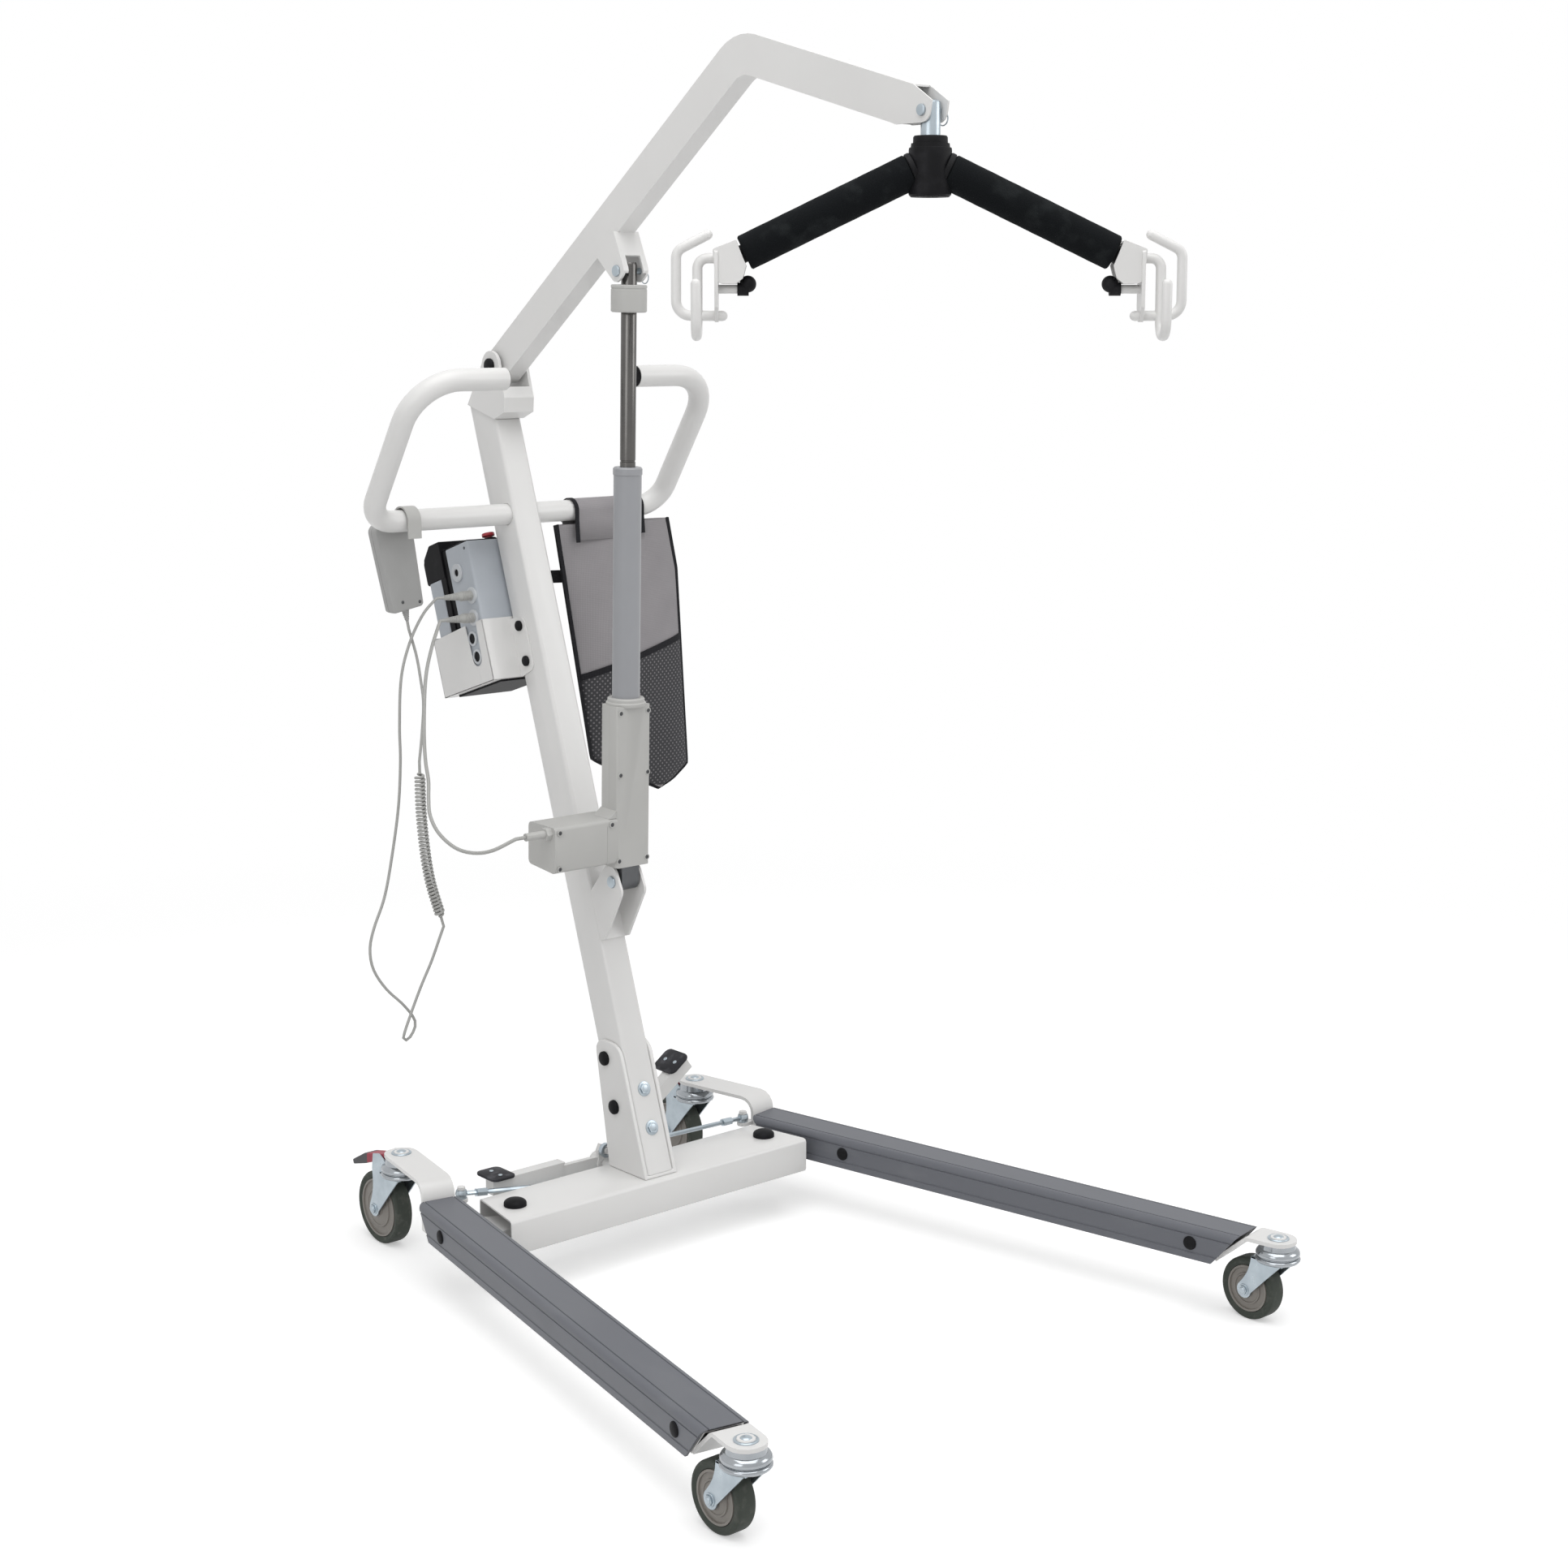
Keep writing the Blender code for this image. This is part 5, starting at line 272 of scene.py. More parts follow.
box_left = -0.082
plug_length = 0.056
hairline = 0.0003
hand_socket = on_mast(box_left, 0.089, 1.1605)
motor_socket = on_mast(box_left, 0.095, 1.1235)
hand_plug_end = hand_socket - along_x * (plug_length + 2 * hairline)
motor_plug_end = motor_socket - along_x * (plug_length + 2 * hairline)
away = (coil_low - coil_middle).normalized()
lower_lead = lead_through([coil_low, coil_low + away * 0.013, (-0.195, 0.306, 0.507),
    (-0.2105, 0.308, 0.47), (-0.23, 0.31, 0.432), (-0.25, 0.312, 0.388), (-0.266, 0.314, 0.346),
    (-0.252, 0.317, 0.343), (-0.237, 0.321, 0.366), (-0.253, 0.328, 0.396), (-0.284, 0.334, 0.43),
    (-0.305, 0.338, 0.466), (-0.309, 0.341, 0.501), (-0.299, 0.343, 0.535), (-0.275, 0.346, 0.584),
    (-0.257, 0.348, 0.65), (-0.24, 0.35, 0.734), (-0.233, 0.351, 0.81), (-0.232, 0.352, 0.87),
    (-0.226, 0.352, 0.95), (-0.207, 0.352, 1.008), (-0.18, 0.352, 1.052), hand_plug_end - along_x * 0.015,
    hand_plug_end], 0.01)
hand_path = upper_lead + curls + lower_lead[1:]

line = bpy.data.curves.new("pendant_cord", "CURVE")
line.dimensions = "3D"
line.bevel_depth = lead_radius
line.bevel_resolution = 3
line.use_fill_caps = True
strand = line.splines.new("POLY")
strand.points.add(len(hand_path) - 1)
for spot, place in zip(strand.points, hand_path):
    spot.co = (*place, 1)
strand.use_smooth = True
line.materials.append(cord_grey)
pendant_cord = added("pendant_cord", line)
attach(pendant_cord, "base")
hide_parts("pendant_lead_upper", "pendant_coil", "pendant_lead_lower")


def placed(origin, u, v, w):
    """Matrix that carries (u, v, w) to the world."""
    matrix = Matrix.Identity(4)
    for column, axis in enumerate((u, v, w, origin)):
        for row in range(3):
            matrix[row][column] = axis[row]
    return matrix


def circle(steps):
    """Cosine and sine at even steps once around."""
    turns = [2 * math.pi * step / steps for step in range(steps)]
    return [(math.cos(turn), math.sin(turn)) for turn in turns]


def directions(path, ring=False):
    """Unit direction of a path at each of its points."""
    last = len(path) - 1
    result = []
    for index in range(last + 1):
        before = path[index - 1] if ring or index else path[0]
        after = path[(index + 1) % (last + 1)] if ring or index < last else path[-1]
        result.append((after - before).normalized())
    return result


def turned(profile, place, steps=48, ring=False):
    """Shell from a profile of (radius, height) turned about the w axis of a place.

    A shell is rows of points, with caps at both ends or, as a ring, closed on itself. The shape
    functions each give a list of shells, so their results can be added.
    """
    rows = []
    for radius, height in profile:
        rows.append([place @ Vector((radius * c, radius * s, height)) for c, s in circle(steps)])
    return [(rows, ring)]


def swept(path, radius, sides=20, domed=False, ring=False):
    """Round bar along a path, its section carried along without a twist, its ends domed if asked."""
    path = [Vector(p) for p in path]
    headings = directions(path, ring)
    side = headings[0].orthogonal().normalized()
    stations = []
    for point, along in zip(path, headings):
        side = (side - along * side.dot(along)).normalized()
        stations.append((point, side, along.cross(side), radius))
    if domed:
        for share in (0.5, 0.85, 0.98):
            reach = radius * math.sqrt(1 - share * share)
            first, last = stations[0], stations[-1]
            stations.insert(0, (path[0] - headings[0] * radius * share, first[1], first[2], reach))
            stations.append((path[-1] + headings[-1] * radius * share, last[1], last[2], reach))
    return [([[p + (u * c + v * s) * r for c, s in circle(sides)] for p, u, v, r in stations], ring)]


def skinned(shells):
    bm = bmesh.new()
    for rows, ring in shells:
        rows = [[bm.verts.new(point) for point in row] for row in rows]
        for low, high in list(zip(rows, rows[1:])) + ([(rows[-1], rows[0])] if ring else []):
            for index in range(len(low)):
                following = (index + 1) % len(low)
                bm.faces.new((low[index], low[following], high[following], high[index]))
        if not ring:
            bm.faces.new(rows[0][::-1])
            bm.faces.new(rows[-1])
    return bm


def show(shape, name, body, finish, replaces=(), sharp=35, edge=0.0):
    """Turn shells, or a mesh being built, into a piece with its finish that moves with a body."""
    bm = skinned(shape) if isinstance(shape, list) else shape
    bmesh.ops.recalc_face_normals(bm, faces=bm.faces)
    mesh = bpy.data.meshes.new(name)
    bm.to_mesh(mesh)
    bm.free()
    mesh.shade_smooth()
    mesh.set_sharp_from_angle(angle=math.radians(sharp))
    mesh.materials.append(finish)
    piece = added(name, mesh)
    if edge:
        rounding = piece.modifiers.new("rounding", "BEVEL")
        rounding.width = edge
        rounding.segments = 2
        rounding.limit_method = "ANGLE"
        rounding.angle_limit = math.radians(sharp)
        rounding.harden_normals = True
    if body:
        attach(piece, body)
    if replaces:
        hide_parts(*replaces)
    return piece


# Each cord ends in a moulded plug with finger ribs and a tapered sleeve, pushed into the socket on the
# side of the control box.
plug_radius = 0.0084
rib_depth = 0.0009
rib_pitch = 0.0036
ring_pitch = 0.004


def plug(name, socket):
    ribbed = plug_radius - rib_depth
    profile = [(plug_radius - 0.001, 0), (plug_radius, 0.001)]
    for rib in range(5):
        height = 0.006 + rib * rib_pitch
        profile += [(plug_radius, height), (ribbed, height + 0.0006), (ribbed, height + 0.0018),
            (plug_radius, height + 0.0024)]
    for ring in range(7):
        height = plug_length / 2 + ring * ring_pitch
        radius = plug_radius * (0.8 - 0.05 * ring)
        profile += [(radius, height), (radius - 0.0001, height + 0.0024),
            (radius - rib_depth, height + 0.003)]
    profile.append((lead_radius, plug_length))
    place = placed(socket - along_x * hairline, along_y, up, -along_x)
    return show(turned(profile, place, 32), name, "base", cord_grey, [name.replace("moulded_", "")])


hand_plug = plug("moulded_pendant_plug", hand_socket)
length_of(hand_path)

actuator_pin = Vector((0, 0.045, 0.6253))
boom_rise = 0.6301
boom_pivot = on_mast(0, -0.0211, 1.4385 + 0.0867)
boom_out = Vector((0, -math.cos(boom_rise), math.sin(boom_rise)))
boom_top = Vector((0, math.sin(boom_rise), math.cos(boom_rise)))
rod_pin = boom_pivot + boom_out * 0.3691 - boom_top * 0.081
rod_up = (rod_pin - actuator_pin).normalized()
rod_back = rod_up.cross(along_x)
actuator = placed(actuator_pin, along_x, rod_back, rod_up)
gland_root = actuator @ Vector((-0.157, -0.006, 0.101))
gland_length = 0.046
gland_end = actuator @ Vector((-0.157 - gland_length - hairline, -0.006, 0.101))
motor_path = lead_through([motor_plug_end, motor_plug_end - along_x * 0.012, (-0.177, 0.334, 0.996),
    (-0.2025, 0.315, 0.948), (-0.224, 0.29, 0.873), (-0.2345, 0.272, 0.823), (-0.24, 0.256, 0.791),
    (-0.251, 0.24, 0.765), (-0.263, 0.218, 0.742), (-0.269, 0.185, 0.719), (-0.268, 0.14, 0.702),
    (-0.264, 0.095, 0.7), (-0.252, 0.058, 0.708), gland_end - along_x * 0.018, gland_end], 0.008)
motor_cord = show(swept(motor_path, motor_cord_radius, 16), "motor_lead", None, cord_pale, ["motor_cord"])
motor_plug = plug("moulded_motor_plug", motor_socket)
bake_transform(motor_cord)
length_of(motor_path)


# The floor is plain and pale. It takes the object's shadow, and far from the object it is pure white,
# as the background is. Soft lamps hang above and stand to each side.
sky_light = 0.5
floor_white = 0.8
floor_glow = 0.39
floor_half = 60.0
floor_near = 1.6
floor_far = 3.4
pure_white = (1, 1, 1, 1)
lamps = (((-0.6, -1.2, 4.6), (0.0, -0.2, 0.3), 4.2, 118), ((-4.2, -1.8, 2.2), (0.0, 0.0, 0.9), 2.4, 30),
    ((3.2, -3.4, 2.6), (0.0, 0.0, 1.0), 2.2, 36))


def seen_rays(shade):
    """1 for rays that meet the eye, straight or through a mirror or glass, and 0 for light."""
    rays = [shade.node("LightPath", {}, {}, "Is %s Ray" % kind) for kind in ("Camera", "Glossy",
        "Transmission")]
    return rays[0].maths("MAXIMUM", rays[0], rays[1].maths("MAXIMUM", *rays[1:]))


def emptied(holder):
    """Node tree of a world or material with nothing in it."""
    holder.use_nodes = True
    holder.node_tree.nodes.clear()
    return Shade(holder.node_tree)


scene.world = bpy.data.worlds.new("sky")
sky = emptied(scene.world)
strength = sky_light + seen_rays(sky) * (1 - sky_light)
sky.node("OutputWorld", {},
    {"Surface": sky.node("Background", {}, {"Color": pure_white, "Strength": strength})})

floor_finish = bpy.data.materials.new("studio_floor")
ground = emptied(floor_finish)
spot = ground.node("TexCoord", {}, {}, "Object")
distance = spot.node("VectorMath", {"operation": "LENGTH"}, {0: spot}, "Value")
matt = ground.node("BsdfDiffuse", {}, {"Color": (floor_white, floor_white, floor_white, 1)})
glow = ground.node("Emission", {}, {"Color": pure_white, "Strength": seen_rays(ground) * floor_glow})
white = ground.node("Emission", {}, {"Color": pure_white, "Strength": 1.0})
near = ground.node("AddShader", {}, {0: matt, 1: glow})
share = between(distance, floor_near, floor_far) * seen_rays(ground)
ground.node("OutputMaterial", {}, {"Surface": ground.node("MixShader", {}, {0: share, 1: near, 2: white})})
bm = bmesh.new()
bmesh.ops.create_grid(bm, x_segments=2, y_segments=2, size=floor_half)
mesh = bpy.data.meshes.new("floor")
bm.to_mesh(mesh)
bm.free()
mesh.materials.append(floor_finish)
added("floor", mesh)

for place, target, size, power in lamps:
    lamp = added("lamp", bpy.data.lights.new("lamp", "AREA"))
    lamp.location = place
    lamp.rotation_euler = (Vector(target) - Vector(place)).to_track_quat("-Z", "Y").to_euler()
    lamp.data.size = size
    lamp.data.energy = power


# The base is one wide crossbar of steel box tube, powder-coated white. The bolt that each leg swings
# on has a domed black cap above and a nut below.
sides = ((1, "left"), (-1, "right"))
pivot_x = 0.262
crossbar_low = 0.0766
crossbar_top = 0.1366

white_paint = mottled("white_powder_coat", "white_frame", ((0.745, 0.74, 0.73), (0.7, 0.695, 0.685)),
    (7, 3), (520, 2), (0.34, 0.12), 0.00005, {"Coat Weight": 0.2})
black = mottled("black_plastic", "black_plastic", ((0.006, 0.006, 0.007), (0.014, 0.014, 0.016)), (35, 4),
    (1400, 2), (0.46, 0.16), 0.00006, {"Specular IOR Level": 0.12}, (0.45, 0.75))


def cast(node, look, edge=0.0008, sharp=35):
    """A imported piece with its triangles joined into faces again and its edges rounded."""
    source = frame["nodes"][node]
    bm = bmesh.new()
    bm.from_mesh(source.data)
    bmesh.ops.remove_doubles(bm, verts=bm.verts, dist=2e-6)
    bmesh.ops.dissolve_limit(bm, angle_limit=math.radians(1), verts=bm.verts, edges=bm.edges)
    return show(bm, node + "_finished", source["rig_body"], look, [node], sharp, edge)


def upright(point):
    return placed(point, along_x, along_y, up)


def facing(point, normal):
    """A place on a surface whose w axis points out of it."""
    w = Vector(normal).normalized()
    u = w.orthogonal().normalized()
    return placed(Vector(point), u, w.cross(u), w)


def dome(place, radius, height, skirt=0.4, foot=0.0005):
    """Round cap with an upright skirt and a domed top."""
    profile = [(radius, -foot), (radius, height * skirt)]
    for step in range(1, 8):
        turn = math.pi / 2 * step / 8
        profile.append((radius * math.cos(turn), height * (skirt + (1 - skirt) * math.sin(turn))))
    return turned(profile, place, 32)


def prism(outline, low, high, place):
    """A flat outline with straight sides."""
    return [([[place @ Vector((u, v, level)) for u, v in outline] for level in (low, high)], False)]


def block(left, low, right, high, start, end, place):
    """A prism on the rectangle between two corners."""
    return prism([(left, low), (right, low), (right, high), (left, high)], start, end, place)


def hexagon(place, radius, low, high):
    return prism([(radius * c, radius * s) for c, s in circle(6)], low, high, place)


cast("base_crossbar", white_paint, sharp=50)
for side, word in sides:
    show(dome(upright((side * pivot_x, 0, crossbar_top + hairline)), 0.0185, 0.0125, 0.35, 0) +
        turned([(0.0165, -0.0012), (0.015, -0.0103), (0.01, -0.0103)],
        upright((side * pivot_x, 0, crossbar_low + 3 * hairline))), "pivot_cap_" + word, "base", black,
        ["pivot_bolt_" + word])


# Each leg is a white box tube under a cover, with a steel arm at each end for its caster. It swings about
# the crossbar's bolt on a flat lever. The caster bolts end in bright domed nuts set in pressed rings.
leg_spread = 0.1903
leg_ahead = 0.938
leg_out = 0.0988
wheelbase = 1.178
front_arm_top = 0.1417
rear_arm_top = 0.17
nut_gap_outer = 0.0121
nut_gap_inner = 0.0087

zinc = mottled("bright_zinc", "zinc", ((0.5, 0.56, 0.6), (0.31, 0.36, 0.4)), (45, 4), (700, 2),
    (0.2, 0.22), 0.00003, {"Metallic": 0.9}, hazy=True)


def leg_place(side):
    """A leg's directions: back from its front bolt, outboard of its middle line, up."""
    back = Vector((-side * math.sin(leg_spread), math.cos(leg_spread), 0))
    out = Vector((side * math.cos(leg_spread), math.sin(leg_spread), 0))
    return placed(along_x * side * pivot_x - back * leg_ahead + out * leg_out, back, out, up)


for side, word in sides:
    cast("leg_" + word, white_paint, 0.0009)
    nuts, gap_shade = [], []
    for back, top in ((0, front_arm_top), (wheelbase, rear_arm_top)):
        place = leg_place(side) @ Matrix.Translation((back, 0, top))
        nuts += turned([(0.0122, -0.0002), (0.0168, -0.0002), (0.0168, 0.0012), (0.0156, 0.0022),
            (0.013, 0.002), (0.0122, 0.001)], place, ring=True)
        nuts += dome(place, 0.0086, 0.0056, 0.3, 0.0002)
        # A black ring in the gap between each pressed ring and its domed nut is painted shade in that
        # recess.
        gap_shade += turned([(nut_gap_outer, -0.0002), (nut_gap_outer, 0.0013), (nut_gap_inner, 0.0013),
            (nut_gap_inner, -0.0002)], place, ring=True)
    show(nuts, "swivel_nuts_" + word, "leg_" + word, zinc)
    show(gap_shade, "swivel_gaps_" + word, "leg_" + word, black)


# Over each leg tube lies a grey plastic cover, an extruded channel with a double wall, grooved along
# its edges and cut off at a slant at both ends. Black push-in plugs fix its sides.
cover_half = 0.0375
cover_top = 0.1405
cover_drop = 0.0525
cover_wall = 0.004
cover_front = 0.052
cover_rear = 1.0165
cover_rake = 0.044
cover_face = 0.037
groove_floor = 0.0362
cell_half = 0.0046
cell_pitch = 0.011

cover_grey = mottled("cover_plastic", "leg_cover", ((0.132, 0.138, 0.156), (0.152, 0.158, 0.174)),
    (26, 5, (1, 0.25, 1)), (1100, 2), (0.44, 0.12), 0.00004, {"Specular IOR Level": 0.35}, (0.52, 0.7),
    True)
# The cells' near-black finish is painted shade for the hollows inside the double wall.
cell_shade = mottled("cell_shadow", "leg_cover", ((0.02, 0.02, 0.022), (0.04, 0.04, 0.045)), (300,), (300,),
    (0, 0), fixed={"Roughness": 0.8})


def arc(centre, radius, start, end, steps):
    """Points from one angle to another around a centre."""
    turns = [start + (end - start) * step / steps for step in range(steps + 1)]
    return [(centre[0] + radius * math.cos(turn), centre[1] + radius * math.sin(turn)) for turn in turns]


cover_bottom = cover_top - cover_drop
half_outline = [(cover_half, cover_bottom), (cover_half, cover_bottom + 0.01),
    (groove_floor, cover_bottom + 0.0108), (groove_floor, cover_bottom + 0.0124),
    (cover_face, cover_bottom + 0.013), (cover_face, 0.127), (0.0358, 0.1276), (0.0358, 0.129),
    (cover_face, 0.1296)]
half_outline += arc((0.027, 0.1303), 0.01, 0, math.pi / 2, 6)
half_outline += [(0.0262, 0.1403), (0.0256, 0.1392), (0.0244, 0.1392), (0.0238, cover_top)]
cover_outline = half_outline + [(-v, z) for v, z in half_outline[::-1]]
inner_half, inner_top = cover_half - cover_wall, cover_top - cover_wall
cover_outline += [(-inner_half, cover_bottom), (-inner_half, inner_top), (inner_half, inner_top),
    (inner_half, cover_bottom)]


def raked(place, outline, end, rake):
    """Outline on a leg cover's slanted end."""
    return [place @ Vector((end + (cover_top - z) / cover_drop * rake, v, z)) for v, z in outline]


for side, word in sides:
    place = leg_place(side)
    rows = [raked(place, cover_outline, *end) for end in ((cover_front, cover_rake),
        (cover_rear, -cover_rake))]
    show([(rows, False)], "cover_" + word, "leg_" + word, cover_grey, ["leg_cover_" + word], sharp=25)
    # Near-black blocks in the front end's cells are painted shade where the double wall's hollow cells
    # open.
    cells = []
    for cell in range(-2, 3):
        left, right = cell * cell_pitch - cell_half, cell * cell_pitch + cell_half
        outline = [(left, 0.1375), (right, 0.1375), (right, 0.1394), (left, 0.1394)]
        rows = [raked(place, outline, cover_front + inward, cover_rake) for inward in (0.004, -0.0002)]
        cells.append((rows, False))
    show(cells, "cover_cells_" + word, "leg_" + word, cell_shade)
    plugs = []
    for face, back in ((1, 0.1255), (1, 0.922), (-1, 0.133), (-1, 0.813)):
        spot = place @ Vector((back, face * cover_face, 0.114))
        plugs += dome(facing(spot, place.to_3x3() @ Vector((0, face, 0))), 0.011, 0.004, 0.3)
    show(plugs, "cover_plugs_" + word, "leg_" + word, black)


# Each caster has a pressed zinc fork that turns on a bright ball race below its arm, and a wheel with a
# grey rubber tread on a taupe plastic centre. The rear forks carry a red brake pedal between two ears.
front_wheel = 0.05
front_trail = 0.046
rear_wheel = 0.0625
rear_trail = 0.0555
tread_half = 0.016
tread_depth = 0.0125
tread_round = 0.0056
arm_thickness = 0.006
fork_half = 0.0195
fork_wall = 0.003
fork_eye = 0.0135
fork_front = 0.025
fork_rear = 0.034
plate_low = 0.0004
plate_top = 0.0042

race_zinc = mottled("polished_zinc", "zinc", ((0.42, 0.44, 0.46), (0.26, 0.28, 0.3)), (30, 3), (500, 2),
    (0.12, 0.1), 0.00001, {"Metallic": 1.0}, hazy=True)
rubber = mottled("tread_rubber", "tyre", ((0.05, 0.058, 0.049), (0.08, 0.085, 0.074)), (70, 5), (900, 3),
    (0.58, 0.2), 0.00008, {"Specular IOR Level": 0.25}, (0.5, 0.72))
taupe = mottled("wheel_plastic", "hub", ((0.24, 0.222, 0.2), (0.185, 0.17, 0.153)), (55, 4), (1000, 2),
    (0.42, 0.14), 0.00004)


def both_ways(half_profile):
    """Close a wheel's half profile with its mirror image."""
    return half_profile + [(radius, -height) for radius, height in half_profile[::-1]]


def caster(side, back, radius, trail, arm_top, name, braked):
    bolt = leg_place(side) @ Vector((back, 0, 0))
    axle = Vector((bolt.x, bolt.y + trail, radius))
    wheel = placed(axle, along_y, up, along_x)
    rim = radius - tread_depth
    tread = [(rim + 0.0004, tread_half - 0.0024), (radius - 0.006, tread_half - 0.001)]
    for step in range(6):
        turn = math.pi / 2 * step / 5
        height = tread_half - tread_round + 0.005 * math.cos(turn)
        tread.append((radius - tread_round + tread_round * math.sin(turn), height))
    show(turned(both_ways(tread), wheel, 72, True), name + "_tread", name + "_wheel", rubber,
        [name + "_tyre"], sharp=50)
    centre = [(0.0058, 0.0175), (0.0145, 0.0175), (0.0155, 0.016), (rim * 0.58, 0.014), (rim * 0.6, 0.015),
        (rim * 0.66, 0.015), (rim * 0.68, 0.0128), (rim - 0.0045, 0.0122), (rim - 0.0038, 0.0146),
        (rim - 0.0006, 0.0146), (rim - 0.0003, 0.012)]
    show(turned(both_ways(centre), wheel, 72, True), name + "_centre", name + "_wheel", taupe,
        [name + "_hub"], sharp=40)
    crown = 2 * radius + 0.005
    race = ((0.027, 0), (0.033, 0.0018), (0.035, 0.0044), (0.035, 0.0062), (0.0335, 0.0084),
        (0.0312, 0.0092), (0.0312, 0.01), (0.0334, 0.011), (0.0344, 0.0136), (0.034, 0.0164),
        (0.0324, 0.0192), (0.0298, 0.0214), (0.0276, 0.0224))
    race = [(reach, crown + lift) for reach, lift in race]
    race_top = arm_top - arm_thickness - hairline
    race += [(0.0268, race_top - 0.003), (0.0264, race_top)]
    show(turned(race, upright((bolt.x, bolt.y, 0)), 56), name + "_race", name + "_swivel", race_zinc,
        sharp=50)
    side_view = placed((bolt.x, 0, 0), along_y, up, along_x)
    outer = fork_half + fork_wall
    fork = block(bolt.y - fork_front, crown + plate_low, bolt.y + fork_rear, crown + plate_top, -outer,
        outer, side_view)
    rear = bolt.y + fork_rear + 0.024 * braked
    cheek = [(bolt.y - fork_front, crown + plate_top)]
    if braked:
        cheek += [(bolt.y + 0.036, crown + 0.034), (bolt.y + 0.054, crown + 0.03)]
    cheek.append((rear, crown + plate_top))
    eye = arc((axle.y, axle.z), fork_eye, 0.5, -math.pi * 0.95, 8)
    hollow, corner = Vector(eye[0]), Vector((rear, crown + 0.002))
    for step in range(1, 6):
        share = step / 6
        sag = 0.16 * math.sin(math.pi * share) * (corner - hollow).length
        cheek.append(tuple(corner.lerp(hollow, share) + Vector((-sag * 0.55, -sag * 0.1))))
    cheek += eye
    for face in (-1, 1):
        fork += prism(cheek, face * fork_half, face * outer, side_view)
        end = placed(axle, along_y, up, along_x * face)
        fork += turned([(0.0095, outer - 0.0004), (0.0095, outer + 0.0012), (0.008, outer + 0.0014)], end)
        fork += hexagon(end, 0.0078, outer + 0.0012, outer + 0.004)
        fork += turned([(0.0052, fork_half - 0.004), (0.0052, outer + 0.0046), (0.004, outer + 0.0056)],
            end, 24)
    show(fork, name + "_fork_finished", name + "_swivel", zinc, [name + "_fork"], edge=0.0006)


for side, word in sides:
    caster(side, 0, front_wheel, front_trail, front_arm_top, "front_caster_" + word, False)
    caster(side, wheelbase, rear_wheel, rear_trail, rear_arm_top, "rear_caster_" + word, True)


def brake_plastic(point):
    """Red where the foot presses down, dark grey at the tip that lifts it."""
    rear_bolt = leg_place(1) @ Vector((wheelbase, 0, 0))
    back = point.node("SeparateXYZ", {}, {"Vector": point}, "Y")
    tip = between(back, rear_bolt.y + 0.0875, rear_bolt.y + 0.089)
    fine = grain(point, 900, 2)
    red = mixed(fine, (0.27, 0.02, 0.04), (0.33, 0.034, 0.058))
    dark = mixed(fine, (0.034, 0.034, 0.038), (0.055, 0.055, 0.06))
    return {"Base Color": mixed(tip, red, dark), "Roughness": 0.45 + fine * 0.15,
        "Normal": relief(fine, 0.00005)}


brake_red = finish_of("brake_plastic", "red_plastic", brake_plastic)
for word in ("left", "right"):
    cast("rear_caster_" + word + "_pedal", brake_red, 0.002)


# The pedal rocker behind the crossbar spreads the legs through two zinc tie rods. It is a white weldment
# with two grip plates of dark rubber, each held by two rivets.
rocker_z = 0.12
rocker_turn = 0.628
pad_out = 0.212
pad_middle = 0.127
pad_rise = 0.0208
pad_half, pad_reach, pad_corner, pad_thickness = 0.023, 0.029, 0.011, 0.0048
rivet_back = 0.013

grip = mottled("grip_rubber", "black_plastic", ((0.02, 0.02, 0.024), (0.062, 0.062, 0.07)), (48, 5),
    (1300, 3), (0.52, 0.2), 0.0001, {"Specular IOR Level": 0.25}, (0.46, 0.66))


def bent(corners, steps=10):
    """Path or outline whose corners, each with its bend radius last, become arcs. Ends stay."""
    result = []
    for index, corner in enumerate(corners):
        point, radius = Vector(corner[:-1]), corner[-1]
        if not radius:
            result.append(point)
            continue
        before = (Vector(corners[index - 1][:-1]) - point).normalized()
        after = (Vector(corners[(index + 1) % len(corners)][:-1]) - point).normalized()
        half = before.angle(after) / 2
        centre = point + (before + after).normalized() * radius / math.sin(half)
        first = point + before * radius / math.tan(half) - centre
        last = point + after * radius / math.tan(half) - centre
        sweep = first.angle(last)
        for step in range(steps + 1):
            share = step / steps
            near, far = math.sin((1 - share) * sweep), math.sin(share * sweep)
            result.append(centre + (first * near + last * far) / math.sin(sweep))
    return result


def slab(corners, levels, place, steps, shrink=1):
    """Block with rounded corners (u, v, radius) around its middle and an inset at each of its levels."""
    rows = []
    for height, inset in levels:
        outline = bent([(u - math.copysign(inset, u), v - math.copysign(inset, v), radius - inset * shrink)
            for u, v, radius in corners], steps)
        rows.append([place @ Vector((u, v, height)) for u, v in outline])
    return [(rows, False)]


cast("pedal_rocker", white_paint, 0.0015)
for side, word in sides:
    turn = rocker_turn if side > 0 else 0
    along = Vector((side * math.cos(turn), 0, math.sin(turn)))
    above = Vector((-side * math.sin(turn), 0, math.cos(turn)))
    middle = Vector((0, pad_middle, rocker_z)) + along * pad_out + above * pad_rise
    show(slab([(pad_half, pad_reach, pad_corner), (-pad_half, pad_reach, pad_corner),
        (-pad_half, -pad_reach, pad_corner), (pad_half, -pad_reach, pad_corner)],
        ((0, 0.0006), (0.0008, 0), (0.004, 0), (pad_thickness, 0.0012)), placed(middle, along, along_y,
        above), 5), "grip_plate_" + word, "rocker", grip, ["pedal_pad_" + word])
    rivets = []
    for back in (-rivet_back, rivet_back):
        rivets += dome(facing(middle + along_y * back + above * pad_thickness, above), 0.0036, 0.0012, 0.2)
    show(rivets, "grip_rivets_" + word, "rocker", zinc)
    cast("tie_rod_" + word, zinc, 0.0004)


# The mast is a white box tube that leans back out of a foot of two thick plates. Black capped bolts go
# through the plates, bright ones through its front, and its top is cut square to the boom's head.
foot_half = 0.0335

cast("mast_foot", white_paint, 0.002)
cast("mast", white_paint, 0.0006, 50)
cast("mast_head", white_paint, 0.002)


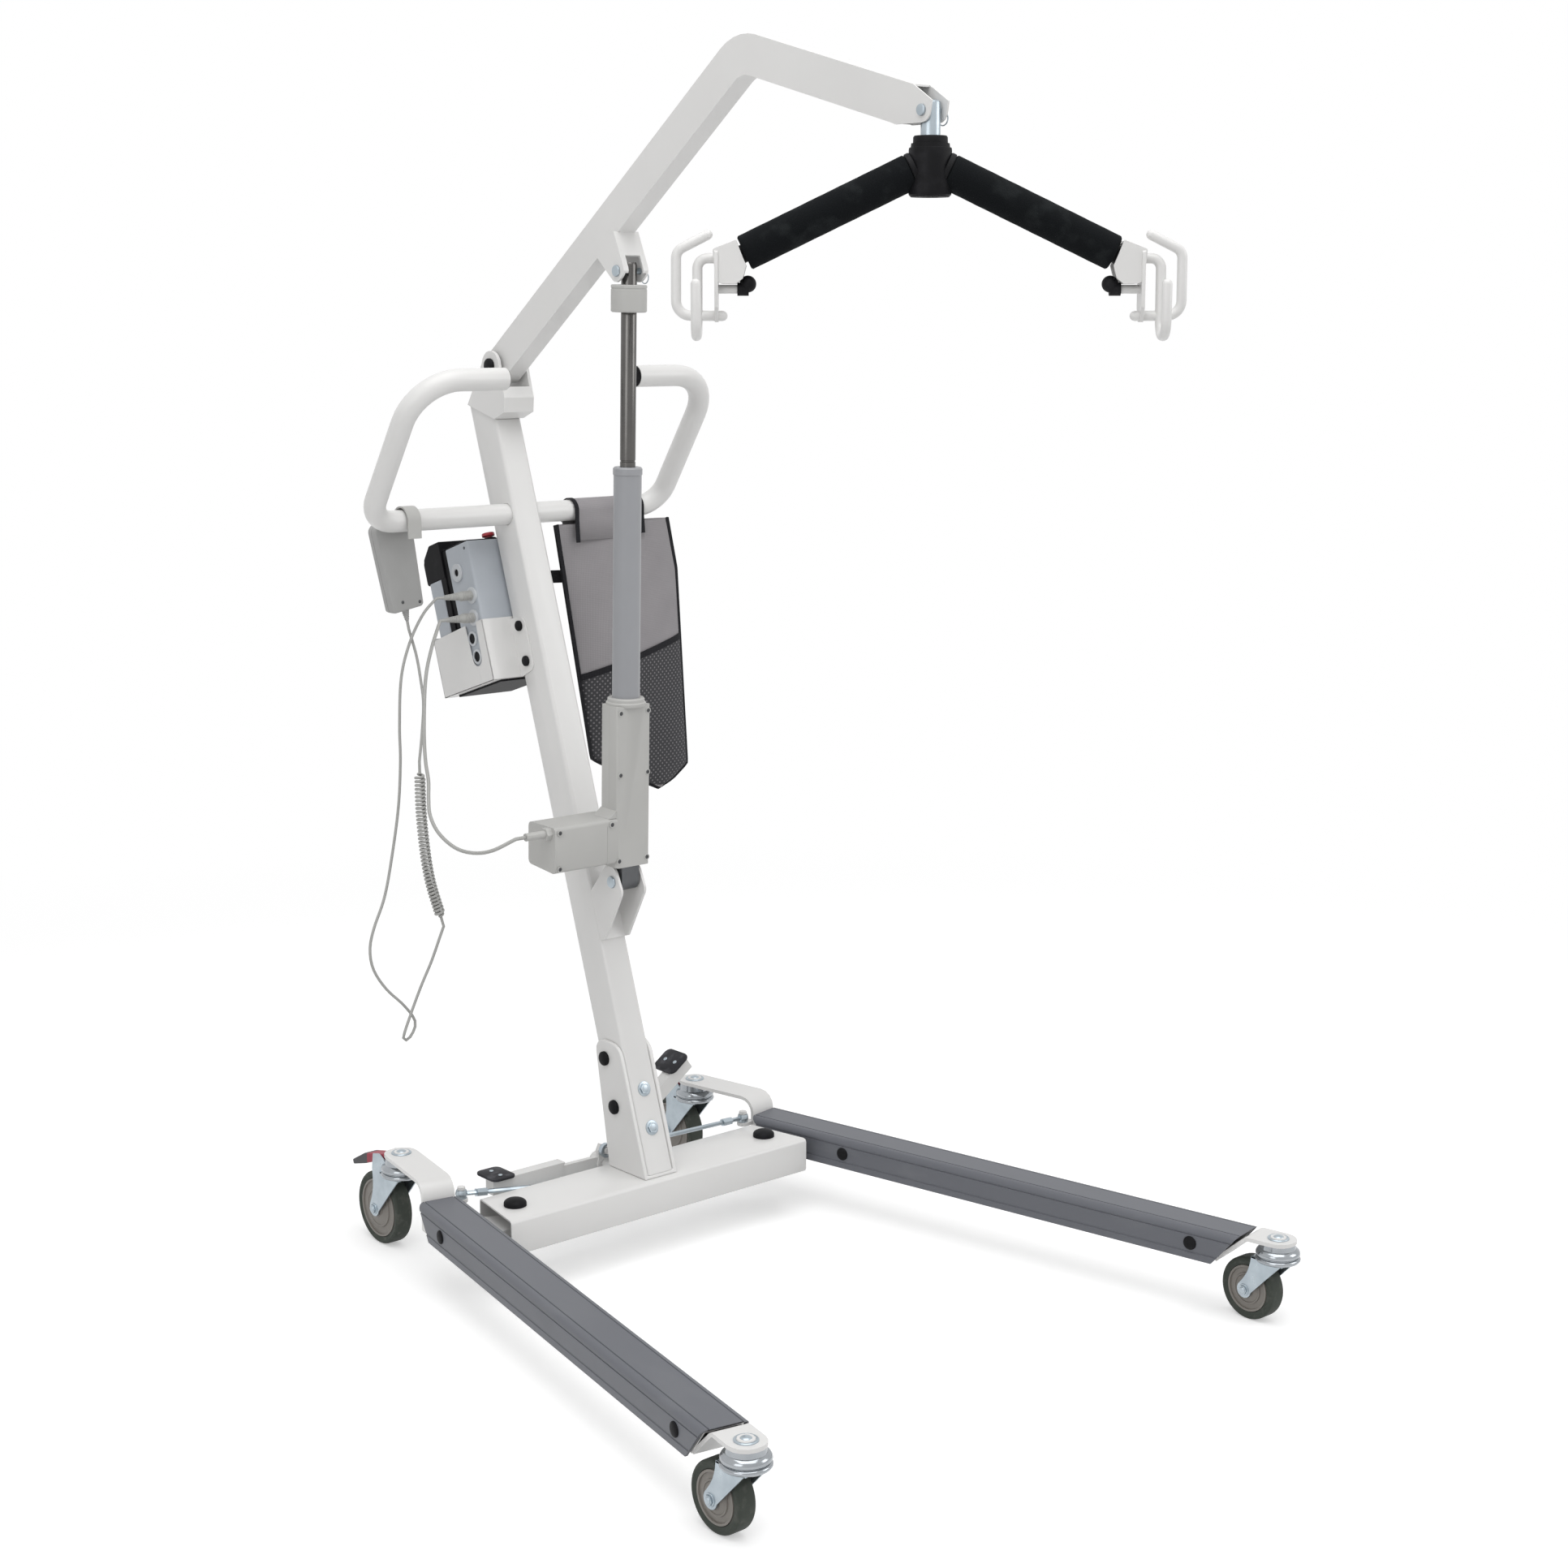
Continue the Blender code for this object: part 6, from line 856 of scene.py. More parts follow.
def cap_pairs(points, radius, height, skirt, foot=0.0005):
    """Domes at points on the left side and at their mirror images."""
    caps = []
    for side in (-1, 1):
        for x, y, z in points:
            caps += dome(facing((side * x, y, z), along_x * side), radius, height, skirt, foot)
    return caps


show(cap_pairs([(foot_half, 0.0611, 0.3223), (foot_half, 0.0358, 0.2438)], 0.012, 0.0075, 0.45),
    "foot_bolt_caps", "base", black)
bolts = []
for height in (0.2916, 0.2262):
    place = facing(on_mast(0, 0, height), -mast_back)
    bolts += turned([(0.0124, -0.0005), (0.0124, 0.0012), (0.0112, 0.0016)], place)
    bolts += hexagon(place, 0.0092, 0.0014, 0.0046)
    bolts += dome(place @ Matrix.Translation((0, 0, 0.0044)), 0.007, 0.0012, 0.1, 0)
show(bolts, "foot_front_bolts", "base", zinc, edge=0.0004)


# The boom is one bent box tube, white like the mast, with a bracket for the actuator welded under it. It
# turns on a bolt with black caps at the mast's head, and zinc pins with pull rings hold what it carries.
boom_first, boom_second, boom_droop = 0.7859, 0.3992, 0.2671
cap_out = 0.0303
ring_radius = 0.0095

boom_bend = boom_pivot + boom_out * boom_first
tip = boom_bend + Vector((0, -math.cos(boom_droop), -math.sin(boom_droop))) * boom_second
cast("boom", white_paint, 0.0014)
show(cap_pairs([boom_pivot + along_x * cap_out], 0.0125, 0.007, 0.5, cap_out + hairline), "boom_bolt_caps",
    "base", black, ["boom_pivot_bolt"])


def ring_pin(name, centre, radius, half, head, body):
    """Zinc pin across a bracket with a head on the right and a pull ring on the left."""
    start, end = -half - hairline, half + 0.0093
    hang = centre + along_x * (end - 0.003) - up * ring_radius
    loop = [hang + (along_y * c + up * s) * ring_radius for c, s in circle(36)]
    show(turned([(head * 0.72, start - 0.004), (head * 0.94, start - 0.003), (head, start - 0.0018),
        (head, start), (radius, start), (radius, end - 0.001), (radius - 0.001, end)],
        placed(centre, along_y, up, along_x), 32) + swept(loop, 0.0009, 8, ring=True), name + "_finished",
        body, zinc, [name])


ring_pin("rod_pin", rod_pin, 0.005, 0.0245, 0.009, "boom")
ring_pin("tip_pin", tip, 0.006, 0.017, 0.008, "boom")
ring_pin("lower_pin", actuator_pin, 0.006, 0.026, 0.01, "base")


# The electric actuator stands between the mast and the boom: a pale plastic housing with the motor at
# its side, a painted tube, and a bright chromed rod in a plastic collar.
tube_top = 0.6785
tube_inner, tube_outer, tube_ring = 0.0195, 0.0225, 0.0236
rod_radius = 0.0125
collar_top = (rod_pin - actuator_pin).length - 0.021
collar_bore, collar_radius, collar_groove = 0.0128, 0.0285, 0.0277
pale = ((0.48, 0.478, 0.462), (0.44, 0.438, 0.424))

beige = mottled("pale_plastic", "beige_plastic", pale, (18, 3), (1200, 2), (0.4, 0.14), 0.00005)
tube_grey = mottled("tube_paint", "actuator_tube", ((0.315, 0.322, 0.34), (0.285, 0.29, 0.305)), (14, 3),
    (900, 2), (0.36, 0.12), 0.00004, {"Coat Weight": 0.15})
# The chrome's dark grey colour is a painted reflection: it stands in for the darker surroundings that the
# rod mirrors.
chrome = mottled("chrome_plate", "chrome", ((0.135, 0.131, 0.126), (0.1, 0.097, 0.094)), (40, 3),
    (900, 2, (1, 1, 6)), (0.14, 0.12), 0.00001, {"Metallic": 1.0}, hazy=True)
dark_screw = mottled("screw_steel", "zinc", ((0.11, 0.112, 0.115), (0.06, 0.062, 0.066)), (1500, 2),
    (1500, 2), (0.36, 0.2), fixed={"Metallic": 0.75})


def eye_and_housing(point):
    """Pale plastic down to the foot of the housing, then the dark cast metal of the eye below it."""
    fine = grain(point, 1200, 2)
    height = point.node("VectorMath", {"operation": "DOT_PRODUCT"}, {0: point, 1: rod_up}, "Value")
    below = between(height, rod_up.dot(actuator_pin) + 0.0272, rod_up.dot(actuator_pin) + 0.0276)
    metal = mixed(grain(point, 60, 4), (0.15, 0.155, 0.16), (0.09, 0.094, 0.1))
    return {"Base Color": mixed(below, metal, mixed(grain(point, 18, 3), *pale)),
        "Metallic": 0.8 * (1 - below), "Roughness": 0.4 + fine * 0.14, "Normal": relief(fine, 0.00005)}


housing = finish_of("housing_and_eye", "beige_plastic", eye_and_housing)
cast("actuator_body", housing, 0.0016)
flange = turned([(0.0226, 0.293), (0.0318, 0.293), (0.0326, 0.2946), (0.0326, 0.2984), (0.0314, 0.2996),
    (0.03, 0.3002), (0.03, 0.3046), (0.0282, 0.3066), (0.0226, 0.3066)], actuator, 56, True)
for x, low, high in ((0.0337, 0.03, 0.292), (-0.0337, 0.114, 0.292)):
    flange += block(-0.0008, low, 0.0008, high, min(x, x * 0.99), max(x, x * 0.99),
        placed(actuator_pin, rod_back, rod_up, along_x))
show(flange, "housing_flange", "actuator", beige, edge=0.0003)
screws, screw_sleeves = [], []
for x, height in ((-0.0275, 0.285), (0.0275, 0.285), (-0.0275, 0.183), (0.0275, 0.183), (0.0275, 0.04),
        (-0.029, 0.04), (-0.044, 0.1035), (-0.148, 0.1035), (-0.148, 0.044)):
    spot = facing(actuator @ Vector((x, -0.0235, height)), -rod_back)
    screws += turned([(0.0034, -0.0004), (0.0034, 0.0003), (0.0026, 0.0008), (0.0012, 0.0008),
        (0.001, 0.0001), (0.0001, 0.0001)], spot, 20)
    screw_sleeves += turned([(0.0035, -0.0002), (0.0052, -0.0002), (0.0049, 0.0008), (0.0035, 0.0008)],
        spot, 24, True)
show(screws, "housing_screws", "actuator", dark_screw)
show(screw_sleeves, "screw_sleeves", "actuator", beige)
shoulder = prism([(-0.03, 0.112), (-0.048, 0.112), (-0.0335, 0.1245), (-0.03, 0.1245)], -0.02, 0.022,
    placed(actuator_pin, along_x, rod_up, rod_back))
shoulder += block(-0.053, 0.038, -0.0516, 0.102, 0.0223, 0.0232, placed(actuator_pin, along_x, rod_up,
    -rod_back))
show(shoulder, "motor_shoulder", "actuator", beige, edge=0.001)
show(turned([(0.0066, -0.001), (0.0112, -0.001), (0.0112, 0.0085), (0.0102, 0.01), (0.0066, 0.01)],
    placed(gland_root, rod_back, rod_up, -along_x), 6, True), "gland_nut", "actuator", beige, edge=0.0006)
show(turned([(tube_inner, 0.2913), (tube_outer, 0.2913), (tube_outer, tube_top - 0.013),
    (tube_ring, tube_top - 0.012), (tube_ring, tube_top - 0.0026), (0.0212, tube_top), (0.0129, tube_top),
    (0.0129, tube_top - 0.01), (tube_inner, tube_top - 0.01)], actuator, 56, True), "tube", "actuator",
    tube_grey, ["actuator_tube"])
show(turned([(rod_radius, tube_top - 0.03), (rod_radius, tube_top + 0.008), (0.0117, tube_top + 0.0086),
    (0.0117, tube_top + 0.0102), (rod_radius, tube_top + 0.0108), (rod_radius, collar_top + 0.03),
    (0.0105, collar_top + 0.0345)], actuator), "chromed_rod", "piston", chrome, ["piston_rod"])
collar = ((collar_bore, 0.0425), (0.0262, 0.0425), (0.0283, 0.041), (collar_radius, 0.0395),
    (collar_radius, 0.0075), (collar_groove, 0.0068), (collar_groove, 0.0054), (collar_radius, 0.0046),
    (collar_radius, 0.0012), (0.0272, 0), (collar_bore, 0))
show(turned([(reach, collar_top - below) for reach, below in collar], actuator, 56), "rod_collar",
    "piston", beige)


# The push handle is one bent round tube that runs through the mast, white, with its two upper ends
# turned in towards each other and closed by black plugs.
handle_radius = 0.018
bar_y, bar_z = 0.3275, 1.211
handle_half = 0.2955
grip_y, grip_z = 0.1725, 1.441
grip_end = 0.131
upper_bend, lower_bend = 0.08, 0.046

show(swept(bent([(-grip_end, grip_y, grip_z, 0), (-handle_half, grip_y, grip_z, upper_bend),
    (-handle_half, bar_y, bar_z, lower_bend), (handle_half, bar_y, bar_z, lower_bend),
    (handle_half, grip_y, grip_z, upper_bend), (grip_end, grip_y, grip_z, 0)]), handle_radius, 40),
    "push_handle", "base", white_paint, ["handle_bar"], sharp=50)
ends = [facing((side * grip_end, grip_y, grip_z), -along_x * side) for side in (-1, 1)]
show(dome(ends[0], 0.0172, 0.0036, 0.3) + dome(ends[1], 0.0172, 0.0036, 0.3), "handle_plugs", "base",
    black)


# A folded white tray bolted to the mast holds the control box, and the battery stands behind it. Both
# are grey-blue plastic with pale sockets. A red button on the box stops the lift.
box_right = 0.039
box_front, box_back = 0.0735, 0.1435
box_top = 1.2515
battery_front, battery_back = 0.16, 0.2155
battery_top = 1.271
case_front = battery_front + 0.015
cap_low = 1.208
tray_left, tray_right, tray_front, tray_back = -0.0855, 0.0425, 0.07, 0.2276
tray_low, tray_top, tray_wall = 1.0105, 1.1155, 0.002
tray_flange = 0.018
opening_front, opening_back = 0.09, 0.2076
box_low = tray_low + tray_wall + 0.0015
notch_half, notch_middle = 0.014, 0.1065
flange_x = 0.029

box_grey = mottled("box_plastic", "box_plastic", ((0.44, 0.47, 0.508), (0.385, 0.414, 0.45)), (22, 3),
    (1200, 2), (0.42, 0.14), 0.00006)
socket_pale = mottled("socket_plastic", "box_plastic", ((0.56, 0.58, 0.6), (0.48, 0.5, 0.525)), (90, 3),
    (1200, 2), (0.36, 0.12), 0.00004)
red_plastic = mottled("stop_button_plastic", "red_plastic", ((0.36, 0.016, 0.03), (0.42, 0.03, 0.044)),
    (700, 2), (700, 2), (0.3, 0.1), 0.00003)
mast_place = placed(mast_foot_line, along_x, mast_back, mast_up)
mast_side = placed(mast_foot_line, mast_back, mast_up, along_x)

notch = [(opening_front, tray_top)] + arc((notch_middle, 1.056), notch_half, math.pi, 2 * math.pi, 12)
notch.append((0.1235, tray_top))
front_part = [(tray_front, tray_low), (notch_middle, tray_low)] + notch[7::-1] + [(tray_front, tray_top)]
rear_part = [(notch_middle, tray_low), (tray_back, tray_low), (tray_back, tray_top - 0.004)] + notch[:6:-1]
tray = prism(front_part, tray_left, tray_left + tray_wall, mast_side)
tray += prism(rear_part, tray_left, tray_left + tray_wall, mast_side)
tray += block(tray_front, tray_low, tray_back, tray_top, tray_right - tray_wall, tray_right, mast_side)
for back in (tray_front, tray_back - tray_wall):
    tray += block(tray_left, back, tray_right, back + tray_wall, tray_low, tray_top, mast_place)
floor_strips = ((tray_left, tray_front, tray_right, opening_front), (tray_left, opening_back, tray_right,
    tray_back), (tray_left, opening_front, tray_left + tray_flange, opening_back),
    (tray_right - tray_flange, opening_front, tray_right, opening_back))
for corners in floor_strips:
    tray += block(*corners, tray_low, tray_low + tray_wall, mast_place)
for low in (0.0261, -0.0286):
    tray += prism(bent([(0.03, tray_low + 0.006, 0.012), (tray_front + 0.001, tray_low, 0),
        (tray_front + 0.001, tray_top - 0.004, 0), (0.03, tray_top - 0.01, 0.012)], 6), low, low + 0.0025,
        mast_side)
show(tray, "folded_tray", "base", white_paint, ["control_tray"], edge=0.0006)


def case(front, back, radii, levels, front_share, steps):
    """Upright case between the box's sides. Its front takes a share of the inset at each level."""
    rows = []
    for height, inset in levels:
        left, right, ahead = box_left + inset, box_right - inset, front + inset * front_share
        front_radius = radii[0] - inset * front_share
        outline = bent([(left, ahead, front_radius), (right, ahead, front_radius),
            (right, back - inset, radii[1]), (left, back - inset, radii[1])], steps)
        rows.append([mast_place @ Vector((x, y, height)) for x, y in outline])
    return [(rows, False)]


show(case(box_front, box_back, (0.005, 0.003), ((box_low, 0), (box_top - 0.002, 0),
    (box_top - 0.0006, 0.0006), (box_top, 0.002)), 1, 5), "box_shell", "base", box_grey, ["control_box"])
show(block(box_back - 0.002, box_low + 0.004, battery_front - hairline, box_top + 0.003, box_left + 0.004,
    box_right - 0.004, mast_side), "battery_interface", "base", black, edge=0.001)
show(case(case_front, battery_back, (0.002, 0.01), ((box_low, 0.001), (box_low + 0.001, 0),
    (cap_low - 0.0014, 0), (cap_low - 0.0004, 0.001)), 0, 6), "battery_case", "battery", box_grey,
    ["battery_pack"])
cap = prism(bent([(battery_front, cap_low, 0), (battery_back - 0.0005, cap_low, 0),
    (battery_back - 0.0005, battery_top - 0.02, 0.008), (battery_back - 0.024, battery_top, 0.005),
    (battery_front, battery_top, 0)], 6), box_left + 0.0006, box_right - 0.0006, mast_side)
cap += block(battery_front, box_low, case_front - 0.0002, cap_low + 0.002, box_left + 0.0016, box_right -
    0.0016, mast_side)
cap += prism(bent([(battery_back - 0.004, 1.204, 0), (battery_back + 0.0104, 1.208, 0.006),
    (battery_back + 0.0104, 1.25, 0.012), (battery_back - 0.004, 1.256, 0)], 6), box_left + 0.006,
    box_right - 0.006, mast_side)
show(cap, "battery_cap", "battery", black, edge=0.0012)
# A thin black slab under the tray's floor is painted shade beneath the tray.
show(block(tray_front + 0.003, tray_low - 0.0035, tray_back - 0.02, tray_low + 0.001, tray_left + 0.016,
    tray_right - 0.003, mast_side), "tray_underside_shade", "base", black, edge=0.0008)


def on_box(back, height):
    """Place on the box's right side, w out of it."""
    return facing(on_mast(box_left, back, height), -along_x)


show(turned([(0.0024, -0.0006), (0.0024, 0.0003), (0.001, 0.0003), (0.0009, -0.0004), (0.0001, -0.0004)],
    on_box(box_front + 0.011, box_top - 0.01), 20), "box_screw", "base", black)
collars, holes = [], []
sockets = ((0.118, 1.2065, 0.0155, 0.0062, True), (0.089, 1.1605, 0.014, 0.008, False),
    (0.096, 1.1235, 0.014, 0.008, False), (0.111, 1.0905, 0.0128, 0.009, True),
    (0.107, 1.0585, 0.0128, 0.009, True))
for back, height, outer, inner, empty in sockets:
    place = on_box(back, height)
    collars += turned([(inner, -0.001), (outer, -0.001), (outer, 0.002), (outer - 0.0012, 0.003),
        (inner + 0.0006, 0.0034), (inner, 0.0028)], place, 36, True)
    # Black dished discs in the empty sockets are painted shade inside their holes.
    if empty:
        holes += turned([(inner + 0.0001, -0.001), (inner + 0.0001, 0.0012), (inner * 0.6, 0.0006),
            (0.0001, 0.0006)], place, 24)
show(collars, "socket_collars", "base", socket_pale)
show(holes, "empty_socket_shade", "base", black)
show(block(box_left + 0.004, box_back + 0.0164, box_right - 0.004, box_front + 0.006, box_top - 0.0002,
    box_top + 0.003, mast_place), "box_lid", "base", black, edge=0.0012)
show(cap_pairs([on_mast(flange_x, 0.047, height) for height in (1.0941, 1.0334)], 0.0088, 0.0058, 0.45),
    "tray_bolt_caps", "base", black)
button = mast_place @ Matrix.Translation((-0.022, 0.094, box_top))
show(turned([(0.0066, 0.0064), (0.0066, 0.0086), (0.0105, 0.0088), (0.011, 0.0094), (0.011, 0.013),
    (0.0102, 0.0145), (0.0075, 0.015), (0.0001, 0.0148)], button, 40), "stop_button", "estop", red_plastic,
    ["estop_button"])
show(turned([(0.0074, 0.0028), (0.0128, 0.0028), (0.0128, 0.0044), (0.0116, 0.0054), (0.0074, 0.0054)],
    button, 40, True), "stop_button_seat", "base", black)


# The hanger is a bright steel post that swings on the boom's tip pin. A black plastic hub turns on it,
# with an arm on each side inside a sleeve of black closed-cell foam.
spreader_turn = -0.7139
arm_along = Vector((math.cos(spreader_turn), math.sin(spreader_turn), 0))
to_front = arm_along.cross(up)
post_top = 0.0135
hub_top = 0.0335
hub_bottom = hub_top + 0.081
hub_bore, hub_neck, hub_shoulder, hub_radius = 0.014, 0.0262, 0.029, 0.0295
arm_slope = 0.447
arm_radius = 0.0125
sleeve_bore = 0.0128
foam_length = 0.255
foam_radius = 0.0245


def foam_skin(point):
    pores = point.node("TexVoronoi", {}, {"Vector": point, "Scale": 620.0}, "Distance")
    fine = grain(point, 420, 4)
    worn = between(grain(point, 30, 5), 0.5, 0.72)
    return {"Base Color": mixed(worn, (0.006, 0.007, 0.008), (0.014, 0.016, 0.017)), "Roughness": 0.78 +
        fine * 0.18, "Specular IOR Level": 0.09, "Normal": relief(pores + fine * 0.8, 0.0002)}


foam = finish_of("closed_cell_foam", "foam", foam_skin)


def hang_point(side, out, below, front=0.0):
    """Out along an arm, below the tip pin, towards the front."""
    return tip + arm_along * side * out + to_front * front - up * below


def arm_place(side):
    """Place at the root of an arm, w along the arm."""
    along = (arm_along * side * math.cos(arm_slope) - up * math.sin(arm_slope)).normalized()
    return placed(hang_point(side, 0.023, 0.079), to_front, along.cross(to_front).normalized(), along)


show(turned([(0.019, -0.1065), (0.019, -0.1025), (0.0135, -0.1025), (0.0135, post_top - 0.004),
    (0.0126, post_top - 0.0016), (0.01, post_top)], upright(tip)), "hanger_post_finished", "hanger", zinc,
    ["hanger_post"])
hub = turned([(hub_bore, -hub_bottom), (hub_neck, -hub_bottom), (hub_shoulder, -hub_bottom + 0.003),
    (hub_radius, -hub_bottom + 0.007), (hub_radius, -hub_top - 0.019), (hub_shoulder, -hub_top - 0.016),
    (0.0268, -hub_top - 0.015), (hub_neck, -hub_top - 0.01), (0.0238, -hub_top - 0.0094),
    (0.0235, -hub_top - 0.002), (0.0222, -hub_top), (hub_bore, -hub_top)], upright(tip), 64, True)
for side in (-1, 1):
    place = arm_place(side)
    hub += swept([place @ Vector((0, 0, reach)) for reach in (0, foam_length + 0.014)], arm_radius, 24)
    hub += turned([(arm_radius + 0.0001, -0.004), (foam_radius - 0.001, -0.004), (foam_radius, -0.002),
        (foam_radius, 0.0024), (foam_radius - 0.001, 0.0036), (arm_radius + 0.0001, 0.0036)], place, 40,
        True)
show(hub, "hub_and_arms", "spreader", black, ["spreader_hub"])
for side, word in sides:
    profile = [(sleeve_bore, 0.004), (foam_radius - 0.002, 0.004)]
    for step in range(41):
        share = step / 40
        uneven = 0.00008 * math.sin(37 * share) + 0.00006 * math.sin(91 * share + side)
        profile.append((foam_radius + uneven, 0.006 + share * (foam_length - 0.008)))
    profile += [(foam_radius - 0.0022, foam_length), (sleeve_bore, foam_length)]
    sleeve = show(turned(profile, arm_place(side), 48, True), "foam_sleeve_" + word, "spreader", foam,
        ["foam_" + word], sharp=60)


# At each end of the spreader a welded white frame carries two round-bar hooks, one closed upward and one
# turned forward, and a peg with a black ball on it that keeps a sling's loop from slipping off.
hook_radius = 0.007
peg_below = 0.2375
plate_half = 0.024


def end_hooks(side, word):
    def at(*place):
        return hang_point(side, *place)

    parts = swept(bent([(*at(0.303, 0.1645), 0), (*at(0.3462, 0.1862), 0.016), (*at(0.3468, 0.273), 0.02),
        (*at(0.283, 0.2735), 0)], 9), hook_radius, 24, True)
    parts += swept(bent([(*at(0.29, 0.196, 0.002), 0), (*at(0.317, 0.196, 0.002), 0.014),
        (*at(0.3175, 0.3, 0.004), 0.022), (*at(0.3175, 0.3, 0.06), 0.022), (*at(0.3175, 0.231, 0.062), 0)],
        9), hook_radius, 24, True)
    parts += swept([at(0.2905, peg_below), at(0.256, peg_below)], 0.006, 24)
    side_view = placed(tip, arm_along * side, up, to_front)
    cheek = bent([(0.2915, -0.23, 0.01), (0.296, -0.1838, 0.004), (0.264, -0.1715, 0), (0.25, -0.206, 0),
        (0.2545, -0.223, 0), (0.264, -0.2305, 0)], 6)
    for low in (-0.021, 0.017):
        parts += prism(cheek, low, low + 0.004, side_view)
    parts += prism([(0.2875, -0.2285), (0.293, -0.185), (0.266, -0.1722), (0.264, -0.176),
        (0.2885, -0.188), (0.284, -0.2285)], -0.0175, 0.0175, side_view)
    parts += prism(bent([(-plate_half, -0.186, 0.003), (plate_half, -0.186, 0.003),
        (plate_half, -0.262, 0.006), (0.01, -0.282, 0.004), (-0.01, -0.282, 0.004),
        (-plate_half, -0.262, 0.006)], 4), 0.2885, 0.2935, placed(tip, to_front, up, arm_along * side))
    show(parts, "end_hooks_" + word, "spreader", white_paint, ["end_frame_" + word], edge=0.0005)
    ball = arc((0, 0), 0.0115, math.pi / 28 - math.pi / 2, math.pi / 2 - math.pi / 28, 13)
    show(swept([at(0.2625, peg_below), at(0.247, peg_below)], 0.009, 28) +
        turned(ball, upright(at(0.248, 0.2305)), 28), "ball_" + word, "spreader", black,
        ["ball_cap_" + word])


for side, word in sides:
    end_hooks(side, word)


# The hand control is a pale grey moulding in two halves. It hangs by a plastic hook over the handle's
# lower bar, has two dark buttons on its face, and a ribbed sleeve where the cord comes out.
hand_face = 0.0135
hand_half = 0.075
top_half, foot_width = 0.037, 0.031
hook_wall = 0.003
hook_middle = handle_radius + 1.5 * hook_wall
button_half = 0.01

hand_grey = mottled("hand_control_plastic", "cord", ((0.385, 0.385, 0.38), (0.345, 0.345, 0.34)), (30, 3),
    (1300, 2), (0.44, 0.14), 0.00006)
hand_place = placed(hand_middle, hand_across, hand_down, along_y)
rim_levels = [(hand_face, 0.004), (0.0125, 0.0018), (0.01, 0.0004), (0.0006, 0.0), (0.0005, 0.0007)]
hand_levels = [(-depth, inset) for depth, inset in rim_levels] + rim_levels[::-1]
sleeve_profile = [(0.007, 0.073)]
for ring in range(5):
    height = 0.076 + ring * rib_pitch
    radius = 0.0064 - 0.00065 * ring
    sleeve_profile += [(radius, height), (radius, height + 0.0018), (radius - rib_depth, height + 0.0022),
        (radius - rib_depth, height + 0.0034)]
sleeve_profile.append((0.0026, sleeve_end))
show(slab([(-top_half, -hand_half, 0.014), (top_half, -hand_half, 0.014), (foot_width, hand_half, 0.007),
    (-foot_width, hand_half, 0.007)], hand_levels, hand_place, 6) + turned(sleeve_profile,
    placed(hand_middle, hand_across, along_y, hand_down), 28), "hand_control", "base", hand_grey,
    ["pendant_body"], edge=0.0005)


def ribbon(path, width, thickness, across):
    """Flat strip along a path. Its width lies along the given direction at each point."""
    rows = []
    for point, along in zip(path, directions(path)):
        side = across(point)
        side = (side - along * side.dot(along)).normalized()
        normal = along.cross(side)
        rows.append([point + side * u * width / 2 + normal * v * thickness / 2 for u,
            v in ((-1, -1), (1, -1), (1, 1), (-1, 1))])
    return [(rows, False)]


hook = [(bar_y - hook_middle, bar_z - 0.028)] + arc((bar_y, bar_z), hook_middle, math.pi, 0.2, 20)
hook += [(bar_y + handle_radius + 0.006, bar_z - 0.006), (bar_y + handle_radius + 0.006, bar_z - 0.022)]
show(ribbon([Vector((hand_middle.x, y, z)) for y, z in hook], 0.025, hook_wall, lambda point: along_x),
    "hand_control_hook", "base", beige, edge=0.0005)
screws = []
for x, z in ((-0.221, 1.075), (-0.188, 1.074)):
    screws += dome(facing((x, hand_middle.y - hand_face, z), -along_y), 0.0028, 0.001, 0.3)
show(screws, "hand_control_screws", "base", dark_screw)
for level, word in ((-0.022, "up"), (0.014, "down")):
    corners = [(u * button_half, v * button_half, 0.003) for u, v in ((-1, -1), (1, -1), (1, 1), (-1, 1))]
    show(slab(corners, ((0.0103, 0), (0.0146, 0), (0.0155, 0.0012)),
        hand_place @ Matrix.Translation((0, level, 0)), 5, 0), "hand_button_" + word, "button_" + word,
        grip, ["button_" + word])


# The storage bag is a flat pouch of grey cloth, folded over the handle's lower bar in one broad flap. It
# is bound in black, its lower part in front is a black mesh pocket, and a strap ties it to the mast.
bag_middle = 0.322
bag_top, bag_low = 1.188, 0.707
inner_edge = [(bag_top, 0.072), (0.7755, 0.1425), (0.74, 0.21), (bag_low, 0.288)]
outer_edge = [(bag_top, 0.312), (1.098, 0.331), (0.7435, 0.352), (0.72, 0.32), (bag_low, 0.288)]
pocket_low = 0.712
flap_left, flap_right = 0.1035, 0.2495
fold = handle_radius + 0.0016
cloth_thickness = 0.001
strap_start = 0.03


def weave(point, scale):
    """Height of a plain weave whose threads are 1 / scale metres apart."""
    values = {"Vector": point, "Scale": scale / 20 * math.pi, "Distortion": 0.4}
    across, upward = (point.node("TexWave", {"bands_direction": axis}, values) for axis in "XZ")
    return across * upward


def times(colour, pattern):
    return colour.node("Mix", {"data_type": "RGBA", "blend_type": "MULTIPLY"},
        {0: 1.0, 6: colour, 7: pattern}, 2)


def grey_cloth(point):
    threads, fuzz = weave(point, 900), grain(point, 1500, 2)
    colour = mixed(grain(point, 16, 4), (0.372, 0.355, 0.367), (0.3, 0.287, 0.298))
    return {"Base Color": times(colour, mixed(threads, (0.82, 0.82, 0.82), (1, 1, 1))), "Roughness": 0.82 +
        fuzz * 0.12, "Normal": relief(threads + fuzz * 0.3, 0.00025)}


def black_tape(point):
    threads, fuzz = weave(point, 700), grain(point, 1200, 2)
    return {"Base Color": mixed(threads, (0.009, 0.009, 0.011), (0.022, 0.022, 0.026)), "Roughness": 0.8 +
        fuzz * 0.14, "Specular IOR Level": 0.25, "Normal": relief(threads, 0.0003)}


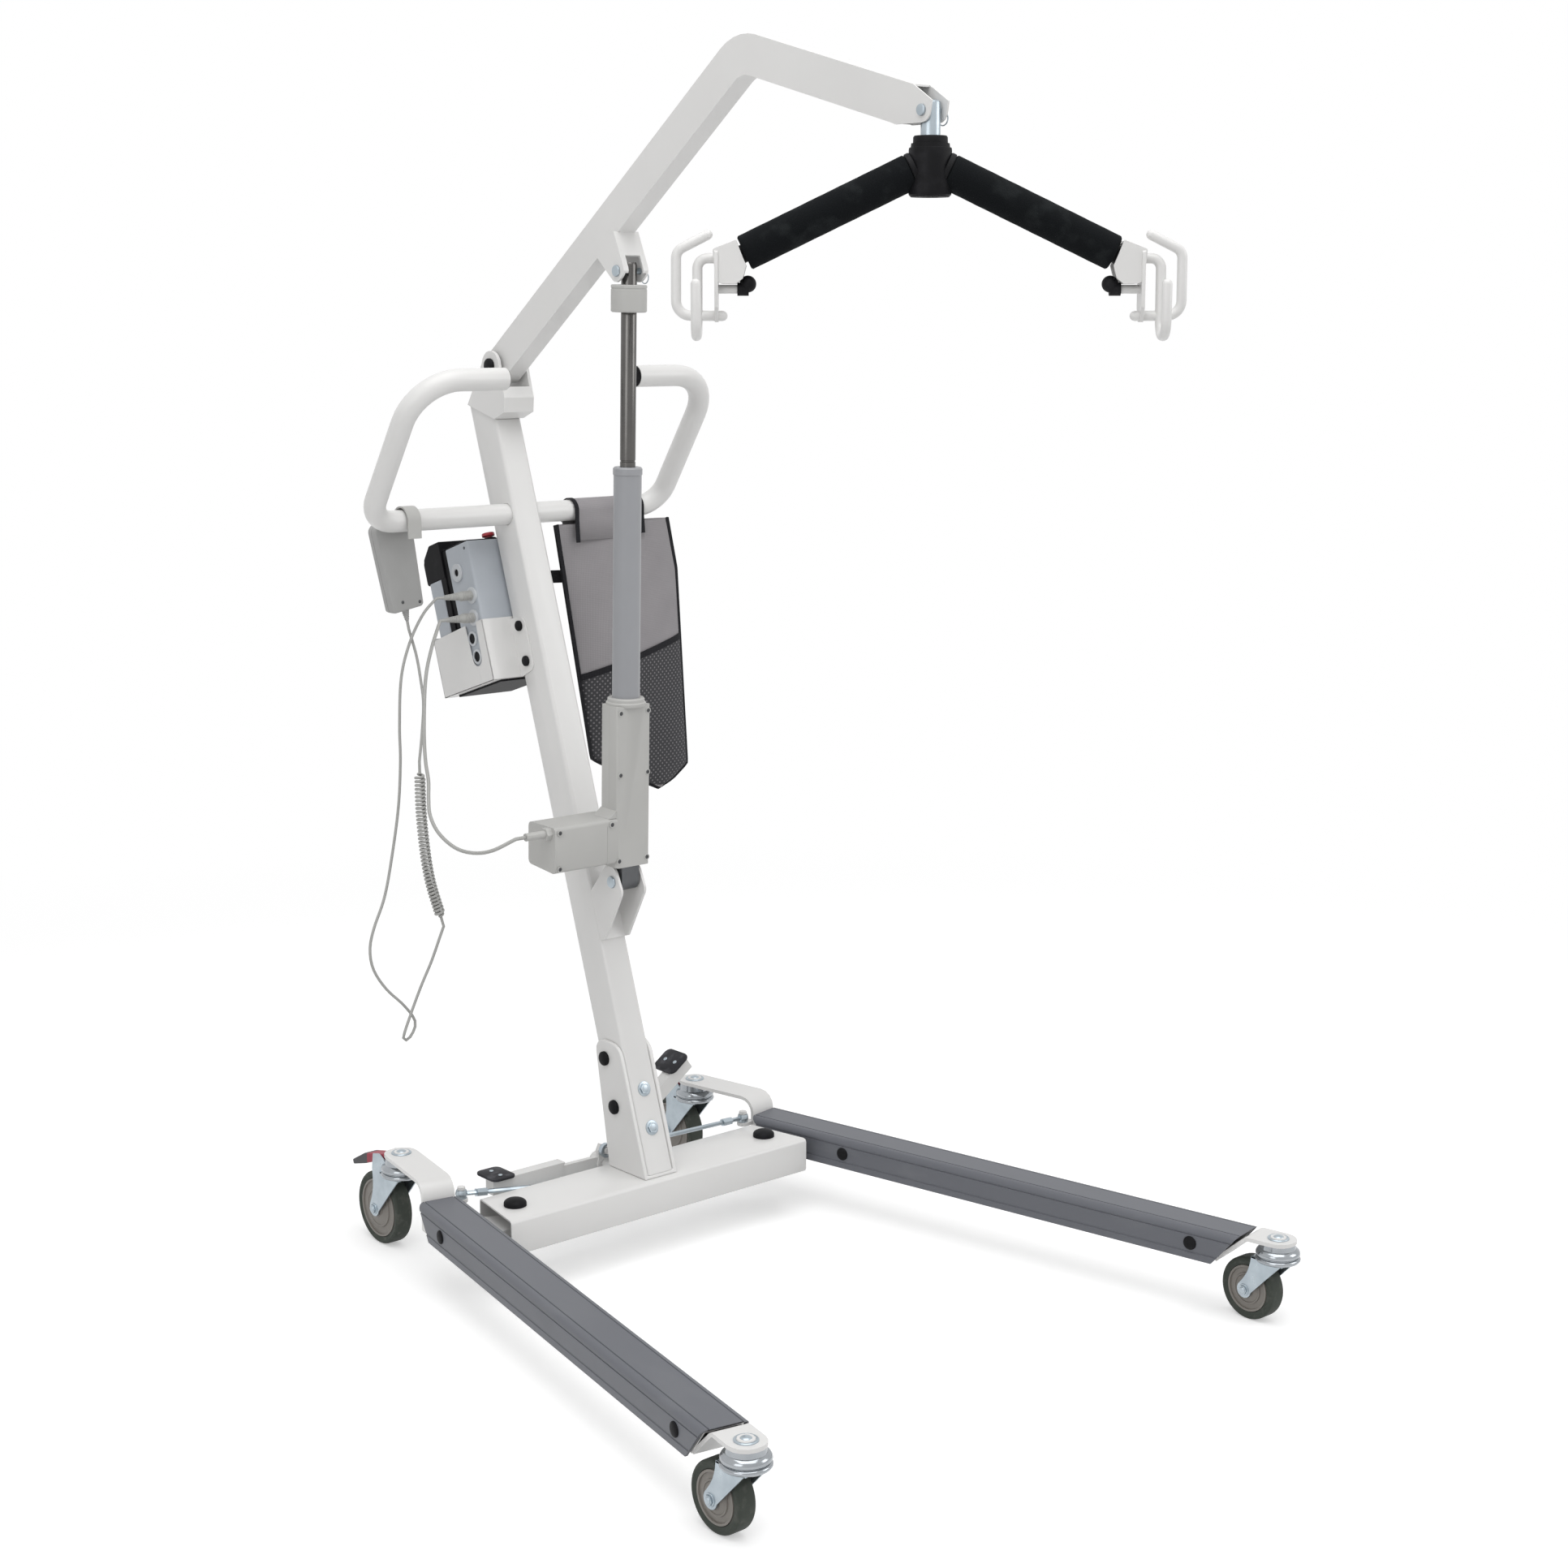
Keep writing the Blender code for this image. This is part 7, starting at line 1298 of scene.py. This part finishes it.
def net(point):
    """Black knitted net over the cloth behind it, its holes about 4 mm apart."""
    cells = weave(point.node("Mapping", {}, {"Vector": point, "Rotation": (0, math.pi / 4, 0)}), 290)
    holes = between(cells, 0.42, 0.66)
    colour = mixed(holes, (0.032, 0.032, 0.036), (0.2, 0.192, 0.2))
    return {"Base Color": times(colour, mixed(grain(point, 14, 4), (1, 1, 1), (0.78, 0.78, 0.78))),
        "Roughness": 0.74 + cells * 0.16, "Normal": relief(1 - holes, 0.0005)}


cloth = finish_of("grey_cloth", "cloth", grey_cloth)
binding = finish_of("black_binding", "cloth", black_tape)
netting = finish_of("black_net", "cloth", net)


def edge_at(corners, z):
    """Where an edge of the bag stands at a height."""
    for (high, from_x), (low, to_x) in zip(corners, corners[1:]):
        if z >= low or (low, to_x) == corners[-1]:
            return from_x + (to_x - from_x) * min(1, max(0, (high - z) / (high - low)))


def bag_swell(across, z):
    """Half thickness of the bag: none at its seams, most in its lower middle."""
    rim = math.sin(math.pi * min(1, max(0, across))) ** 0.6
    depth = (bag_top - z) / 0.48
    return rim * (0.008 + 0.012 * math.sin(math.pi * min(1, depth * 0.92 + 0.06)) ** 0.8)


def bag_wrinkle(x, z):
    """Soft folds that hang from the flap's corners and gather above the bottom."""
    hang = 0.0016 * math.sin(34 * x + 5 * z) * math.sin(9 * z + 2)
    pull = 0.0012 * math.sin(58 * (x - 0.6 * z)) * math.exp(-((z - 1.1) / 0.09) ** 2)
    gather = 0.0018 * math.sin(46 * (x + 0.5 * z)) * math.exp(-((z - 0.79) / 0.06) ** 2)
    return hang + pull + gather


def bag_panel(face, stand=0.0, low=bag_low, high=lambda across: bag_top, steps=(44, 84)):
    """Grid of points on the bag's front (-1) or back (1), between two heights."""
    rows = []
    for row in range(steps[1] + 1):
        points = []
        for column in range(steps[0] + 1):
            across = column / steps[0]
            z = low + (high(across) - low) * row / steps[1]
            left, right = edge_at(inner_edge, z), edge_at(outer_edge, z)
            x = left + (right - left) * across
            swell = bag_swell(across, z) + bag_wrinkle(x, z) * math.sin(math.pi * across) ** 0.5
            points.append(Vector((x, bag_middle + face * (max(swell, 0.0006) + stand), z)))
        rows.append(points)
    return rows


def sheet_of(rows, thickness, name, look, replaces=()):
    """A sheet with an even thickness over a grid of points."""
    bm = bmesh.new()
    grid = [[bm.verts.new(point) for point in row] for row in rows]
    for low, high in zip(grid, grid[1:]):
        for index in range(len(low) - 1):
            bm.faces.new((low[index], low[index + 1], high[index + 1], high[index]))
    bmesh.ops.remove_doubles(bm, verts=bm.verts, dist=0.0002)
    body = show(bm, name, "base", look, replaces, sharp=80).modifiers.new("thickness", "SOLIDIFY")
    body.thickness = thickness
    body.offset = 0


sheet_of(bag_panel(-1), cloth_thickness, "bag_front", cloth, ["storage_bag"])
sheet_of(bag_panel(1), cloth_thickness, "bag_back", cloth)
flap_line = [(bag_middle - 0.015, 1.16), (bar_y - fold + 0.0002, 1.196)]
flap_line += arc((bar_y, bar_z), fold, math.pi, 0, 16)
flap_line += [(bar_y + fold - 0.0002, 1.19), (bag_middle + 0.012, 1.165)]
flap = []
for y, z in flap_line:
    xs = [flap_left + (flap_right - flap_left) * column / 30 for column in range(31)]
    flap.append([Vector((x, y + 0.0005 * math.sin(70 * x) * (z < 1.2), z)) for x in xs])
sheet_of(flap, 0.0012, "bag_flap", cloth)


def tape(path, width, thickness, name, across):
    """Black binding along a path."""
    show(ribbon(path, width, thickness, across), name, "base", binding, edge=0.0004)


outline = bag_panel(-1, steps=(2, 90))
around = [Vector((row[0].x + 0.001, bag_middle, row[0].z)) for row in outline[:0:-1]]
around += [Vector((row[-1].x - 0.001, bag_middle, row[-1].z)) for row in outline]
tape(around, 0.01, 0.0052, "bag_edge_binding", lambda point: Vector((0.23, bag_middle, 0.95)) - point)
strap = []
for reach in (0, 0.012, 0.024, 0.036, 0.048, 0.058, 0.066):
    slack = 0.004 + 0.02 * math.sin(40 * reach) ** 2
    strap.append(Vector((strap_start + reach, bag_middle + slack, 1.096 + 0.03 * reach)))
tape(strap, 0.022, 0.0014, "bag_strap", lambda point: up)


def net_height(across):
    return 0.9205 + 0.056 * across


sheet_of(bag_panel(-1, 0.0016, pocket_low, net_height, (40, 40)), 0.0006, "net_pocket", netting)
rim = bag_panel(-1, 0.0022, pocket_low, net_height, (40, 40))[-1]
tape(rim, 0.011, 0.0014, "net_pocket_binding", lambda point: up)
for number, (x, low) in enumerate(((0.1062, 1.157), (0.2465, 1.166))):
    path = [Vector((x, bag_middle - 0.0168, low))] + [Vector((x, y, z)) for y, z in flap_line[1:-1]]
    path = [point - along.cross(along_x) * 0.0013 for point, along in zip(path, directions(path))]
    tape(path, 0.0085, 0.0012, "flap_binding_%d" % number, lambda point: along_x)
